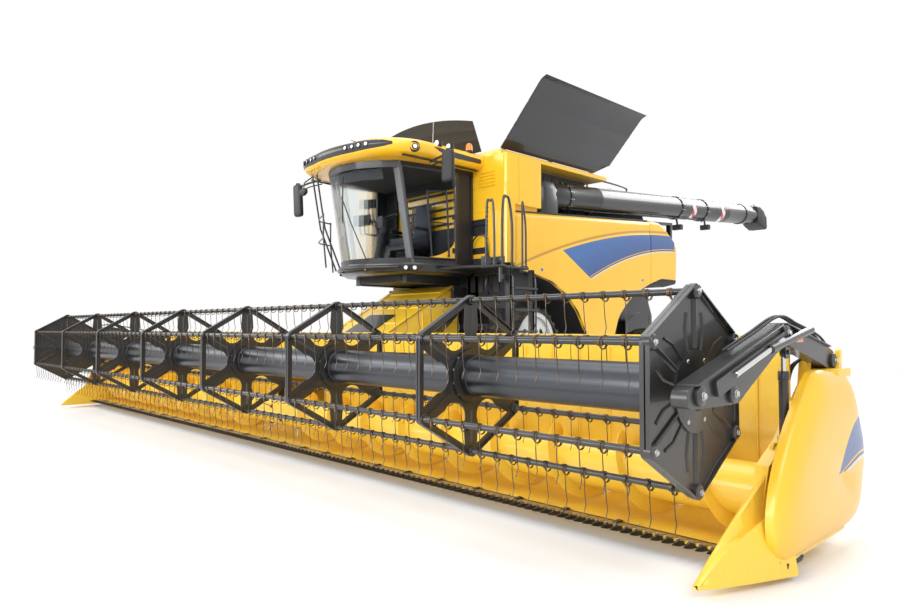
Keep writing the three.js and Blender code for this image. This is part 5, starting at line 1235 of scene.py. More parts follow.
# %% Service towers
TOWER_IN, TOWER_OUT, TOWER_F, TOWER_R = 0.78, 1.65, -0.55, 0.23
TOWER_LOW, TOWER_HIGH = 2.42, 3.985
towers = Shape()
for _, side in SIDES:
    plan = [(side * TOWER_IN, TOWER_F + 0.012), (side * (TOWER_OUT - 0.06), TOWER_F + 0.012),
        (side * TOWER_OUT, TOWER_F + 0.07), (side * TOWER_OUT, TOWER_R), (side * TOWER_IN, TOWER_R)]
    low, high = sorted((side * 1.572, side * TOWER_OUT))
    body_plan = [(side * TOWER_IN, TOWER_F + 0.012), (side * 1.572, TOWER_F + 0.012),
        (side * 1.572, TOWER_R), (side * TOWER_IN, TOWER_R)]
    towers.use(0).plate(body_plan, "z", TOWER_LOW, TOWER_HIGH)
    outer_plan = [(side * 1.572, TOWER_F + 0.012), (side * (TOWER_OUT - 0.055), TOWER_F + 0.012),
        (side * (TOWER_OUT - 0.016), TOWER_F + 0.028),
                  (side * TOWER_OUT, TOWER_F + 0.067), (side * TOWER_OUT, TOWER_R), (side * 1.572, TOWER_R)]
    towers.plate(outer_plan, "z", 3.27, TOWER_HIGH)
    short_plan = [(x, min(y, -0.36)) for x, y in outer_plan]
    towers.plate(short_plan, "z", TOWER_LOW, 3.27)
    # the front skin, with its two pockets
    front = [(side * (TOWER_IN + 0.004), TOWER_LOW + 0.09), (side * (TOWER_OUT - 0.058), TOWER_LOW + 0.09),
        (side * (TOWER_OUT - 0.058), TOWER_HIGH - 0.004), (side * (TOWER_IN + 0.004), TOWER_HIGH - 0.004)]
    pocket = rounded([(side * 0.97, 2.84), (side * 1.29, 2.84), (side * 1.29, 3.08), (side * 0.97, 3.08)],
        0.035)
    slot = rounded([(side * 0.95, 2.57), (side * 1.27, 2.57), (side * 1.27, 2.665), (side * 0.95, 2.665)],
        0.04)
    towers.cut_plate(rounded(front, 0.012), [pocket, slot], "y", TOWER_F, TOWER_F + 0.016)
    towers.use(1).plate([(side * 0.96, 2.56), (side * 1.3, 2.56), (side * 1.3, 3.09), (side * 0.94, 3.09)],
        "y", TOWER_F + 0.009, TOWER_F + 0.013)
    towers.tube([(side * 0.97, TOWER_F - 0.004, 3.0), (side * 1.29, TOWER_F - 0.004, 3.0)], 0.012, 10)
    # louvres and pressed lines
    for k in range(5):
        z = 3.56 + k * 0.05
        towers.use(0).plate([(TOWER_F + 0.002, z), (TOWER_F - 0.011, z - 0.004),
            (TOWER_F - 0.012, z - 0.009), (TOWER_F + 0.002, z - 0.028)], "x", side * 1.12, side * 1.44)
        towers.plate([(TOWER_F + 0.002, z), (TOWER_F - 0.011, z - 0.004), (TOWER_F - 0.012, z - 0.009),
            (TOWER_F + 0.002, z - 0.028)], "x", side * 0.88, side * 1.04)
    towers.tube([(side * (TOWER_IN + 0.01), TOWER_F, 3.19), (side * (TOWER_OUT - 0.07), TOWER_F, 3.19)],
        0.007, 8, flat=0.7)
    # lower dark band, its bolts, and the lid on top
    band_plan = [(side * (TOWER_IN + 0.004), TOWER_F - 0.002), (side * (TOWER_OUT - 0.05), TOWER_F - 0.002),
        (side * (TOWER_OUT - 0.05), TOWER_F + 0.02), (side * (TOWER_IN + 0.004), TOWER_F + 0.02)]
    towers.use(2).plate(band_plan, "z", TOWER_LOW, TOWER_LOW + 0.088)
    for x in (0.85, 1.2, 1.54):
        towers.use(3).bolt((side * x, TOWER_F - 0.002, TOWER_LOW + 0.045), "y", 0.011, -1)
    lid = [(side * (TOWER_IN + 0.02), TOWER_F + 0.04), (side * (TOWER_OUT - 0.05), TOWER_F + 0.04),
        (side * (TOWER_OUT - 0.02), TOWER_F + 0.08), (side * (TOWER_OUT - 0.02), TOWER_R - 0.02),
        (side * (TOWER_IN + 0.02), TOWER_R - 0.02)]
    towers.use(0).plate(lid, "z", TOWER_HIGH - 0.001, TOWER_HIGH + 0.012)
    # seam and latch on the side face
    for y in (-0.28,):
        towers.use(2).block((min(side * (TOWER_OUT - 0.002), side * (TOWER_OUT + 0.001)), y, 3.3),
            (max(side * (TOWER_OUT - 0.002), side * (TOWER_OUT + 0.001)), y + 0.004, 3.96))
towers.use(0).block((-TOWER_IN - 0.001, TOWER_F, TOWER_LOW), (TOWER_IN + 0.001, TOWER_F + 0.06, TOWER_HIGH))
for k in range(9):
    towers.use(1).block((-0.6, TOWER_F - 0.006, 2.7 + k * 0.12), (0.6, TOWER_F + 0.002, 2.74 + k * 0.12))
piece("service_tower_skin", towers, "machine", [yellow, plastic, dark_panel, steel], ["service_towers"],
    bevel=0.005)
print("towers ready")

# %% Grain tank
RIM_HALF, RIM_LOW, RIM_HIGH, TANK_END = 1.5, 4.0, 4.07, 2.1
tank = Shape()
plan_out = [(-1.12, 0.235), (1.12, 0.235), (1.12, TANK_END), (-1.12, TANK_END)]
plan_in = [(-1.085, 0.27), (1.085, 0.27), (1.085, TANK_END - 0.035), (-1.085, TANK_END - 0.035)]
# the outer walls are black: this is the walls' own paint, and under the rim's overhang it is also painted
# shade
tank.use(1).rings([[(x, y, z) for x, y in plan] for z, plan in ((2.425, plan_out), (4.0, plan_out))],
    capped=False)
tank.use(2).rings([[(x, y, z) for x, y in plan] for z, plan in ((4.06, plan_in), (3.1, plan_in),
    (2.7, [(x * 0.3, y * 0.5 + 0.5) for x, y in plan_in]))], capped=False)
tank.use(1).rings([[(x, y, 2.425) for x, y in plan_out],
    [(x * 0.3, y * 0.5 + 0.5, 2.5) for x, y in plan_in]], capped=False)
front_out = [(-0.775, -0.44), (0.775, -0.44), (0.775, 0.24), (-0.775, 0.24)]
tank.use(2).rings([[(x * s, y, z) for x, y in front_out] for z, s in ((4.06, 1), (3.0, 1), (2.9, 0.9))],
    capped=False)
tank.use(1).rings([[(x * 1.004, y - 0.008, z) for x, y in front_out[:2]] + [(x * 1.004, y, z) for x,
    y in front_out[2:]] for z in (2.43, 4.0)], capped=False)
for k in range(1, 8):
    y = 0.3 + k * 0.22
    for _, side in SIDES:
        tank.use(1).tube([(side * 1.121, y, 2.6), (side * 1.121, y, 3.96)], 0.012, 6)
# the folded rim: outer band, flat top, and a lip inside
outer = [(-RIM_HALF, -0.5), (RIM_HALF, -0.5), (RIM_HALF, TANK_END + 0.1), (-RIM_HALF, TANK_END + 0.1)]
inner = [(-1.1, -0.44), (1.1, -0.44), (1.1, TANK_END - 0.04), (-1.1, TANK_END - 0.04)]
tank.use(0).rings([[(x, y, z) for x, y in plan] for z, plan in
                   ((RIM_LOW, inner), (RIM_LOW, outer), (RIM_HIGH - 0.012, outer),
                       (RIM_HIGH, [(x * 0.993, y * 0.995) for x, y in outer]), (RIM_HIGH, inner))],
                  closed=True)
for k in range(8):
    for _, side in SIDES:
        tank.use(3).bolt((side * 1.46, -0.35 + 0.33 * k, RIM_HIGH), "z", 0.009)
# outlet box of the unloading auger
tank.use(1).plate(rounded([(1.119, 0.36), (1.569, 0.36), (1.569, 0.76), (1.119, 0.76)], 0.05), "z", 2.43,
    3.0)
tank.use(1).block((1.1, 0.3, 3.3), (1.2, 1.9, 3.36))
piece("grain_tank_skin", tank, "machine", [yellow, black, steel, steel], ["grain_tank"],
    bevel=0.003)
print("grain tank ready")

# %% [markdown]
# ### The tank's covers
# They are open at rest. Each is a sheet with long pressed beads and a folded lip. A point on a cover is
# given by its distance from the hinge along the sheet and its height off the sheet, so the same lines serve
# both sides.

# %% Covers
LEAN = math.radians(43)
HINGE_PLACE = (1.33, 4.0923)


def cover_point(side, a, o, y):
    return (side * (HINGE_PLACE[0] + math.sin(LEAN) * a + math.cos(LEAN) * o), y,
        HINGE_PLACE[1] + math.cos(LEAN) * a - math.sin(LEAN) * o)


COVER_PROFILE = [(0.075, 0.0), (0.2, 0.0), (0.23, -0.005), (0.26, 0.0), (0.5, 0.0), (0.53, -0.005),
    (0.56, 0.0),
                 (0.8, 0.0), (0.83, -0.005), (0.86, 0.0), (1.165, 0.0), (1.21, -0.011), (1.275, -0.045)]
for name, side in SIDES:
    cover = Shape()
    columns = []
    for y in steps_between(-0.42, 2.2, 10):
        edge = min(y + 0.42, 2.2 - y)
        column = []
        for a, lift in COVER_PROFILE:
            if y > 2.07 and a < 0.27:
                a = 0.27
            curl = drop(edge, 0.02) * 0.5
            column.append((cover_point(side, a, 0.066 - lift - curl, y),
                cover_point(side, a, 0.05 - lift + curl * 0.2, y)))
        columns.append(column)
    sheet(cover, columns, 0, 1)
    # hinge leaves, pins and, behind where the folded extension lies, stiffeners
    for y in (-0.3, 0.8, 1.9):
        leaf = [(0.0, -0.01), (0.02, -0.018), (0.09, 0.03), (0.12, 0.05), (0.12, 0.056), (0.04, 0.03),
            (0.0, 0.012)]
        cover.use(2).rings([[cover_point(side, a, o, y + dy) for a, o in leaf] for dy in (-0.028, 0.028)])
        cover.use(3).tube([cover_point(side, 0, 0, y - 0.06), cover_point(side, 0, 0, y + 0.06)], 0.009, 12)
    for y in (0.25, 1.1, 1.98):
        rib = [(0.28, 0.064), (0.28, 0.084), (1.15, 0.084), (1.15, 0.064)]
        cover.use(0).rings([[cover_point(side, a, 0.1145 - o, y + dy) for a, o in rib]
            for dy in (-0.02, 0.02)])
    piece(f"tank_cover_skin_{name}", cover, f"cover_{name}", [frame_grey, dark_panel, black, steel],
        [f"tank_cover_{name}"], smooth=30)

# %% Front extension
extension = Shape()
LEAN_F = math.radians(32)


def extension_point(u, height):
    """u runs from side to side; the sheet is flat, leans forward and is lower at its corners."""
    half = 1.115 + 0.055 * height / 0.64
    tall = height * (1 - 0.28 * u * u)
    return (u * half, -0.49 - tall * math.sin(LEAN_F), 4.094 + tall * math.cos(LEAN_F))


columns = []
for k in range(41):
    u = -1 + 2 * k / 40
    column = []
    for h in (0.0, 0.04, 0.1, 0.22, 0.24, 0.26, 0.42, 0.44, 0.46, 0.58, 0.62, 0.638):
        x, y, z = extension_point(u, h)
        bead = 0.004 if h in (0.24, 0.44) else 0.0
        column.append(((x, y - 0.015 - bead, z), (x, y, z)))
    columns.append(column)
sheet(extension, columns, 0, 1)
for x in (-0.9, -0.3, 0.3, 0.9):
    extension.use(2).tube([(x - 0.05, -0.49, 4.0853), (x + 0.05, -0.49, 4.0853)], 0.011, 12)
    foot, top = (extension_point(0, h)[1:] for h in (-0.006, 0.06))
    leaf = [foot, top, (top[0] - 0.02, top[1]), (foot[0] - 0.02, foot[1])]
    extension.use(0).plate(leaf, "x", x - 0.03, x + 0.03)
piece("front_extension_sheet", extension, "front_extension", [dark_panel, black, steel],
    ["tank_front_extension"], smooth=40)
print("covers and extension ready")

# %% [markdown]
# ## Engine hood, deck and unloading auger
# The hood is a low box with a sloped rear and cooling slots. The unloading auger is a plain rolled tube
# with bolted flanges, folded to the rear along the machine's left side. Its end turns down in a boot.

# %% Engine hood
hood = Shape()
HOOD_HALF = 1.12
hood_side = [(2.21, 2.425), (2.21, 3.735), (2.225, 3.75), (3.93, 3.75), (3.97, 3.735), (4.235, 3.19),
    (4.24, 3.16), (4.24, 2.425)]
hood.use(0).plate(hood_side, "x", -HOOD_HALF, HOOD_HALF)
for k in range(16):
    z = 2.75 + k * 0.05
    for _, side in SIDES:
        low, high = sorted((side * (HOOD_HALF - 0.002), side * (HOOD_HALF + 0.012)))
        hood.use(1).block((low, 2.5, z), (high, 3.5, z + 0.022))
for k in range(12):
    y = 2.5 + k * 0.1
    hood.use(1).block((-0.8, y, 3.748), (0.8, y + 0.04, 3.758))
for _, side in SIDES:
    rail = [(side * 0.9, 2.5, 3.75), (side * 0.9, 2.5, 4.1), (side * 0.9, 2.6, 4.2), (side * 0.9, 3.7, 4.2),
        (side * 0.9, 3.8, 4.1), (side * 0.9, 3.8, 3.75)]
    hood.use(2).tube(smooth_path([Vector(p) for p in rail], 5), 0.016, 10)
    hood.tube([(side * 0.9, 2.5, 3.98), (side * 0.9, 3.8, 3.98)], 0.012, 10)
hood.use(3).turned([(0.07, 3.74), (0.07, 4.02), (0.0735, 4.03), (0.063, 4.03), (0.063, 3.8), (0.0, 3.8)],
    (-0.5, 2.7, 0), "z", 24)
piece("engine_hood_skin", hood, "machine", [dark_panel, plastic, black, steel], ["engine_hood"],
    bevel=0.004)

# %% Unloading auger
AUGER_RISE = 0.0765
AUGER_X, AUGER_Y, AUGER_Z = 1.37, 0.56, 3.55


def auger_at(distance, lift=0.0, side=0.0):
    slope = math.hypot(1, AUGER_RISE)
    return (AUGER_X + side, AUGER_Y + distance - lift * AUGER_RISE / slope,
        AUGER_Z + distance * AUGER_RISE + lift / slope)


def auger_turned(shape, profile, segments=40):
    """Rings round the auger's own sloping line."""
    rings = []
    for radius, distance in profile:
        rings.append([auger_at(distance, radius * math.sin(TAU * k / segments),
            radius * math.cos(TAU * k / segments)) for k in range(segments)])
    return shape.rings(rings)


def flange(at_distance, radius=0.23, base=0.214):
    return [(base, at_distance - 0.03), (radius, at_distance - 0.03), (radius, at_distance - 0.004),
        (radius - 0.004, at_distance), (radius, at_distance + 0.004),
            (radius, at_distance + 0.03), (base, at_distance + 0.03)]


screw = Shape()
profile = [(0.05, 0.02), (0.19, 0.02), (0.214, 0.05), *flange(0.55), (0.214, 1.4), (0.216, 1.41),
    (0.216, 1.43), (0.214, 1.44), *flange(4.205), *flange(5.275),
           (0.214, 6.3), (0.216, 6.31), (0.216, 6.33), (0.214, 6.34), *flange(7.2), (0.214, 7.437),
               (0.05, 7.437)]
auger_turned(screw.use(0), profile)
for distance in (4.205, 5.275, 0.55):
    for k in range(12):
        a = TAU * (k + 0.5) / 12
        start = auger_at(distance - 0.045, 0.222 * math.sin(a), 0.222 * math.cos(a))
        end = auger_at(distance + 0.045, 0.222 * math.sin(a), 0.222 * math.cos(a))
        screw.use(1).tube([start, end], 0.008, 6)
# the faceted elbow at the pivot and its round foot
screw.use(0).turned([(0.0, 3.003), (0.2, 3.003), (0.2, 3.05), (0.185, 3.06), (0.185, 3.3), (0.0, 3.3)],
    (AUGER_X, AUGER_Y, 0), "z", 32)
elbow = [rounded([(AUGER_X - s, AUGER_Y - s), (AUGER_X + s, AUGER_Y - s), (AUGER_X + s, AUGER_Y + s * 1.1),
    (AUGER_X - s, AUGER_Y + s * 1.1)], s * 0.55, 3) for s in (0.2, 0.214, 0.214, 0.16)]
screw.rings([[(x, y, z) for x, y in ring] for ring, z in zip(elbow, (3.2, 3.3, 3.62, 3.74))])
# tape bands, pipe, brackets and work lights
for distance in (4.6, 5.9):
    auger_turned(screw.use(2), [(0.2145, distance), (0.2158, distance + 0.002), (0.2158, distance + 0.18),
        (0.2145, distance + 0.182)], 48)
pipe = [auger_at(d, -0.2, 0.09) for d in (0.4, 1.0)] + [auger_at(d, -0.215, 0.1)
    for d in (1.4, 4.9)] + [auger_at(5.15, -0.26, 0.1)]
screw.use(3).tube(smooth_path([Vector(p) for p in pipe], 4), 0.012, 8)
for distance in (1.2, 2.2, 3.2):
    screw.use(1).tube([auger_at(distance, -0.2, 0.07), auger_at(distance, -0.232, 0.1),
        auger_at(distance, -0.2, 0.13)], 0.006, 6)
for distance, drop_down in ((4.3, 0.33), (5.5, 0.3)):
    screw.use(0).tube([auger_at(distance, -0.2), auger_at(distance + 0.03, -drop_down)], 0.02, 8)
    p = auger_at(distance + 0.03, -drop_down - 0.05)
    screw.use(3).block((p[0] - 0.09, p[1] - 0.05, p[2] - 0.05), (p[0] + 0.09, p[1] + 0.05, p[2] + 0.05))
    screw.use(4).block((p[0] - 0.08, p[1] + 0.049, p[2] - 0.04), (p[0] + 0.08, p[1] + 0.054, p[2] + 0.04))
for k in range(3):
    screw.use(1).tube([auger_at(1.9 + 0.05 * k, 0.214), auger_at(1.9 + 0.05 * k, 0.245)], 0.004, 6)
piece("unloading_auger_tube", screw, "unloading_auger", [black, steel, tape, plastic, lamp],
    ["unloading_auger"], smooth=40)

# %% Spout
boot = Shape()
auger_turned(boot.use(0), [(0.05, 7.443), (0.185, 7.443), (0.2, 7.45), (0.2, 7.5), (0.185, 7.51),
    (0.185, 7.86), (0.05, 7.86)])
mouth_rings = []
for distance, half, top, bottom in ((7.84, 0.19, 0.19, -0.19), (8.0, 0.2, 0.19, -0.27),
        (8.2, 0.2, 0.1, -0.34), (8.32, 0.19, -0.02, -0.33)):
    ring = rounded([(-half, bottom), (half, bottom), (half, top), (-half, top)], 0.05, 3)
    mouth_rings.append([auger_at(distance, lift, side) for side, lift in ring])
boot.use(1).rings(mouth_rings)
lip = [auger_at(8.32, lift, side) for side, lift in rounded([(-0.19, -0.33), (0.19, -0.33), (0.19, -0.02),
    (-0.19, -0.02)], 0.05, 3)]
boot.use(0).tube(lip, 0.01, 8, closed=True)
boot.tube([auger_at(7.9, 0.2, 0.0), auger_at(8.1, 0.26, 0.0), auger_at(8.2, 0.18, 0.0)], 0.01, 8)
piece("spout_boot", boot, "spout", [black, plastic], ["unloading_spout"], smooth=40)
print("hood, auger and spout ready")

# %% [markdown]
# ## Header ends
# Each end is a wall, a domed shield that stands off it, and a crop divider whose nose parts the standing
# crop. The wall's upper edge folds out to meet the shield. The shield is one outline carried outwards in
# rings: a wide front face, a rounded crease, then a dome with a hollow where a hand can grip it.

# %% Header ends
WALL_IN, WALL_OUT = 6.2203, 6.2403
SHIELD_MIDDLE = (-2.87, 0.64)
SHIELD_SIDE = [(-3.56, 0.11), (-3.69, 0.3), (-3.62, 0.58), (-3.42, 0.86), (-3.08, 1.15), (-2.94, 1.23),
    (-2.33, 1.16), (-2.2, 1.05), (-1.98, 0.6), (-2.13, 0.2), (-2.3, 0.12)]
WALL_SIDE = [(-3.59, 0.09), (-3.59, 0.26), (-3.42, 0.64), (-3.15, 0.76), (-2.7, 1.1), (-2.65, 1.3),
    (-2.5, 1.3), (-2.5, 0.15)]


def thick_line(points, thickness):
    """A closed outline round an open line, to one side of it."""
    pts = [Vector(p) for p in points]
    offset = []
    for i, p in enumerate(pts):
        along = (pts[min(i + 1, len(pts) - 1)] - pts[max(i - 1, 0)]).normalized()
        offset.append(p + Vector((-along.y, along.x)) * thickness)
    return [tuple(p) for p in pts] + [tuple(p) for p in reversed(offset)]


def shield_rings(side, inset=0.0):
    line = rounded(SHIELD_SIDE, 0.16, 8)
    stages = [(1.0, 6.366), (1.0, 6.38), (1.0, 6.405), (0.996, 6.418), (0.985, 6.428), (0.965, 6.437),
        (0.93, 6.451), (0.88, 6.466), (0.8, 6.482),
              (0.68, 6.492), (0.52, 6.498), (0.34, 6.4995), (0.16, 6.4998)]
    rings = []
    for scale, x in stages:
        ring = []
        for y, z in line:
            py = SHIELD_MIDDLE[0] + (y - SHIELD_MIDDLE[0]) * (scale - inset)
            pz = SHIELD_MIDDLE[1] + (z - SHIELD_MIDDLE[1]) * (scale - inset)
            dimple = 0.03 * math.exp(-((py + 2.62) / 0.1) ** 2 - ((pz - 0.47) / 0.07) ** 2)
            ring.append((side * (x - dimple - inset * 0.3), py, pz))
        rings.append(ring)
    return rings


def divider_ring(side, t):
    """A cross section of the divider: t is 0 at the nose and 1 at the wall."""
    rise = t ** 0.92
    second = max(0.0, (t - 0.32) / 0.68)
    low = 0.058 - 0.018 * t
    inner, outer = 6.16 + 0.068 * t, 6.185 + 0.285 * t ** 0.8
    crest = (6.168 + 0.112 * t, 0.082 + 0.515 * rise)
    valley = (crest[0] + 0.012 + 0.035 * t, crest[1] - 0.012 - 0.21 * second)
    ridge = (crest[0] + 0.02 + 0.1 * t, valley[1] - 0.01 + 0.085 * second)
    shoulder = (outer - 0.012 * t, low + 0.022 + 0.06 * t)
    points = [(inner, low), (inner, low + 0.014 + 0.05 * t), (crest[0] - 0.01 - 0.01 * t, crest[1] - 0.012),
        crest, (crest[0] + 0.006 + 0.008 * t, crest[1] - 0.01),
              valley, (ridge[0] - 0.008 * t, ridge[1] - 0.004), ridge,
                  (ridge[0] + 0.008 * t, ridge[1] - 0.012), shoulder, (outer, low + 0.01), (outer, low)]
    y = -4.14 + 0.69 * t
    return [(side * x, y, z) for x, z in points]


for name, side in SIDES:
    end = Shape()
    low, high = sorted((side * WALL_IN, side * WALL_OUT))
    end.use(0).plate(WALL_SIDE, "x", low, high)
    lip = [(-3.585, 0.28), (-3.42, 0.642), (-3.15, 0.762), (-2.7, 1.102), (-2.65, 1.302), (-2.5, 1.302)]
    end.plate(thick_line(lip, 0.006), "x", side * WALL_IN, side * 6.3)
    field = rounded([(-3.42, 0.3), (-3.3, 0.56), (-3.05, 0.66), (-2.78, 0.8), (-2.78, 0.3)], 0.08)
    end.tube([(side * WALL_IN, y, z) for y, z in field], 0.008, 8, closed=True)
    for y, z in ((-3.45, 0.2), (-3.2, 0.22), (-2.9, 0.22), (-2.62, 0.3), (-2.62, 0.8), (-2.58, 1.2),
            (-3.35, 0.55)):
        end.use(1).bolt((side * WALL_IN, y, z), "x", 0.012, -side)
    # the shield, with its inside skin
    outside, inside = shield_rings(side), shield_rings(side, 0.02)
    end.use(2).rings([*reversed(inside), *outside])
    # foot plate, bracket, rubber bumper and skid
    low, high = sorted((side * 6.239, side * 6.44))
    end.use(0).block((low, -3.5, 0.12), (high, -2.5, 0.145))
    end.block((low, -2.56, 0.16), (high, -2.5, 0.56))
    end.use(3).block((low, -3.53, 0.088), (high, -3.3, 0.118))
    end.tube([(side * 6.262, -3.57, 0.128), (side * 6.4, -3.57, 0.128), (side * 6.43, -3.3, 0.112)], 0.018,
        10)
    for y, z in ((-3.49, 0.24), (-3.42, 0.19)):
        end.use(1).bolt((side * 6.43, y, z), "x", 0.01, side)
    # bracket for the reel arm's pivot and the little yellow stays on the shield's top
    end.use(0).plate(rounded([(-2.52, 1.15), (-2.34, 1.15), (-2.36, 1.33), (-2.5, 1.33)], 0.03), "x",
        side * 6.2403, side * 6.264)
    end.plate(rounded([(-2.56, 1.15), (-2.3, 1.15), (-2.3, 1.21), (-2.56, 1.21)], 0.02), "x", side * 6.24,
        side * 6.44)
    end.plate(rounded([(-2.42, 1.2), (-2.36, 1.2), (-2.35, 1.34), (-2.39, 1.34)], 0.015), "x", side * 6.37,
        side * 6.4)
    end.use(1).turned([(0.0, -0.03), (0.027, -0.03), (0.027, -0.001), (0.0, -0.001)],
        (side * 6.27, -2.43, 1.26), "x", 20, side)
    # cylinder foot
    end.use(0).plate(rounded([(-3.28, 0.62), (-3.14, 0.62), (-3.17, 0.76), (-3.25, 0.76)], 0.02), "x",
        side * 6.2403, side * 6.262)
    # hoses that hang along the wall
    for k in range(2):
        hose = [(6.246 + 0.02 * k, -2.6, 1.31), (6.2 - 0.02 * k, -2.75, 1.2), (6.19, -2.8 - 0.02 * k, 0.98),
            (6.2, -2.76, 0.8), (6.205, -2.7, 0.62)]
        end.use(3).tube(smooth_path([Vector((side * x, y, z)) for x, y, z in hose], 6), 0.01, 8)
    piece(f"header_end_skin_{name}", end, "feeder", [header_yellow, steel, shield_yellow, plastic],
        [f"header_end_{name}"], smooth=40)
    nose = Shape()
    nose.use(0).rings([divider_ring(side, k / 24) for k in range(25)])
    for y, x, z in ((-3.62, 6.228, 0.1), (-3.75, 6.21, 0.1), (-3.56, 6.228, 0.3)):
        nose.use(1).bolt((side * (x - 0.004), y, z), "x", 0.009, -side)
    piece(f"crop_divider_{name}", nose, "feeder", [header_yellow, steel], (), smooth=32,
        bevel=0.002)
print("header ends ready")

# %% [markdown]
# ## The cab
# The cab's plan is a curve that leans outwards: each wall point has one Y at the floor and another at the
# roof. Glass, sills, pillars and rails all read that curve, so they stay on one surface.

# %% Cab surface
CAB_PLAN = [(0.0, -2.01, -2.23), (0.28, -1.96, -2.19), (0.55, -1.815, -2.06), (0.81, -1.57, -1.83),
    (1.0, -0.9, -0.9), (1.0, -0.56, -0.56)]
SILL, LINTEL, CAB_HIGH = 2.47, 3.73, 3.8
A_POST = 0.81


def cab_y(x, z):
    """The front glass surface: Y for a place across and a height."""
    share = (z - 2.4) / 1.4
    table = [(x0, low + (high - low) * share) for x0, low, high in CAB_PLAN[:4]]
    return soft_read(table, abs(x), 0.1) if abs(x) < 0.72 else read(table, abs(x))


def door_at(t, z, out=0.0):
    """The door's plane: t is 0 at the front pillar and 1 at the hinge."""
    share = (z - 2.4) / 1.4
    front = Vector((0.81, -1.57 - 0.26 * share))
    rear = Vector((1.0, -0.9))
    p = front + (rear - front) * t
    normal = Vector((rear.y - front.y, front.x - rear.x)).normalized()
    return (p.x + normal.x * out, p.y + normal.y * out, z)


def front_line(z, out=0.0, reach=A_POST, count=25):
    return [(x, cab_y(x, z) - out, z) for x in (-reach + 2 * reach * k / (count - 1) for k in range(count))]


# %% Cab frame
cab = Shape()
# front sill and header rails follow the glass
for z0, z1, out, thick in ((SILL - 0.07, SILL, 0.004, 0.06), (LINTEL - 0.03, CAB_HIGH, 0.006, 0.07)):
    rings = []
    for x in (-A_POST + 2 * A_POST * k / 32 for k in range(33)):
        y0, y1 = cab_y(x, z0) - out, cab_y(x, z1) - out
        rings.append([(x, y0, z0), (x, y1, z1), (x, y1 + thick, z1), (x, y0 + thick, z0)])
    cab.use(0).rings(rings)
for _, side in SIDES:
    # grey front pillar, black rear post, sill and header along the door
    front = [door_at(0.0, z, 0.0) for z in (2.4, 3.1, 3.8)]
    cab.use(1).rings([[(side * (x - 0.13), y + 0.005, z), (side * (x - 0.06), y - 0.012, z),
        (side * (x + 0.004), y - 0.004, z), (side * (x + 0.008), y + 0.03, z),
        (side * (x - 0.11), y + 0.06, z)]
                      for x, y, z in front])
    for y0, y1 in ((-0.9, -0.85), (-0.6, -0.56)):
        low, high = sorted((side * 0.95, side * 1.002))
        cab.use(0).block((low, y0, 2.4), (high, y1, CAB_HIGH))
    for z0, z1 in ((2.4, SILL - 0.012), (LINTEL + 0.015, CAB_HIGH)):
        rings = []
        for t in (0.0, 0.5, 1.0):
            a, b = door_at(t, z0), door_at(t, z1)
            rings.append([(side * a[0], *a[1:]), (side * b[0], *b[1:]), (side * (b[0] - 0.06), *b[1:]),
                (side * (a[0] - 0.06), *a[1:])])
        cab.rings(rings)
        low, high = sorted((side * 0.94, side * 1.0))
        cab.block((low, -0.9, z0), (high, -0.56, z1))
    # narrow rear quarter panel
    low, high = sorted((side * 0.97, side * 0.985))
    cab.use(2).block((low, -0.86, SILL - 0.01), (high, -0.59, LINTEL + 0.02))
# rear wall with a window and the ceiling
wall = [(-0.96, 2.4), (0.96, 2.4), (0.96, 3.8), (-0.96, 3.8)]
glass_hole = rounded([(-0.7, 3.0), (0.7, 3.0), (0.7, 3.6), (-0.7, 3.6)], 0.06)
cab.use(2).cut_plate(wall, [glass_hole], "y", -0.62, -0.58)
cab.use(3).plate([(-0.93, -0.64), (0.93, -0.64), (0.93, -0.95), (0.76, -1.72), (0.5, -1.98), (0.0, -2.12),
    (-0.5, -1.98), (-0.76, -1.72), (-0.93, -0.95)], "z", 3.74, 3.76)
# floor, steering column, pedals and the driver's console
cab.use(2).plate([(-0.95, -0.6), (0.95, -0.6), (0.95, -0.9), (0.77, -1.55), (0.5, -1.78), (0.0, -1.96),
    (-0.5, -1.78), (-0.77, -1.55), (-0.95, -0.9)], "z", 2.395, 2.412)
cab.tube([(0, -1.6, 2.41), (0, -1.5, 2.8), (0, -1.42, 3.08)], [0.07, 0.055, 0.045], 14)
wheel_rim = [(0.19 * math.cos(TAU * k / 40), -1.4 + 0.17 * math.sin(TAU * k / 40),
    3.12 + 0.09 * math.sin(TAU * k / 40)) for k in range(40)]
cab.tube(wheel_rim, 0.015, 8, closed=True)
for k in range(3):
    a = TAU * (k / 3 + 0.25)
    cab.tube([(0, -1.4, 3.1), (0.18 * math.cos(a), -1.4 + 0.16 * math.sin(a), 3.12 + 0.085 * math.sin(a))],
        0.012, 8)
for x in (-0.14, 0.14):
    cab.plate([(-1.72, 2.46), (-1.62, 2.53), (-1.61, 2.515), (-1.71, 2.445)], "x", x - 0.04, x + 0.04)
cab.plate(rounded([(-1.25, 2.8), (-1.22, 2.93), (-0.9, 2.96), (-0.72, 2.94), (-0.72, 2.82)], 0.03), "x",
    -0.5, -0.33)
cab.plate(rounded([(-1.1, 2.41), (-1.0, 2.82), (-0.78, 2.82), (-0.74, 2.41)], 0.04), "x", -0.48, -0.36)
cab.tube([(-0.41, -1.15, 2.95), (-0.41, -1.17, 3.05), (-0.41, -1.18, 3.09)], [0.014, 0.014, 0.03], 10)
for x, y, z, w, h in ((-0.52, -1.42, 3.16, 0.26, 0.17), (-0.5, -1.36, 3.42, 0.2, 0.14),
        (0.34, -1.78, 3.0, 0.12, 0.16)):
    cab.use(2).block((x - w / 2, y, z - h / 2), (x + w / 2, y + 0.035, z + h / 2))
    cab.use(4).block((x - w / 2 + 0.012, y + 0.034, z - h / 2 + 0.012),
        (x + w / 2 - 0.012, y + 0.037, z + h / 2 - 0.012))
    cab.use(2).tube([(x, y + 0.01, z - h / 2), (x * 0.98, y + 0.02, z - h / 2 - 0.12),
        (x * 0.9, y + 0.16, 2.92)], 0.014, 8)
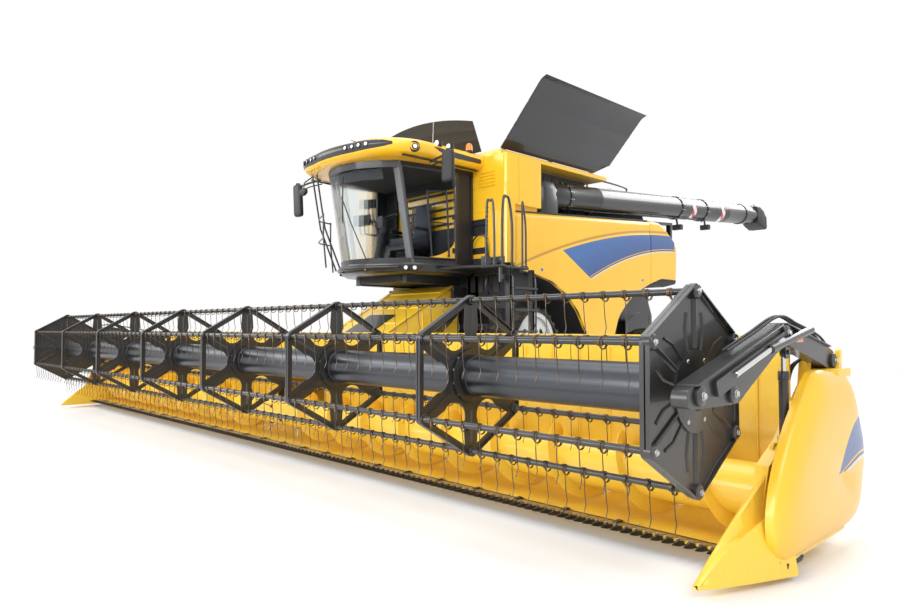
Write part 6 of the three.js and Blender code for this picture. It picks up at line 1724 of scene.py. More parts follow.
# sun blind, inner mirror and wiper
cab.use(3).rings([[(x, cab_y(x, z) + 0.05, z) for x in (-0.6, -0.3, 0.0, 0.3, 0.6)] for z in (3.55, 3.72)],
    around=False, capped=False)
cab.use(2).tube([(0.3, cab_y(0.3, 2.44) - 0.03, 2.44), (0.1, cab_y(0.1, 3.0) - 0.03, 3.0),
    (-0.02, cab_y(0, 3.35) - 0.028, 3.35)], 0.008, 8)
cab.tube([(-0.08, cab_y(0, 3.0) - 0.022, 3.0), (0.06, cab_y(0, 3.62) - 0.022, 3.62)], 0.009, 8)
piece("cab_frame_skin", cab, "machine", [black, trim_grey, plastic, headliner, screen], ["cab_frame"],
    smooth=35)
print("cab frame ready")

# %% Glass
pane = Shape()
rings = []
for x in (-0.7 + 1.4 * k / 28 for k in range(29)):
    zs = [SILL + (LINTEL - 0.03 - SILL) * k / 8 for k in range(9)]
    rings.append([(x, cab_y(x, z) + 0.004, z) for z in zs] + [(x, cab_y(x, z) + 0.011, z)
        for z in reversed(zs)])
pane.use(0).rings(rings)
piece("windscreen_pane", pane, "machine", [cab_glass], ["windscreen"], smooth=60)
side_pane = Shape()
rings = []
for t in (0.02 + 0.96 * k / 6 for k in range(7)):
    ring = []
    for z, inset in ((SILL, 0.012), (LINTEL, 0.012), (LINTEL, 0.02), (SILL, 0.02)):
        x, y, _ = door_at(t, z, -inset)
        ring.append((-x, y, z))
    rings.append(ring)
side_pane.rings(rings)
piece("right_window_pane", side_pane, "machine", [cab_glass], ["right_window"], smooth=60)

# %% Door
door = Shape()
door_edge = [door_at(t, z, 0.012) for t, z in ((0.03, 2.475), (0.03, 3.725), (0.975, 3.725),
    (0.975, 2.475))]
door.use(0).tube(smooth_path([Vector(p) for p in (door_edge[0], door_edge[1])], 1), 0.016, 8)
for a, b in zip(door_edge, door_edge[1:] + door_edge[:1]):
    door.tube([a, b], 0.017, 8)
# yellow lower corner with a curved upper edge, and a rubber sill
corner_line = [(0.16, 2.478)] + [(0.16 + 0.8 * math.sin(TAU * a / 48),
    2.48 + 0.29 * (1 - math.cos(TAU * a / 48))) for a in range(1, 13)] + [(0.96, 2.478)]
door.use(1).rings([[door_at(t, z, out) for t, z in corner_line] for out in (0.004, 0.012)])
grab = [(0.42, 2.5), (0.42, 3.33), (0.46, 3.4), (0.72, 3.42), (0.78, 3.35), (0.8, 2.5)]
door.use(2).tube(smooth_path([Vector(door_at(t, z, 0.045)) for t, z in grab], 6), 0.014, 10)
door.tube([door_at(0.42, 2.98, 0.045), door_at(0.79, 2.98, 0.045)], 0.009, 8)
for t, z in ((0.42, 2.52), (0.8, 2.52), (0.5, 3.41)):
    door.tube([door_at(t, z, 0.045), door_at(t, z, 0.01)], 0.011, 8)
latch = [Vector(door_at(0.1, z, 0.03)) for z in (2.86, 3.02)]
door.use(2).tube([tuple(p) for p in latch], 0.016, 10)
door.use(3).tube([door_at(0.1, 2.94, 0.0), door_at(0.1, 2.94, 0.036)], 0.018, 12)
for z in (2.6, 3.08, 3.56):
    door.use(2).tube([(1.0149, -0.896, z - 0.05), (1.0149, -0.896, z + 0.05)], 0.0142, 14)
    door.plate([(1.004, -0.9), (1.02, -0.905), (door_at(0.9, z, 0.03)[0], door_at(0.9, z, 0.03)[1]),
        (door_at(0.9, z, 0.014)[0], door_at(0.9, z, 0.014)[1])], "z", z - 0.035, z + 0.035)
piece("cab_door_rim", door, "cab_door", [black, yellow, plastic, chrome], ["cab_door_frame"],
    smooth=40)
door_pane = Shape()
rings = []
for t in (0.045 + 0.915 * k / 6 for k in range(7)):
    rings.append([door_at(t, z, out) for z, out in ((2.49, 0.004), (3.71, 0.004), (3.71, -0.003),
        (2.49, -0.003))])
door_pane.rings(rings)
piece("cab_door_pane", door_pane, "cab_door", [cab_glass], ["cab_door_glass"], smooth=60)
print("glass and door ready")

# %% [markdown]
# ### Roof and skirt
# The roof is a stack of rounded loops with a nose that reaches over the windscreen. The dark band for the
# lamps is a second, slightly larger skin over the front of the same loops.

# %% Cab roof
ROOF_LOOPS = [(3.795, 1.09, -2.26, 0.68), (3.8, 1.13, -2.3, 0.7), (3.83, 1.19, -2.37, 0.71),
    (3.86, 1.215, -2.4, 0.72), (3.93, 1.225, -2.42, 0.72), (3.975, 1.212, -2.41, 0.715),
              (4.01, 1.175, -2.375, 0.7), (4.035, 1.12, -2.31, 0.68), (4.05, 1.04, -2.22, 0.64),
                  (4.056, 0.9, -2.08, 0.6), (4.06, 0.6, -1.8, 0.5)]
ROOF_REAR = -0.565


def roof_loop(half, front, corner, out=0.0):
    """A loop in plan: a bowed front, round front corners and tight rear ones."""
    side = [(half + out, ROOF_REAR + 0.02), (half + out, front + corner)]
    turn = [(half - corner + (corner + out) * math.cos(a),
        front + corner - (corner + out) * 0.94 * math.sin(a))
        for a in (TAU / 4 * k / 9 for k in range(1, 9))]
    nose = [((half - corner) * s, front - out - 0.055 * (1 - s * s) + 0.04) for s in (1.0, 0.75, 0.5, 0.25)]
    left = [(half + out - 0.03, ROOF_REAR), *side, *turn, *nose]
    return left + [(0.0, front - out - 0.055 + 0.04)] + [(-x, y) for x, y in reversed(left)]


roof = Shape()
roof.use(0).rings([[(x, y, z) for x, y in roof_loop(half, front, corner)] for z, half, front,
    corner in ROOF_LOOPS])


def roof_at(z):
    return [read([(loop[0], loop[k]) for loop in ROOF_LOOPS], z) for k in (1, 2, 3)]


def roof_skin(shape, first, last, low, high, out, slope=0.0):
    """A raised skin over part of the roof's edge, between two places of its loop."""
    rings = []
    for place in range(first, last + 1):
        share = (place - first) / (last - first)
        ends = 1 - abs(2 * share - 1) ** 6 * slope
        ring = []
        for k in range(7):
            z = (low + high) / 2 + (high - low) / 2 * ends * (k / 3 - 1)
            x, y = roof_loop(*roof_at(z), out)[place]
            ring.append((x, y, z))
        for k in range(7):
            z = (low + high) / 2 + (high - low) / 2 * ends * (1 - k / 3)
            x, y = roof_loop(*roof_at(z), -0.02)[place]
            ring.append((x, y, z))
        rings.append(ring)
    return shape.rings(rings)


LOOP_MIDDLE = (len(roof_loop(1, -2, 0.5)) - 1) // 2
roof_skin(roof.use(1), LOOP_MIDDLE - 9, LOOP_MIDDLE + 9, 3.862, 4.0, 0.006, 0.75)
for name, side in SIDES:
    for step in (3, 4, 5, 6):
        half, front, corner = roof_at(3.93)
        loop = roof_loop(half, front, corner, 0.008)
        x, y = loop[LOOP_MIDDLE - step] if side > 0 else loop[LOOP_MIDDLE + step]
        ahead = loop[LOOP_MIDDLE - step - 1] if side > 0 else loop[LOOP_MIDDLE + step + 1]
        facing = Vector((ahead[1] - y, x - ahead[0], 0)).normalized()
        if facing.y > 0:
            facing = -facing
        turn = Matrix.Translation((x, y, 3.935)) @ facing.to_track_quat("Z", "Y").to_matrix().to_4x4()
        for mark, profile in ((2, [(0.034, -0.02), (0.034, 0.008), (0.028, 0.01), (0.026, 0.002)]),
                (3, [(0.0265, 0.001), (0.02, 0.005), (0.0, 0.006)])):
            start = len(roof.points)
            roof.use(mark).turned(profile, (0, 0, 0), "z", 20)
            roof.moved(turn, start)
    # the corner lamp in its dish, the dark side recess and the low side rail
    x, y = side * 1.187, -1.86
    turn = Matrix.Translation((x, y, 3.905)) @ Vector((side * 0.93, -0.34, -0.06)).to_track_quat("Z",
        "Y").to_matrix().to_4x4()
    for mark, profile in ((1, [(0.075, -0.02), (0.075, 0.006), (0.066, 0.012), (0.05, 0.0), (0.04, 0.002)]),
            (2, [(0.04, 0.0), (0.042, 0.02), (0.034, 0.022)]),
            (3, [(0.034, 0.018), (0.022, 0.026), (0.0, 0.028)])):
        start = len(roof.points)
        roof.use(mark).turned(profile, (0, 0, 0), "z", 28)
        roof.moved(turn, start)
    recess = rounded([(-1.55, 3.955), (-0.62, 3.93), (-0.62, 3.87), (-1.1, 3.865), (-1.42, 3.9)], 0.03)
    roof.use(1).plate(recess, "x", side * 1.2, side * 1.2285)
    roof.use(1).tube([(side * 1.1, -2.0, 3.79), (side * 1.13, -1.6, 3.785), (side * 1.13, -0.6, 3.785)],
        0.014, 8)
    # lamps over the mirrors
    for lamp_y, lamp_z in ((-1.42, 3.99), (-1.2, 3.985)):
        roof.use(2).turned([(0.0, 0.0), (0.045, 0.0), (0.05, 0.03), (0.05, 0.06), (0.0, 0.06)],
            (side * 1.19, lamp_y, lamp_z), "z", 18)
        roof.use(3).turned([(0.0, 0.0), (0.04, 0.0), (0.035, 0.008), (0.0, 0.01)],
            (side * 1.19, lamp_y - 0.045, lamp_z + 0.03), "y", 18, -1)
    # beacon
    roof.use(2).turned([(0.0, 0.0), (0.055, 0.0), (0.055, 0.025), (0.05, 0.03), (0.0, 0.03)],
        (side * 1.14, -0.78, 4.02), "z", 20)
    roof.use(4).turned([(0.05, 0.03), (0.048, 0.1), (0.03, 0.13), (0.0, 0.135)], (side * 1.14, -0.78, 4.02),
        "z", 20)
    roof.use(2).tube([(side * 1.14, -0.78, 3.95), (side * 1.14, -0.78, 4.03)], 0.02, 10)
roof.use(2).tube([(0.6, -1.0, 4.05), (0.6, -1.0, 4.09)], 0.018, 10)
roof.use(5).tube([(0.6, -1.0, 4.08), (0.6, -0.985, 4.5), (0.6, -0.96, 4.97)], [0.006, 0.004, 0.002], 6)
roof.use(2).turned([(0.0, 4.055), (0.11, 4.055), (0.11, 4.085), (0.09, 4.11), (0.03, 4.125), (0.0, 4.125)],
    (-0.1, -1.9, 0), "z", 28)
piece("cab_roof_shell", roof, "machine", [yellow, black, plastic, lamp, amber, steel], ["cab_roof"],
    smooth=38)
print("cab roof ready")

# %% Cab base, skirt and rails
base = Shape()


def base_loop(z, out):
    front = front_line(2.4, out, A_POST, 17)
    left = [(1.0 + out, -0.57, z), (1.0 + out, -0.92, z), (0.93 + out, -1.28, z)]
    return left + [(x, y, z) for x, y, _ in reversed(front)] + [(-x, y, z) for x, y, z in reversed(left)]


base.use(0).rings([base_loop(z, out) for z, out in ((2.25, -0.3), (2.26, -0.06), (2.285, 0.0), (2.35, 0.03),
    (2.385, 0.035), (2.4, 0.028), (2.405, -0.02))])
base.use(0).tube([(x, y - 0.06, z) for x, y, z in front_line(2.34, 0.0, 0.7, 15)], 0.028, 10)
for _, side in SIDES:
    for x, y, facing in ((0.28, cab_y(0.28, 2.34) - 0.035, (0.15, -1, 0)), (0.78, -1.66, (0.55, -0.8, 0)),
            (0.85, -1.56, (0.7, -0.7, 0)), (1.03, -1.02, (1, -0.2, 0)), (1.035, -0.92, (1, -0.1, 0))):
        turn = Matrix.Translation((side * x, y, 2.33)) @ Vector((side * facing[0], facing[1],
            0)).to_track_quat("Z", "Y").to_matrix().to_4x4()
        for mark, profile in ((1, [(0.036, -0.03), (0.036, 0.018), (0.029, 0.02), (0.028, 0.01)]),
                (2, [(0.0285, 0.01), (0.02, 0.016), (0.0, 0.017)])):
            start = len(base.points)
            base.use(mark).turned(profile, (0, 0, 0), "z", 20)
            base.moved(turn, start)
    # the rail in front of the windscreen's right part and its two crossbars
rail_x = (-0.86, -0.74)
for x in rail_x:
    base.use(3).tube([(x + 0.12, cab_y(0.7, 2.4) - 0.1, 2.36), (x, cab_y(0.7, 3.0) - 0.2, 3.0),
        (x - 0.02, -2.12, 3.8)], 0.013, 8)
for z in (2.78, 3.12):
    bar = [(-0.98, -1.72, z), (-0.86, -2.0, z), (-0.62, -2.15, z), (-0.3, -2.3, z)]
    base.tube(smooth_path([Vector(p) for p in bar], 5), 0.011, 8)
for x in (-0.98, -0.3):
    y = -1.72 if x < -0.9 else -2.3
    base.tube([(x, y + 0.05, 2.36), (x, y, 2.8), (x, y, 3.14)], 0.012, 8)
# steps, pipes and boxes under the floor
for k in range(6):
    base.use(3).tube([(-0.6 + 0.24 * k, -0.62, 2.3), (-0.6 + 0.24 * k, -0.9, 2.24),
        (-0.55 + 0.22 * k, -1.3, 2.22)], 0.014, 8)
base.use(1).block((-0.5, -1.5, 2.16), (0.5, -0.62, 2.26))
piece("cab_skirt", base, "machine", [black, plastic, lamp, black], ["cab_base"], smooth=38)
print("cab base ready")

# %% Mirrors
for name, side in SIDES:
    mirror = Shape()
    if side > 0:
        path = [(1.08, -1.48, 3.784), (1.3, -1.56, 3.775), (1.64, -1.67, 3.765)]
        centre, low, high, tilt = (1.64, -1.67), 3.39, 3.8, 0.0
    else:
        path = [(-1.0, -1.9, 3.784), (-1.2, -1.98, 3.76), (-1.4, -2.05, 3.71)]
        centre, low, high, tilt = (-1.42, -2.04), 3.25, 3.76, 0.08
    mirror.use(0).tube(smooth_path([Vector(p) for p in path], 6), 0.016, 10)
    mirror.use(0).tube([(p[0], p[1] + 0.03, p[2] - 0.05) for p in path], 0.01, 8)
    outline = rounded([(-0.1, -0.05), (0.1, -0.05), (0.1, 0.035), (-0.1, 0.035)], 0.05, 5)
    stages = [(low, 0.7), (low + 0.012, 0.9), (low + 0.04, 1.0), (high - 0.05, 1.0), (high - 0.015, 0.88),
        (high, 0.6)]
    mirror.use(1).rings([[(centre[0] + u * s + tilt * (high - z), centre[1] + v * s, z) for u, v in outline]
        for z, s in stages])
    face = [(centre[0] + tilt * 0.2 - 0.075, low + 0.05), (centre[0] + tilt * 0.2 + 0.075, low + 0.05),
        (centre[0] + 0.075, high - 0.07), (centre[0] - 0.075, high - 0.07)]
    mirror.use(2).plate(rounded(face, 0.02), "y", centre[1] + 0.03, centre[1] + 0.0375)
    mirror.use(1).turned([(0.0, -0.03), (0.035, -0.03), (0.035, 0.03), (0.0, 0.03)],
        (centre[0], centre[1], high - 0.01), "z", 16)
    piece(f"mirror_head_{name}", mirror, "machine", [black, plastic, mirror_glass], [f"mirror_{name}"],
        smooth=40)
round_mirror = Shape()
round_mirror.use(0).tube([(-0.95, -2.08, 3.8), (-0.98, -2.2, 3.7), (-0.98, -2.21, 3.6)], 0.01, 8)
round_mirror.use(1).rings([[(-0.98 + r * math.cos(TAU * k / 24), -2.21 + d,
    3.56 + 0.6 * r * math.sin(TAU * k / 24)) for k in range(24)] for r,
    d in ((0.02, -0.04), (0.08, -0.03), (0.1, 0.0), (0.1, 0.01), (0.09, 0.012))])
round_mirror.use(2).rings([[(-0.98 + r * math.cos(TAU * k / 24), -2.21 + d,
    3.56 + 0.6 * r * math.sin(TAU * k / 24)) for k in range(24)] for r,
    d in ((0.088, 0.012), (0.05, 0.018), (0.01, 0.02))])
piece("wide_view_mirror", round_mirror, "machine", [black, plastic, mirror_glass], (),
    smooth=40)
print("mirrors ready")

# %% [markdown]
# ## Tracks and rear wheels
# A rubber belt runs round a drive wheel above and two idlers below, so the loop is the tight outline round
# three circles. Tread lugs are set at equal steps along that outline, each in two slanted halves that meet
# in a V.

# %% The belt's loop
IDLER_REACH, IDLER_Z, IDLER_R = 0.86, 0.37, 0.31
DRIVE_Z, DRIVE_R = 1.3, 0.43
BELT_IN, BELT_OUT = 1.14, 1.75
BELT_THICK, LUG_HIGH, LUG_SKEW = 0.025, 0.035, 0.055


def tight_outline(points):
    """The outline of a stretched band round points of a plane."""
    pts = sorted(set((round(a, 6), round(b, 6)) for a, b in points))

    def half(run):
        line = []
        for p in run:
            while len(line) > 1 and (line[-1][0] - line[-2][0]) * (p[1] - line[-2][1]) - (line[-1][1]
                    - line[-2][1]) * (p[0] - line[-2][0]) <= 0:
                line.pop()
            line.append(p)
        return line[:-1]
    return half(pts) + half(reversed(pts))


def even_loop(points, count):
    """The same closed line as count points at equal steps, each with its direction."""
    pts = [Vector(p) for p in points]
    lengths = [(pts[(i + 1) % len(pts)] - p).length for i, p in enumerate(pts)]
    total, made, i, gone = sum(lengths), [], 0, 0.0
    for k in range(count):
        goal = total * k / count
        while gone + lengths[i] < goal:
            gone += lengths[i]
            i += 1
        a, b = pts[i], pts[(i + 1) % len(pts)]
        p = a + (b - a) * ((goal - gone) / lengths[i])
        made.append((p, (b - a).normalized()))
    return made


circles = [p for y, z, r in ((-IDLER_REACH, IDLER_Z, IDLER_R), (IDLER_REACH, IDLER_Z, IDLER_R),
    (0.0, DRIVE_Z, DRIVE_R)) for p in arc((y, z), r, 0, 1, 96)]
loop = even_loop(tight_outline(circles), 240)
LUGS = 48
lug_places = even_loop(tight_outline(circles), LUGS)
print("belt loop of", len(loop), "steps,", LUGS, "lugs")


# %% Track belts
def off(place, outward, forward=0.0):
    """A point beside the loop: outward from it, and forward along it."""
    p, along = place
    return p + Vector((along.y, -along.x)) * outward + along * forward


for name, side in SIDES:
    belt = Shape()
    section = [(BELT_IN, 0.001), (BELT_OUT, 0.001), (BELT_OUT, BELT_THICK - 0.004),
        (BELT_OUT - 0.012, BELT_THICK), (BELT_IN + 0.012, BELT_THICK), (BELT_IN, BELT_THICK - 0.004)]
    belt.rings([[(side * x, *off(place, out)) for x, out in section] for place in loop], closed=True)
    middle = (BELT_IN + BELT_OUT) / 2
    for k, place in enumerate(lug_places):
        for start, end in ((BELT_IN + 0.004, middle - 0.004), (BELT_OUT - 0.004, middle + 0.004)):
            rings = []
            for s in (0.0, 0.15, 0.85, 1.0):
                x = start + (end - start) * s
                wide = 0.034 if 0.1 < s < 0.9 else 0.028
                high = BELT_THICK + LUG_HIGH * (0.99 if 0.1 < s < 0.9 else 0.9)
                shift = LUG_SKEW * (s - 0.5)
                ring = [off(place, BELT_THICK - 0.004, shift - wide),
                    off(place, BELT_THICK - 0.004, shift + wide), off(place, high, shift + wide * 0.62),
                    off(place, high, shift - wide * 0.62)]
                rings.append([(side * x, p.x, p.y) for p in ring])
            belt.rings(rings)
    piece(f"track_tread_{name}", belt, "machine", [track_rubber], [f"track_belt_{name}"],
        smooth=30)
print("track belts ready")

# %% [markdown]
# ### Track wheels
# The drive wheel is a white dished disc with six oval holes. Its idlers are double wheels that guide the
# belt.


# %% Track wheels
def slotted_disc(shape, centre, x, side, radius, holes, thickness=0.012):
    """A disc across X with oval holes."""
    cuts = []
    for k in range(holes):
        a = TAU * (k + 0.5) / holes
        mid = Vector((math.cos(a), math.sin(a)))
        across = Vector((-mid.y, mid.x))
        oval = []
        for s in range(20):
            b = TAU * s / 20
            p = mid * (radius * 0.62 + radius * 0.11 * math.sin(b)) + across * radius * 0.2 * math.cos(b)
            oval.append((centre[0] + p.x, centre[1] + p.y))
        cuts.append(oval)
    rim_line = arc(centre, radius, 0, 1, 64)[:-1]
    low, high = sorted((x, x + side * thickness))
    return shape.cut_plate(rim_line, cuts, "x", low, high)


for name, side in SIDES:
    wheels = Shape()
    # drive wheel: two tyres, web, hub and bolts
    for near, far in ((1.165, 1.36), (1.53, 1.73)):
        wheels.use(0).turned([(0.36, near), (0.405, near), (DRIVE_R - 0.002, near + 0.012),
            (DRIVE_R - 0.002, far - 0.012), (0.405, far), (0.36, far)], (0, 0, DRIVE_Z), "x", 64, side,
            closed=True)
    wheels.use(0).turned([(0.385, 1.2), (0.385, 1.7), (0.36, 1.7), (0.36, 1.2)], (0, 0, DRIVE_Z), "x", 64,
        side, closed=True)
    slotted_disc(wheels, (0, DRIVE_Z), side * 1.655, side, 0.372, 6)
    wheels.turned([(0.0, 1.64), (0.15, 1.64), (0.15, 1.69), (0.135, 1.7), (0.09, 1.7), (0.085, 1.725),
        (0.0, 1.73)], (0, 0, DRIVE_Z), "x", 36, side)
    wheels.turned([(0.095, 1.1103), (0.095, 1.655)], (0, 0, DRIVE_Z), "x", 24, side)
    for k in range(10):
        a = TAU * k / 10
        wheels.use(1).bolt((side * 1.698, 0.116 * math.cos(a), DRIVE_Z + 0.116 * math.sin(a)), "x", 0.013,
            side)
    # idlers and rollers
    for y in (-IDLER_REACH, IDLER_REACH):
        for near, far in ((1.165, 1.36), (1.53, 1.73)):
            tyre_side = [(0.26, near), (0.29, near), (IDLER_R - 0.002, near + 0.012),
                (IDLER_R - 0.002, far - 0.012), (0.29, far), (0.26, far)]
            wheels.use(2).turned(tyre_side, (0, y, IDLER_Z), "x", 56, side, closed=True)
        dish = [(0.0, 1.695), (0.07, 1.695), (0.075, 1.68), (0.1, 1.665), (0.12, 1.64), (0.22, 1.655),
            (0.262, 1.7), (0.262, 1.19), (0.0, 1.19)]
        wheels.use(0).turned(dish, (0, y, IDLER_Z), "x", 56, side)
        for k in range(8):
            a = TAU * k / 8
            wheels.use(1).bolt((side * 1.668, y + 0.088 * math.cos(a), IDLER_Z + 0.088 * math.sin(a)), "x",
                0.011, side)
    for y in (-0.42, 0.0, 0.42):
        for near, far in ((1.2, 1.37), (1.52, 1.69)):
            wheels.use(2).turned([(0.0, near), (0.12, near), (0.1295, near + 0.01), (0.1295, far - 0.01),
                (0.12, far), (0.0, far)], (0, y, 0.1905), "x", 36, side)
            wheels.use(0).turned([(0.0, far), (0.07, far), (0.06, far + 0.012), (0.0, far + 0.012)],
                (0, y, 0.1905), "x", 24, side)
        wheels.use(3).turned([(0.03, 1.2), (0.03, 1.69)], (0, y, 0.1905), "x", 12, side)
        low, high = sorted((side * 1.395, side * 1.455))
        wheels.block((low, y - 0.045, 0.16), (high, y + 0.045, 0.4))
    # the beam that carries them
    beam = rounded([(-0.86, 0.31), (0.86, 0.31), (0.86, 0.43), (0.14, 0.52), (0.11, 1.3), (-0.11, 1.3),
        (-0.14, 0.52), (-0.86, 0.43)], 0.04)
    wheels.use(3).plate(beam, "x", side * 1.385, side * 1.465)
    wheels.tube([(side * 1.376, -0.55, 0.46), (side * 1.376, 0.0, 0.98), (side * 1.376, 0.55, 0.46)], 0.03,
        12)
    piece(f"track_wheels_{name}", wheels, "machine", [white, steel, track_rubber, black],
        [f"track_frame_{name}"], smooth=38)
print("track wheels ready")

# %% [markdown]
# ### Rear tyres and rims
# A tractor tyre's bars are slanted and stand on the crown in two hands. They are lofted from the crown down
# to the shoulder. Rim and tyre turn with the wheel, so each rides on the wheel's own body.

# %% Rear tyres
TYRE_R, RIM_R, WHEEL_X = 0.745, 0.356, 1.4
for name, side in SIDES:
    tyre = Shape()
    centre = (side * WHEEL_X, WHEELBASE, TYRE_R)
    wall = [(RIM_R + 0.001, 0.215), (RIM_R + 0.03, 0.236), (0.45, 0.268), (0.54, 0.288), (0.61, 0.29),
        (0.66, 0.276), (0.692, 0.24), (0.702, 0.18), (0.706, 0.09), (0.707, 0.0)]
    profile = [(r, w) for r, w in wall] + [(r, -w) for r, w in reversed(wall[:-1])]
    tyre.turned(profile, centre, "x", 96, side, closed=True)
    LUG_PAIRS = 22
    for k in range(LUG_PAIRS):
        for hand in (1, -1):
            base_turn = (k + (0.5 if hand < 0 else 0.0)) / LUG_PAIRS
            rings = []
            for across, crown, inner, width in ((0.0, TYRE_R - 0.001, 0.7, 0.026),
                    (0.1, TYRE_R - 0.001, 0.698, 0.026), (0.19, TYRE_R - 0.006, 0.688, 0.029),
                    (0.262, 0.716, 0.66, 0.034), (0.294, 0.655, 0.62, 0.038), (0.296, 0.61, 0.59, 0.03)):
                turn = TAU * (base_turn + across * 0.085)
                ring = []
                for radius, swing in ((inner, -width), (inner, width), (crown, width * 0.7),
                        (crown, -width * 0.7)):
                    a = turn + swing / radius
                    ring.append((centre[0] + side * hand * (across + (0.0 if radius == crown else -0.006)),
                        centre[1] + radius * math.cos(a), centre[2] + radius * math.sin(a)))
                rings.append(ring)
            tyre.rings(rings)
    piece(f"rear_tyre_tread_{name}", tyre, f"rear_wheel_{name}", [tyre_rubber], [f"rear_tyre_{name}"],
        smooth=40)
    rim = Shape()
    rim_profile = [(RIM_R - 0.001, 0.238), (RIM_R - 0.012, 0.243), (0.335, 0.235), (0.325, 0.2),
        (0.322, 0.12), (0.3, 0.09), (0.24, 0.07), (0.16, 0.05), (0.13, 0.046), (0.13, 0.115), (0.12, 0.12),
        (0.0, 0.12),
                   (0.0, -0.21), (0.13, -0.21), (0.13, 0.02), (0.3, 0.055), (0.315, 0.0), (0.322, -0.2),
                       (0.335, -0.235), (RIM_R - 0.012, -0.243), (RIM_R - 0.001, -0.238)]
    rim.use(0).turned(rim_profile, centre, "x", 64, side, closed=True)
    for k in range(10):
        a = TAU * k / 10
        rim.use(1).bolt((side * (WHEEL_X + 0.062), centre[1] + 0.2 * math.cos(a),
            centre[2] + 0.2 * math.sin(a)), "x", 0.014, side)
    rim.use(1).turned([(0.0, 0.12), (0.06, 0.12), (0.055, 0.15), (0.0, 0.155)], centre, "x", 24, side)
    piece(f"rear_rim_disc_{name}", rim, f"rear_wheel_{name}", [white, steel], [f"rear_rim_{name}"],
        smooth=38)
print("rear wheels ready")

# %% [markdown]
# ## Platform, rails and ladder
# The platform is open grating in a folded frame. Its handrails are bent tubes. The ladder hangs from a post
# under the platform's edge and swings, so it is a piece of its own.

# %% Platform and ladder
deck = Shape()
plate_line = [(1.024, -1.25), (1.5, -1.25), (1.86, -1.05), (1.975, -1.05), (1.975, -0.95), (1.9, -0.95),
    (1.9, -0.39), (1.024, -0.39)]
deck.use(0).plate(plate_line, "z", 2.3, 2.318)
deck.tube([(x, y, 2.32) for x, y in plate_line], 0.019, 8, closed=True)
for k in range(16):
    y = -1.2 + k * 0.052
    right = 1.88 if y > -1.0 else 1.5 + (y + 1.25) / 0.2 * 0.34
    deck.block((1.04, y, 2.318), (min(right, 1.87), y + 0.008, 2.339))
for k in range(9):
    x = 1.1 + k * 0.09
    deck.block((x, -1.2 if x < 1.5 else -1.0, 2.318), (x + 0.006, -0.4, 2.334))
deck.block((1.024, -0.56, 2.25), (1.9, -0.5, 2.302))
handrails = [([(1.88, -0.9, 2.32), (1.88, -0.9, 2.9), (1.872, -0.86, 3.25), (1.865, -0.8, 3.28),
    (1.865, -0.74, 3.24), (1.88, -0.7, 2.9), (1.88, -0.7, 2.32)], 0.018),
             ([(1.88, -0.48, 2.32), (1.88, -0.48, 2.9), (1.86, -0.455, 3.22), (1.85, -0.44, 3.25),
                 (1.85, -0.425, 3.22), (1.88, -0.41, 2.9), (1.88, -0.405, 2.32)], 0.014),
             ([(1.75, -1.082, 2.32), (1.755, -1.08, 2.7), (1.765, -1.072, 3.17), (1.8, -1.05, 3.2),
                 (1.835, -1.032, 3.17), (1.85, -1.025, 2.7), (1.852, -1.028, 2.32)], 0.016)]
for path, radius in handrails:
    deck.use(1).tube(smooth_path([Vector(p) for p in path], 6), radius, 12)
    for p in (path[0], path[-1]):
        deck.use(0).turned([(0.0, 0.0), (radius * 2.2, 0.0), (radius * 2.2, 0.006), (radius * 1.3, 0.02),
            (0.0, 0.02)], (p[0], p[1], 2.339), "z", 16)
for k in range(12):
    deck.use(1).turned([(0.0155, -0.014), (0.021, -0.009), (0.021, 0.009), (0.0155, 0.014)],
        (1.752 + 0.012 * (k / 11) ** 2, -1.081 + 0.008 * k / 11, 2.45 + k * 0.06), "z", 12, closed=True)
deck.tube(smooth_path([Vector(p) for p in ((1.02, -0.45, 2.34), (1.0, -0.57, 2.5), (1.06, -0.62, 2.75),
    (1.2, -0.615, 2.85), (1.3, -0.6, 2.78), (1.32, -0.58, 2.6), (1.3, -0.56, 2.5))], 6), 0.012, 8)
deck.block((1.6, -1.02, 2.335), (1.72, -0.96, 2.47))
piece("platform_deck", deck, "machine", [black, frame_grey], ["platform"], smooth=38)

steps = Shape()
for y in (-0.9, -0.43):
    low, high = y - 0.025, y + 0.025
    steps.use(0).rings([[(x, y0, z) for x, y0 in ((1.96, low), (2.03, low), (2.03, low + 0.008),
        (1.968, low + 0.008), (1.968, high - 0.008), (2.03, high - 0.008), (2.03, high), (1.96, high))]
        for z in (0.52, 2.29)])
for k in range(6):
    z = 0.56 + 0.29 * k
    steps.block((1.96, -0.901, z), (2.11, -0.429, z + 0.006))
    steps.block((1.962, -0.9, z), (1.968, -0.43, z + 0.03))
    steps.block((2.102, -0.9, z), (2.108, -0.43, z + 0.03))
    for j in range(8):
        steps.block((1.97, -0.88 + j * 0.058, z + 0.006), (2.1, -0.868 + j * 0.058, z + 0.0299))
steps.turned([(0.0, 2.1), (0.026, 2.1), (0.03, 2.105), (0.03, 2.2995), (0.0, 2.2995)], (1.935, -1.0, 0),
    "z", 20)
steps.block((1.935, -1.015, 2.14), (1.99, -0.88, 2.2))
for y in (-0.9, -0.43):
    rail = [(2.03, y, 1.3), (2.07, y, 1.36), (2.07, y, 2.1), (2.03, y, 2.2)]
    steps.use(1).tube(smooth_path([Vector(p) for p in rail], 5), 0.012, 8)
piece("ladder_steps", steps, "ladder", [black, frame_grey], ["ladder"], smooth=38)
print("platform and ladder ready")

# %% [markdown]
# ## Feeder house and its lift
# The feeder is a sheet box that hangs from the body and carries the header. Ribs and a drive shield dress
# its sides. Two cylinders under it lift the whole header.

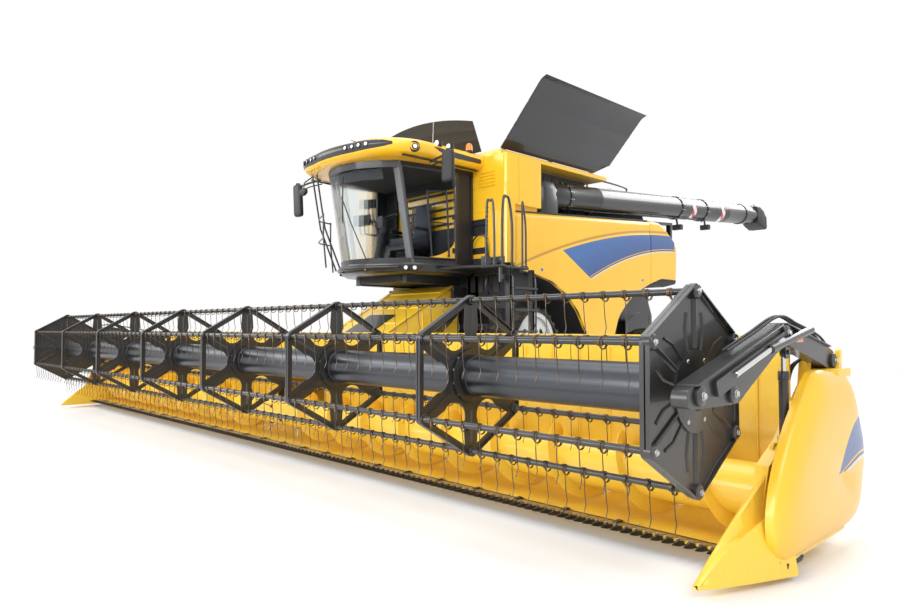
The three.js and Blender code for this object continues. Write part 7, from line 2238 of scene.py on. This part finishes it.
# %% Feeder house
HOUSE_HALF, HOUSE_FRONT = 0.65, -2.74
house = Shape()
house_side = [(-0.54, 1.34), (-0.54, 2.11), (-0.64, 2.12), (HOUSE_FRONT, 0.96), (HOUSE_FRONT, 0.3),
    (HOUSE_FRONT + 0.06, 0.29)]
for _, side in SIDES:
    low, high = sorted((side * (HOUSE_HALF - 0.02), side * HOUSE_HALF))
    house.use(0).plate(house_side, "x", low, high)
    # pressed ribs, a folded edge and the drive shield with its bolts
    for share in (0.2, 0.45, 0.7):
        y = HOUSE_FRONT + 0.1 + share * 2.0
        top, bottom = 0.96 + (y - HOUSE_FRONT) * 0.552, 0.32 + (y - HOUSE_FRONT) * 0.48
        house.tube([(side * (HOUSE_HALF + 0.002), y, bottom + 0.05),
            (side * (HOUSE_HALF + 0.002), y, top - 0.05)], 0.012, 8)
    top_fold = [(HOUSE_FRONT, 0.962), (-0.64, 2.122)]
    house.plate(thick_line(top_fold, 0.008), "x", side * (HOUSE_HALF - 0.05), side * (HOUSE_HALF + 0.035))
    house.use(1).turned([(0.0, 0.0), (0.24, 0.0), (0.25, 0.01), (0.25, 0.04), (0.23, 0.05), (0.0, 0.05)],
        (side * (HOUSE_HALF + 0.001), -2.35, 0.78), "x", 40, side)
    for k in range(6):
        a = TAU * k / 6
        house.use(2).bolt((side * (HOUSE_HALF + 0.05), -2.35 + 0.2 * math.cos(a), 0.78 + 0.2 * math.sin(a)),
            "x", 0.012, side)
    house.use(0).turned([(0.0, 0.0), (0.06, 0.0), (0.06, 0.0497), (0.0, 0.0497)],
        (side * HOUSE_HALF, -0.62, 2.0), "x", 24, side)
house.use(0).plate([(-0.64, 2.12), (HOUSE_FRONT, 0.96), (HOUSE_FRONT, 0.935), (-0.64, 2.095)], "x",
    -HOUSE_HALF, HOUSE_HALF)
house.plate([(-0.54, 1.34), (HOUSE_FRONT + 0.06, 0.29), (HOUSE_FRONT + 0.06, 0.315), (-0.54, 1.365)], "x",
    -HOUSE_HALF, HOUSE_HALF)
house.plate([(-0.64, 2.12), (-0.54, 2.11), (-0.54, 2.07), (-0.64, 2.09)], "x", -HOUSE_HALF, HOUSE_HALF)
for k in range(5):
    y = -2.5 + k * 0.42
    z = 0.962 + (y - HOUSE_FRONT) * 0.5524
    house.tube([(-HOUSE_HALF + 0.06, y, z), (HOUSE_HALF - 0.06, y, z)], 0.012, 8)
# inspection lid with handles
lid = [(x, y, 0.967 + (y - HOUSE_FRONT) * 0.5524 + up) for up in (0.0, 0.012) for x,
    y in ((-0.3, -1.95), (0.3, -1.95), (0.3, -1.45), (-0.3, -1.45))]
house.use(1).rings([lid[:4], lid[4:]])
# front frame that latches to the header
frame_out = [(-0.65, 0.296), (0.65, 0.296), (0.65, 0.96), (-0.65, 0.96)]
frame_in = [(-0.59, 0.34), (0.59, 0.34), (0.59, 0.9), (-0.59, 0.9)]
house.use(1).cut_plate(frame_out, [frame_in], "y", -2.8257, HOUSE_FRONT)
for x in (-0.61, -0.3, 0.0, 0.3, 0.61):
    house.use(2).bolt((x, HOUSE_FRONT, 0.93), "y", 0.014, 1)
# hoses from the body to the header
for k in range(4):
    x = 0.7 + 0.03 * k
    hose = [(x, -0.6, 1.75), (x + 0.02, -1.1, 1.45 - 0.02 * k), (x + 0.02, -1.8, 1.15),
        (x, -2.5, 0.92 - 0.03 * k), (x - 0.03, -2.72, 0.95)]
    house.use(3).tube(smooth_path([Vector(p) for p in hose], 6), 0.012, 8)
piece("feeder_house_box", house, "feeder", [header_yellow, black, steel, plastic], ["feeder_house"],
    smooth=30, bevel=0.002)
print("feeder house ready")

# %% Feeder lift cylinders
LIFT_LOW, LIFT_HIGH = Vector((0, -0.33, 0.64)), Vector((0, -1.95, 0.52))


def lift_at(share, x):
    p = LIFT_LOW + (LIFT_HIGH - LIFT_LOW) * share
    return (x, p.y, p.z)


jackets, rods = Shape(), Shape()
for _, side in SIDES:
    x = side * 0.45
    jackets.use(0).tube([lift_at(s, x) for s in (0.03, 0.04, 0.56, 0.565, 0.6)],
        [0.05, 0.055, 0.055, 0.06, 0.06], 28)
    jackets.tube([(x - 0.045, LIFT_LOW.y, LIFT_LOW.z), (x + 0.045, LIFT_LOW.y, LIFT_LOW.z)], 0.052, 20)
    jackets.use(1).tube([lift_at(0.52, x + 0.05), lift_at(0.52, x + 0.08), lift_at(0.1, x + 0.08)], 0.01, 8)
    rods.use(0).tube([lift_at(s, x) for s in (0.16, 0.97)], 0.0315, 28)
    rods.use(1).tube([(x - 0.06, LIFT_HIGH.y, LIFT_HIGH.z), (x + 0.06, LIFT_HIGH.y, LIFT_HIGH.z)], 0.05, 20)
jackets.use(1).tube([(-0.57, LIFT_LOW.y, LIFT_LOW.z), (0.57, LIFT_LOW.y, LIFT_LOW.z)], 0.0295, 20)
rods.use(1).tube([(-0.57, LIFT_HIGH.y, LIFT_HIGH.z), (0.57, LIFT_HIGH.y, LIFT_HIGH.z)], 0.0295, 20)
piece("lift_cylinder_jackets", jackets, "lift_barrels", [black, steel], ["lift_barrels"])
piece("lift_cylinder_rods", rods, "lift_rods", [chrome, steel], ["lift_rods"])
print("lift cylinders ready")

# %% [markdown]
# ## The threshing body and the deck
# Behind the panels the body is a dark box with doors, belts and pulleys. Under its rear hangs the straw
# hood. The arch behind the track is a curved black liner that shows above the belt.

# %% Threshing body
hull_shape = Shape()
section = [(-0.6, 1.1803), (0.6, 1.1803), (0.6, 1.56), (1.0, 1.8), (1.0, 2.361), (-1.0, 2.361), (-1.0, 1.8),
    (-0.6, 1.56)]
hull_shape.use(0).plate(section, "y", -0.44, 4.1)
hood_line = [(4.0, 1.1803), (4.52, 1.1803), (4.7, 1.08), (5.0, 1.18), (5.0, 1.75), (4.7, 2.36),
    (4.0, 2.361)]
hull_shape.plate(hood_line, "x", -0.735, 0.735)
hull_shape.use(1).block((-1.56, -0.38, 2.36), (1.56, 4.38, 2.42))
for _, side in SIDES:
    hull_shape.use(0).block((min(side * 0.48, side * 0.6), -1.5, 2.14),
        (max(side * 0.48, side * 0.6), -0.439, 2.2497))
    low, high = sorted((side * 0.7, side * 0.76))
    hull_shape.block((low, -0.72, 1.85), (high, -0.439, 2.1))
    # hinge rail of the side panel, on its posts
    x0, x1 = sorted((side * 1.49, side * 1.5857))
    rail = [(0.8, panel_top(0.8) - 0.062), (0.8, panel_top(0.8) - 0.012), (4.3, panel_top(4.3) - 0.012),
        (4.3, panel_top(4.3) - 0.062)]
    hull_shape.plate(rail, "x", x0, x1)
    for y in (0.8, 2.0, 3.28, 4.24):
        hull_shape.block((min(side * 1.49, side * 1.58), y, 2.36),
            (max(side * 1.49, side * 1.58), y + 0.06, panel_top(y) - 0.027))
    # wheel house liners
    front_liner = [(-0.36, 2.33), (0.05, 2.3), (0.5, 2.2), (0.88, 2.02), (1.18, 1.77), (1.41, 1.44),
        (1.49, 1.1)]
    rear_liner = [(2.19, 1.1), (2.27, 1.44), (2.36, 1.69), (2.57, 1.89), (2.85, 2.1), (3.4, 2.3),
        (4.3, 2.36)]
    for line in (front_liner, rear_liner):
        hull_shape.use(2).plate(thick_line(smooth_path([Vector(p) for p in line], 5), 0.012), "x",
            side * 1.0, side * 1.575)
    # guards, doors and pulleys on the body's side
    for y, z, r in ((1.9, 1.9, 0.3), (2.5, 2.1, 0.18), (1.2, 2.12, 0.16)):
        hull_shape.use(3).turned([(0.0, 0.0), (r * 0.3, 0.0), (r * 0.3, 0.05), (r * 0.5, 0.03),
            (r * 0.9, 0.03), (r, 0.06), (r * 0.94, 0.045), (r, 0.03), (r * 0.94, 0.015), (r, 0.0)],
            (side * 1.001, y, z), "x", 36, side)
    for k in range(3):
        hull_shape.use(0).tube([(side * 0.61, -0.3 + k * 1.3, 1.3), (side * 0.61, 0.8 + k * 1.3, 1.3),
            (side * 0.61, 0.8 + k * 1.3, 1.5), (side * 0.61, -0.3 + k * 1.3, 1.5)], 0.012, 6, closed=True)
for k in range(6):
    z = 1.3 + k * 0.16
    hull_shape.use(0).tube([(-0.7, 4.98 if z < 1.75 else 4.98 - (z - 1.75) * 0.49, z),
        (0.7, 4.98 if z < 1.75 else 4.98 - (z - 1.75) * 0.49, z)], 0.018, 8)
# side lockers and boxes between the cab and the track, as seen under the tower
hull_shape.use(2).block((0.78, -0.44, 1.95), (1.5, 0.1, 2.33))
hull_shape.use(0).tube([(1.2, -0.46, 1.98), (1.2, -0.5, 2.1), (1.2, -0.46, 2.3)], 0.014, 8)
for k in range(4):
    hull_shape.use(1).block((0.84 + 0.16 * k, -0.452, 2.02), (0.94 + 0.16 * k, -0.438, 2.26))
piece("threshing_body_skin", hull_shape, "machine", [black, frame_grey, plastic, steel], ["threshing_body"],
    smooth=35)
print("threshing body ready")

# %% [markdown]
# ## The driver's seat
# Cushion and back are padded. Each starts as a slightly smaller rounded block, is remeshed, and is then
# blown up a little as cloth with pressure and no gravity. A cap on how far a point may move keeps the seat
# in its place. The seams are laid on afterwards as thin piping.

# %% Seat
PAD_VOXEL, PAD_CAP = 0.006, 0.012
PAD_FRAMES, PAD_PRESSURE = 20, 4.0


def loft_block(shape, low, high, corner, crown, lean=0.0):
    """A soft block of rounded loops."""
    steps_up = 8
    cx, cy = (low[0] + high[0]) / 2, (low[1] + high[1]) / 2
    hx, hy = (high[0] - low[0]) / 2, (high[1] - low[1]) / 2
    rings = []
    for k in range(steps_up + 1):
        t = k / steps_up
        swell = 1 - crown * abs(2 * t - 1) ** 3
        z = low[2] + (high[2] - low[2]) * t
        loop_line = rounded([(-hx * swell, -hy * swell), (hx * swell, -hy * swell),
            (hx * swell, hy * swell), (-hx * swell, hy * swell)], corner, 5)
        rings.append([(cx + a, cy + b + lean * (z - low[2]), z) for a, b in loop_line])
    return shape.rings(rings)


def inflate(pad, voxel, cap):
    """Blows a pad up as cloth, with every point held within cap of where it started."""
    remesh = pad.modifiers.new("remesh", "REMESH")
    remesh.mode = "VOXEL"
    remesh.voxel_size = voxel
    bake = bpy.data.meshes.new_from_object(pad.evaluated_get(bpy.context.evaluated_depsgraph_get()))
    pad.modifiers.clear()
    pad.data = bake
    start = [v.co.copy() for v in bake.vertices]
    cloth = pad.modifiers.new("cloth", "CLOTH")
    cloth.settings.quality = 5
    cloth.settings.mass = 0.3
    cloth.settings.tension_stiffness = 12
    cloth.settings.compression_stiffness = 12
    cloth.settings.bending_stiffness = 0.6
    cloth.settings.use_pressure = True
    cloth.settings.uniform_pressure_force = PAD_PRESSURE
    cloth.settings.effector_weights.gravity = 0.0
    scene = bpy.context.scene
    for number in range(1, PAD_FRAMES + 1):
        scene.frame_set(number)
    blown = bpy.data.meshes.new_from_object(pad.evaluated_get(bpy.context.evaluated_depsgraph_get()))
    pad.modifiers.clear()
    scene.frame_set(1)
    for vertex, old in zip(blown.vertices, start):
        move = vertex.co - old
        if move.length > cap:
            vertex.co = old + move.normalized() * cap
    pad.data = blown
    blown.shade_smooth()
    return pad


def pad_piece(name, low, high, corner, crown, lean=0.0):
    shape = loft_block(Shape(), low, high, corner, crown, lean)
    made = piece(name, shape, "machine", [seat_cloth], ["operator_seat"], smooth=80)
    inflate(made, PAD_VOXEL, PAD_CAP)
    made.data.materials.clear()
    made.data.materials.append(seat_cloth)
    return made


pad_piece("seat_cushion", (-0.25, -1.17, 2.75), (0.25, -0.7, 2.85), 0.08, 0.12)
pad_piece("seat_back", (-0.235, -0.75, 2.87), (0.235, -0.66, 3.42), 0.045, 0.1, 0.06)
rest = Shape()
# suspension bellows, pan, frame, armrests and piping
for k in range(6):
    z = 2.41 + k * 0.045
    rest.use(1).rings([[(0.15 * s * a, -0.93 + 0.16 * s * b, z + dz) for a,
        b in ((-1, -1), (1, -1), (1, 1), (-1, 1))] for s, dz in ((0.92, 0.0), (1.0, 0.022), (0.92, 0.044))])
rest.use(1).plate(rounded([(-0.24, -1.16), (0.24, -1.16), (0.24, -0.7), (-0.24, -0.7)], 0.06), "z", 2.68,
    2.735)
rest.plate(rounded([(-0.7, 2.73), (-0.655, 2.73), (-0.635, 3.4), (-0.66, 3.4)], 0.01), "x", -0.16, 0.16)
for side in (-1, 1):
    rest.tube([(side * 0.28, -0.7, 2.9), (side * 0.28, -0.74, 2.98), (side * 0.28, -1.08, 3.0)],
        [0.018, 0.026, 0.03], 12)
piping = rounded([(-0.235, -1.155), (0.235, -1.155), (0.235, -0.71), (-0.235, -0.71)], 0.075, 6)
rest.use(0).tube([(x, y, 2.85) for x, y in piping], 0.005, 6, closed=True)
rest.use(2).tube(smooth_path([Vector(p) for p in ((-0.22, -0.72, 3.3), (-0.18, -0.8, 3.05),
    (0.1, -0.86, 2.9), (0.24, -0.78, 2.88))], 6), 0.012, 6, flat=0.3)
piece("seat_frame", rest, "machine", [trim_grey, plastic, dark_panel], (), smooth=40)
print("seat ready")

# %% [markdown]
# ## Finishes of the plain parts
# Some parts of the frame already have their real shape: the chassis, the rear axle, its knuckles, the
# spreaders and the engine. They stay as they are and only get a finish.

# %% Plain parts
FINISHES = {"main_frame": black, "rear_axle": black, "engine_block": iron,
    "steering_knuckle_left": frame_grey,
            "steering_knuckle_right": frame_grey, "straw_spreader_left": dark_steel,
                "straw_spreader_right": dark_steel}
for node_name, finish in FINISHES.items():
    node_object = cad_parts[node_name]
    for material_slot in node_object.material_slots:
        material_slot.material = finish
left_out = sorted(n for n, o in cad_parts.items() if not o.hide_render and n not in FINISHES)
print("plain parts finished; still bare:", left_out)
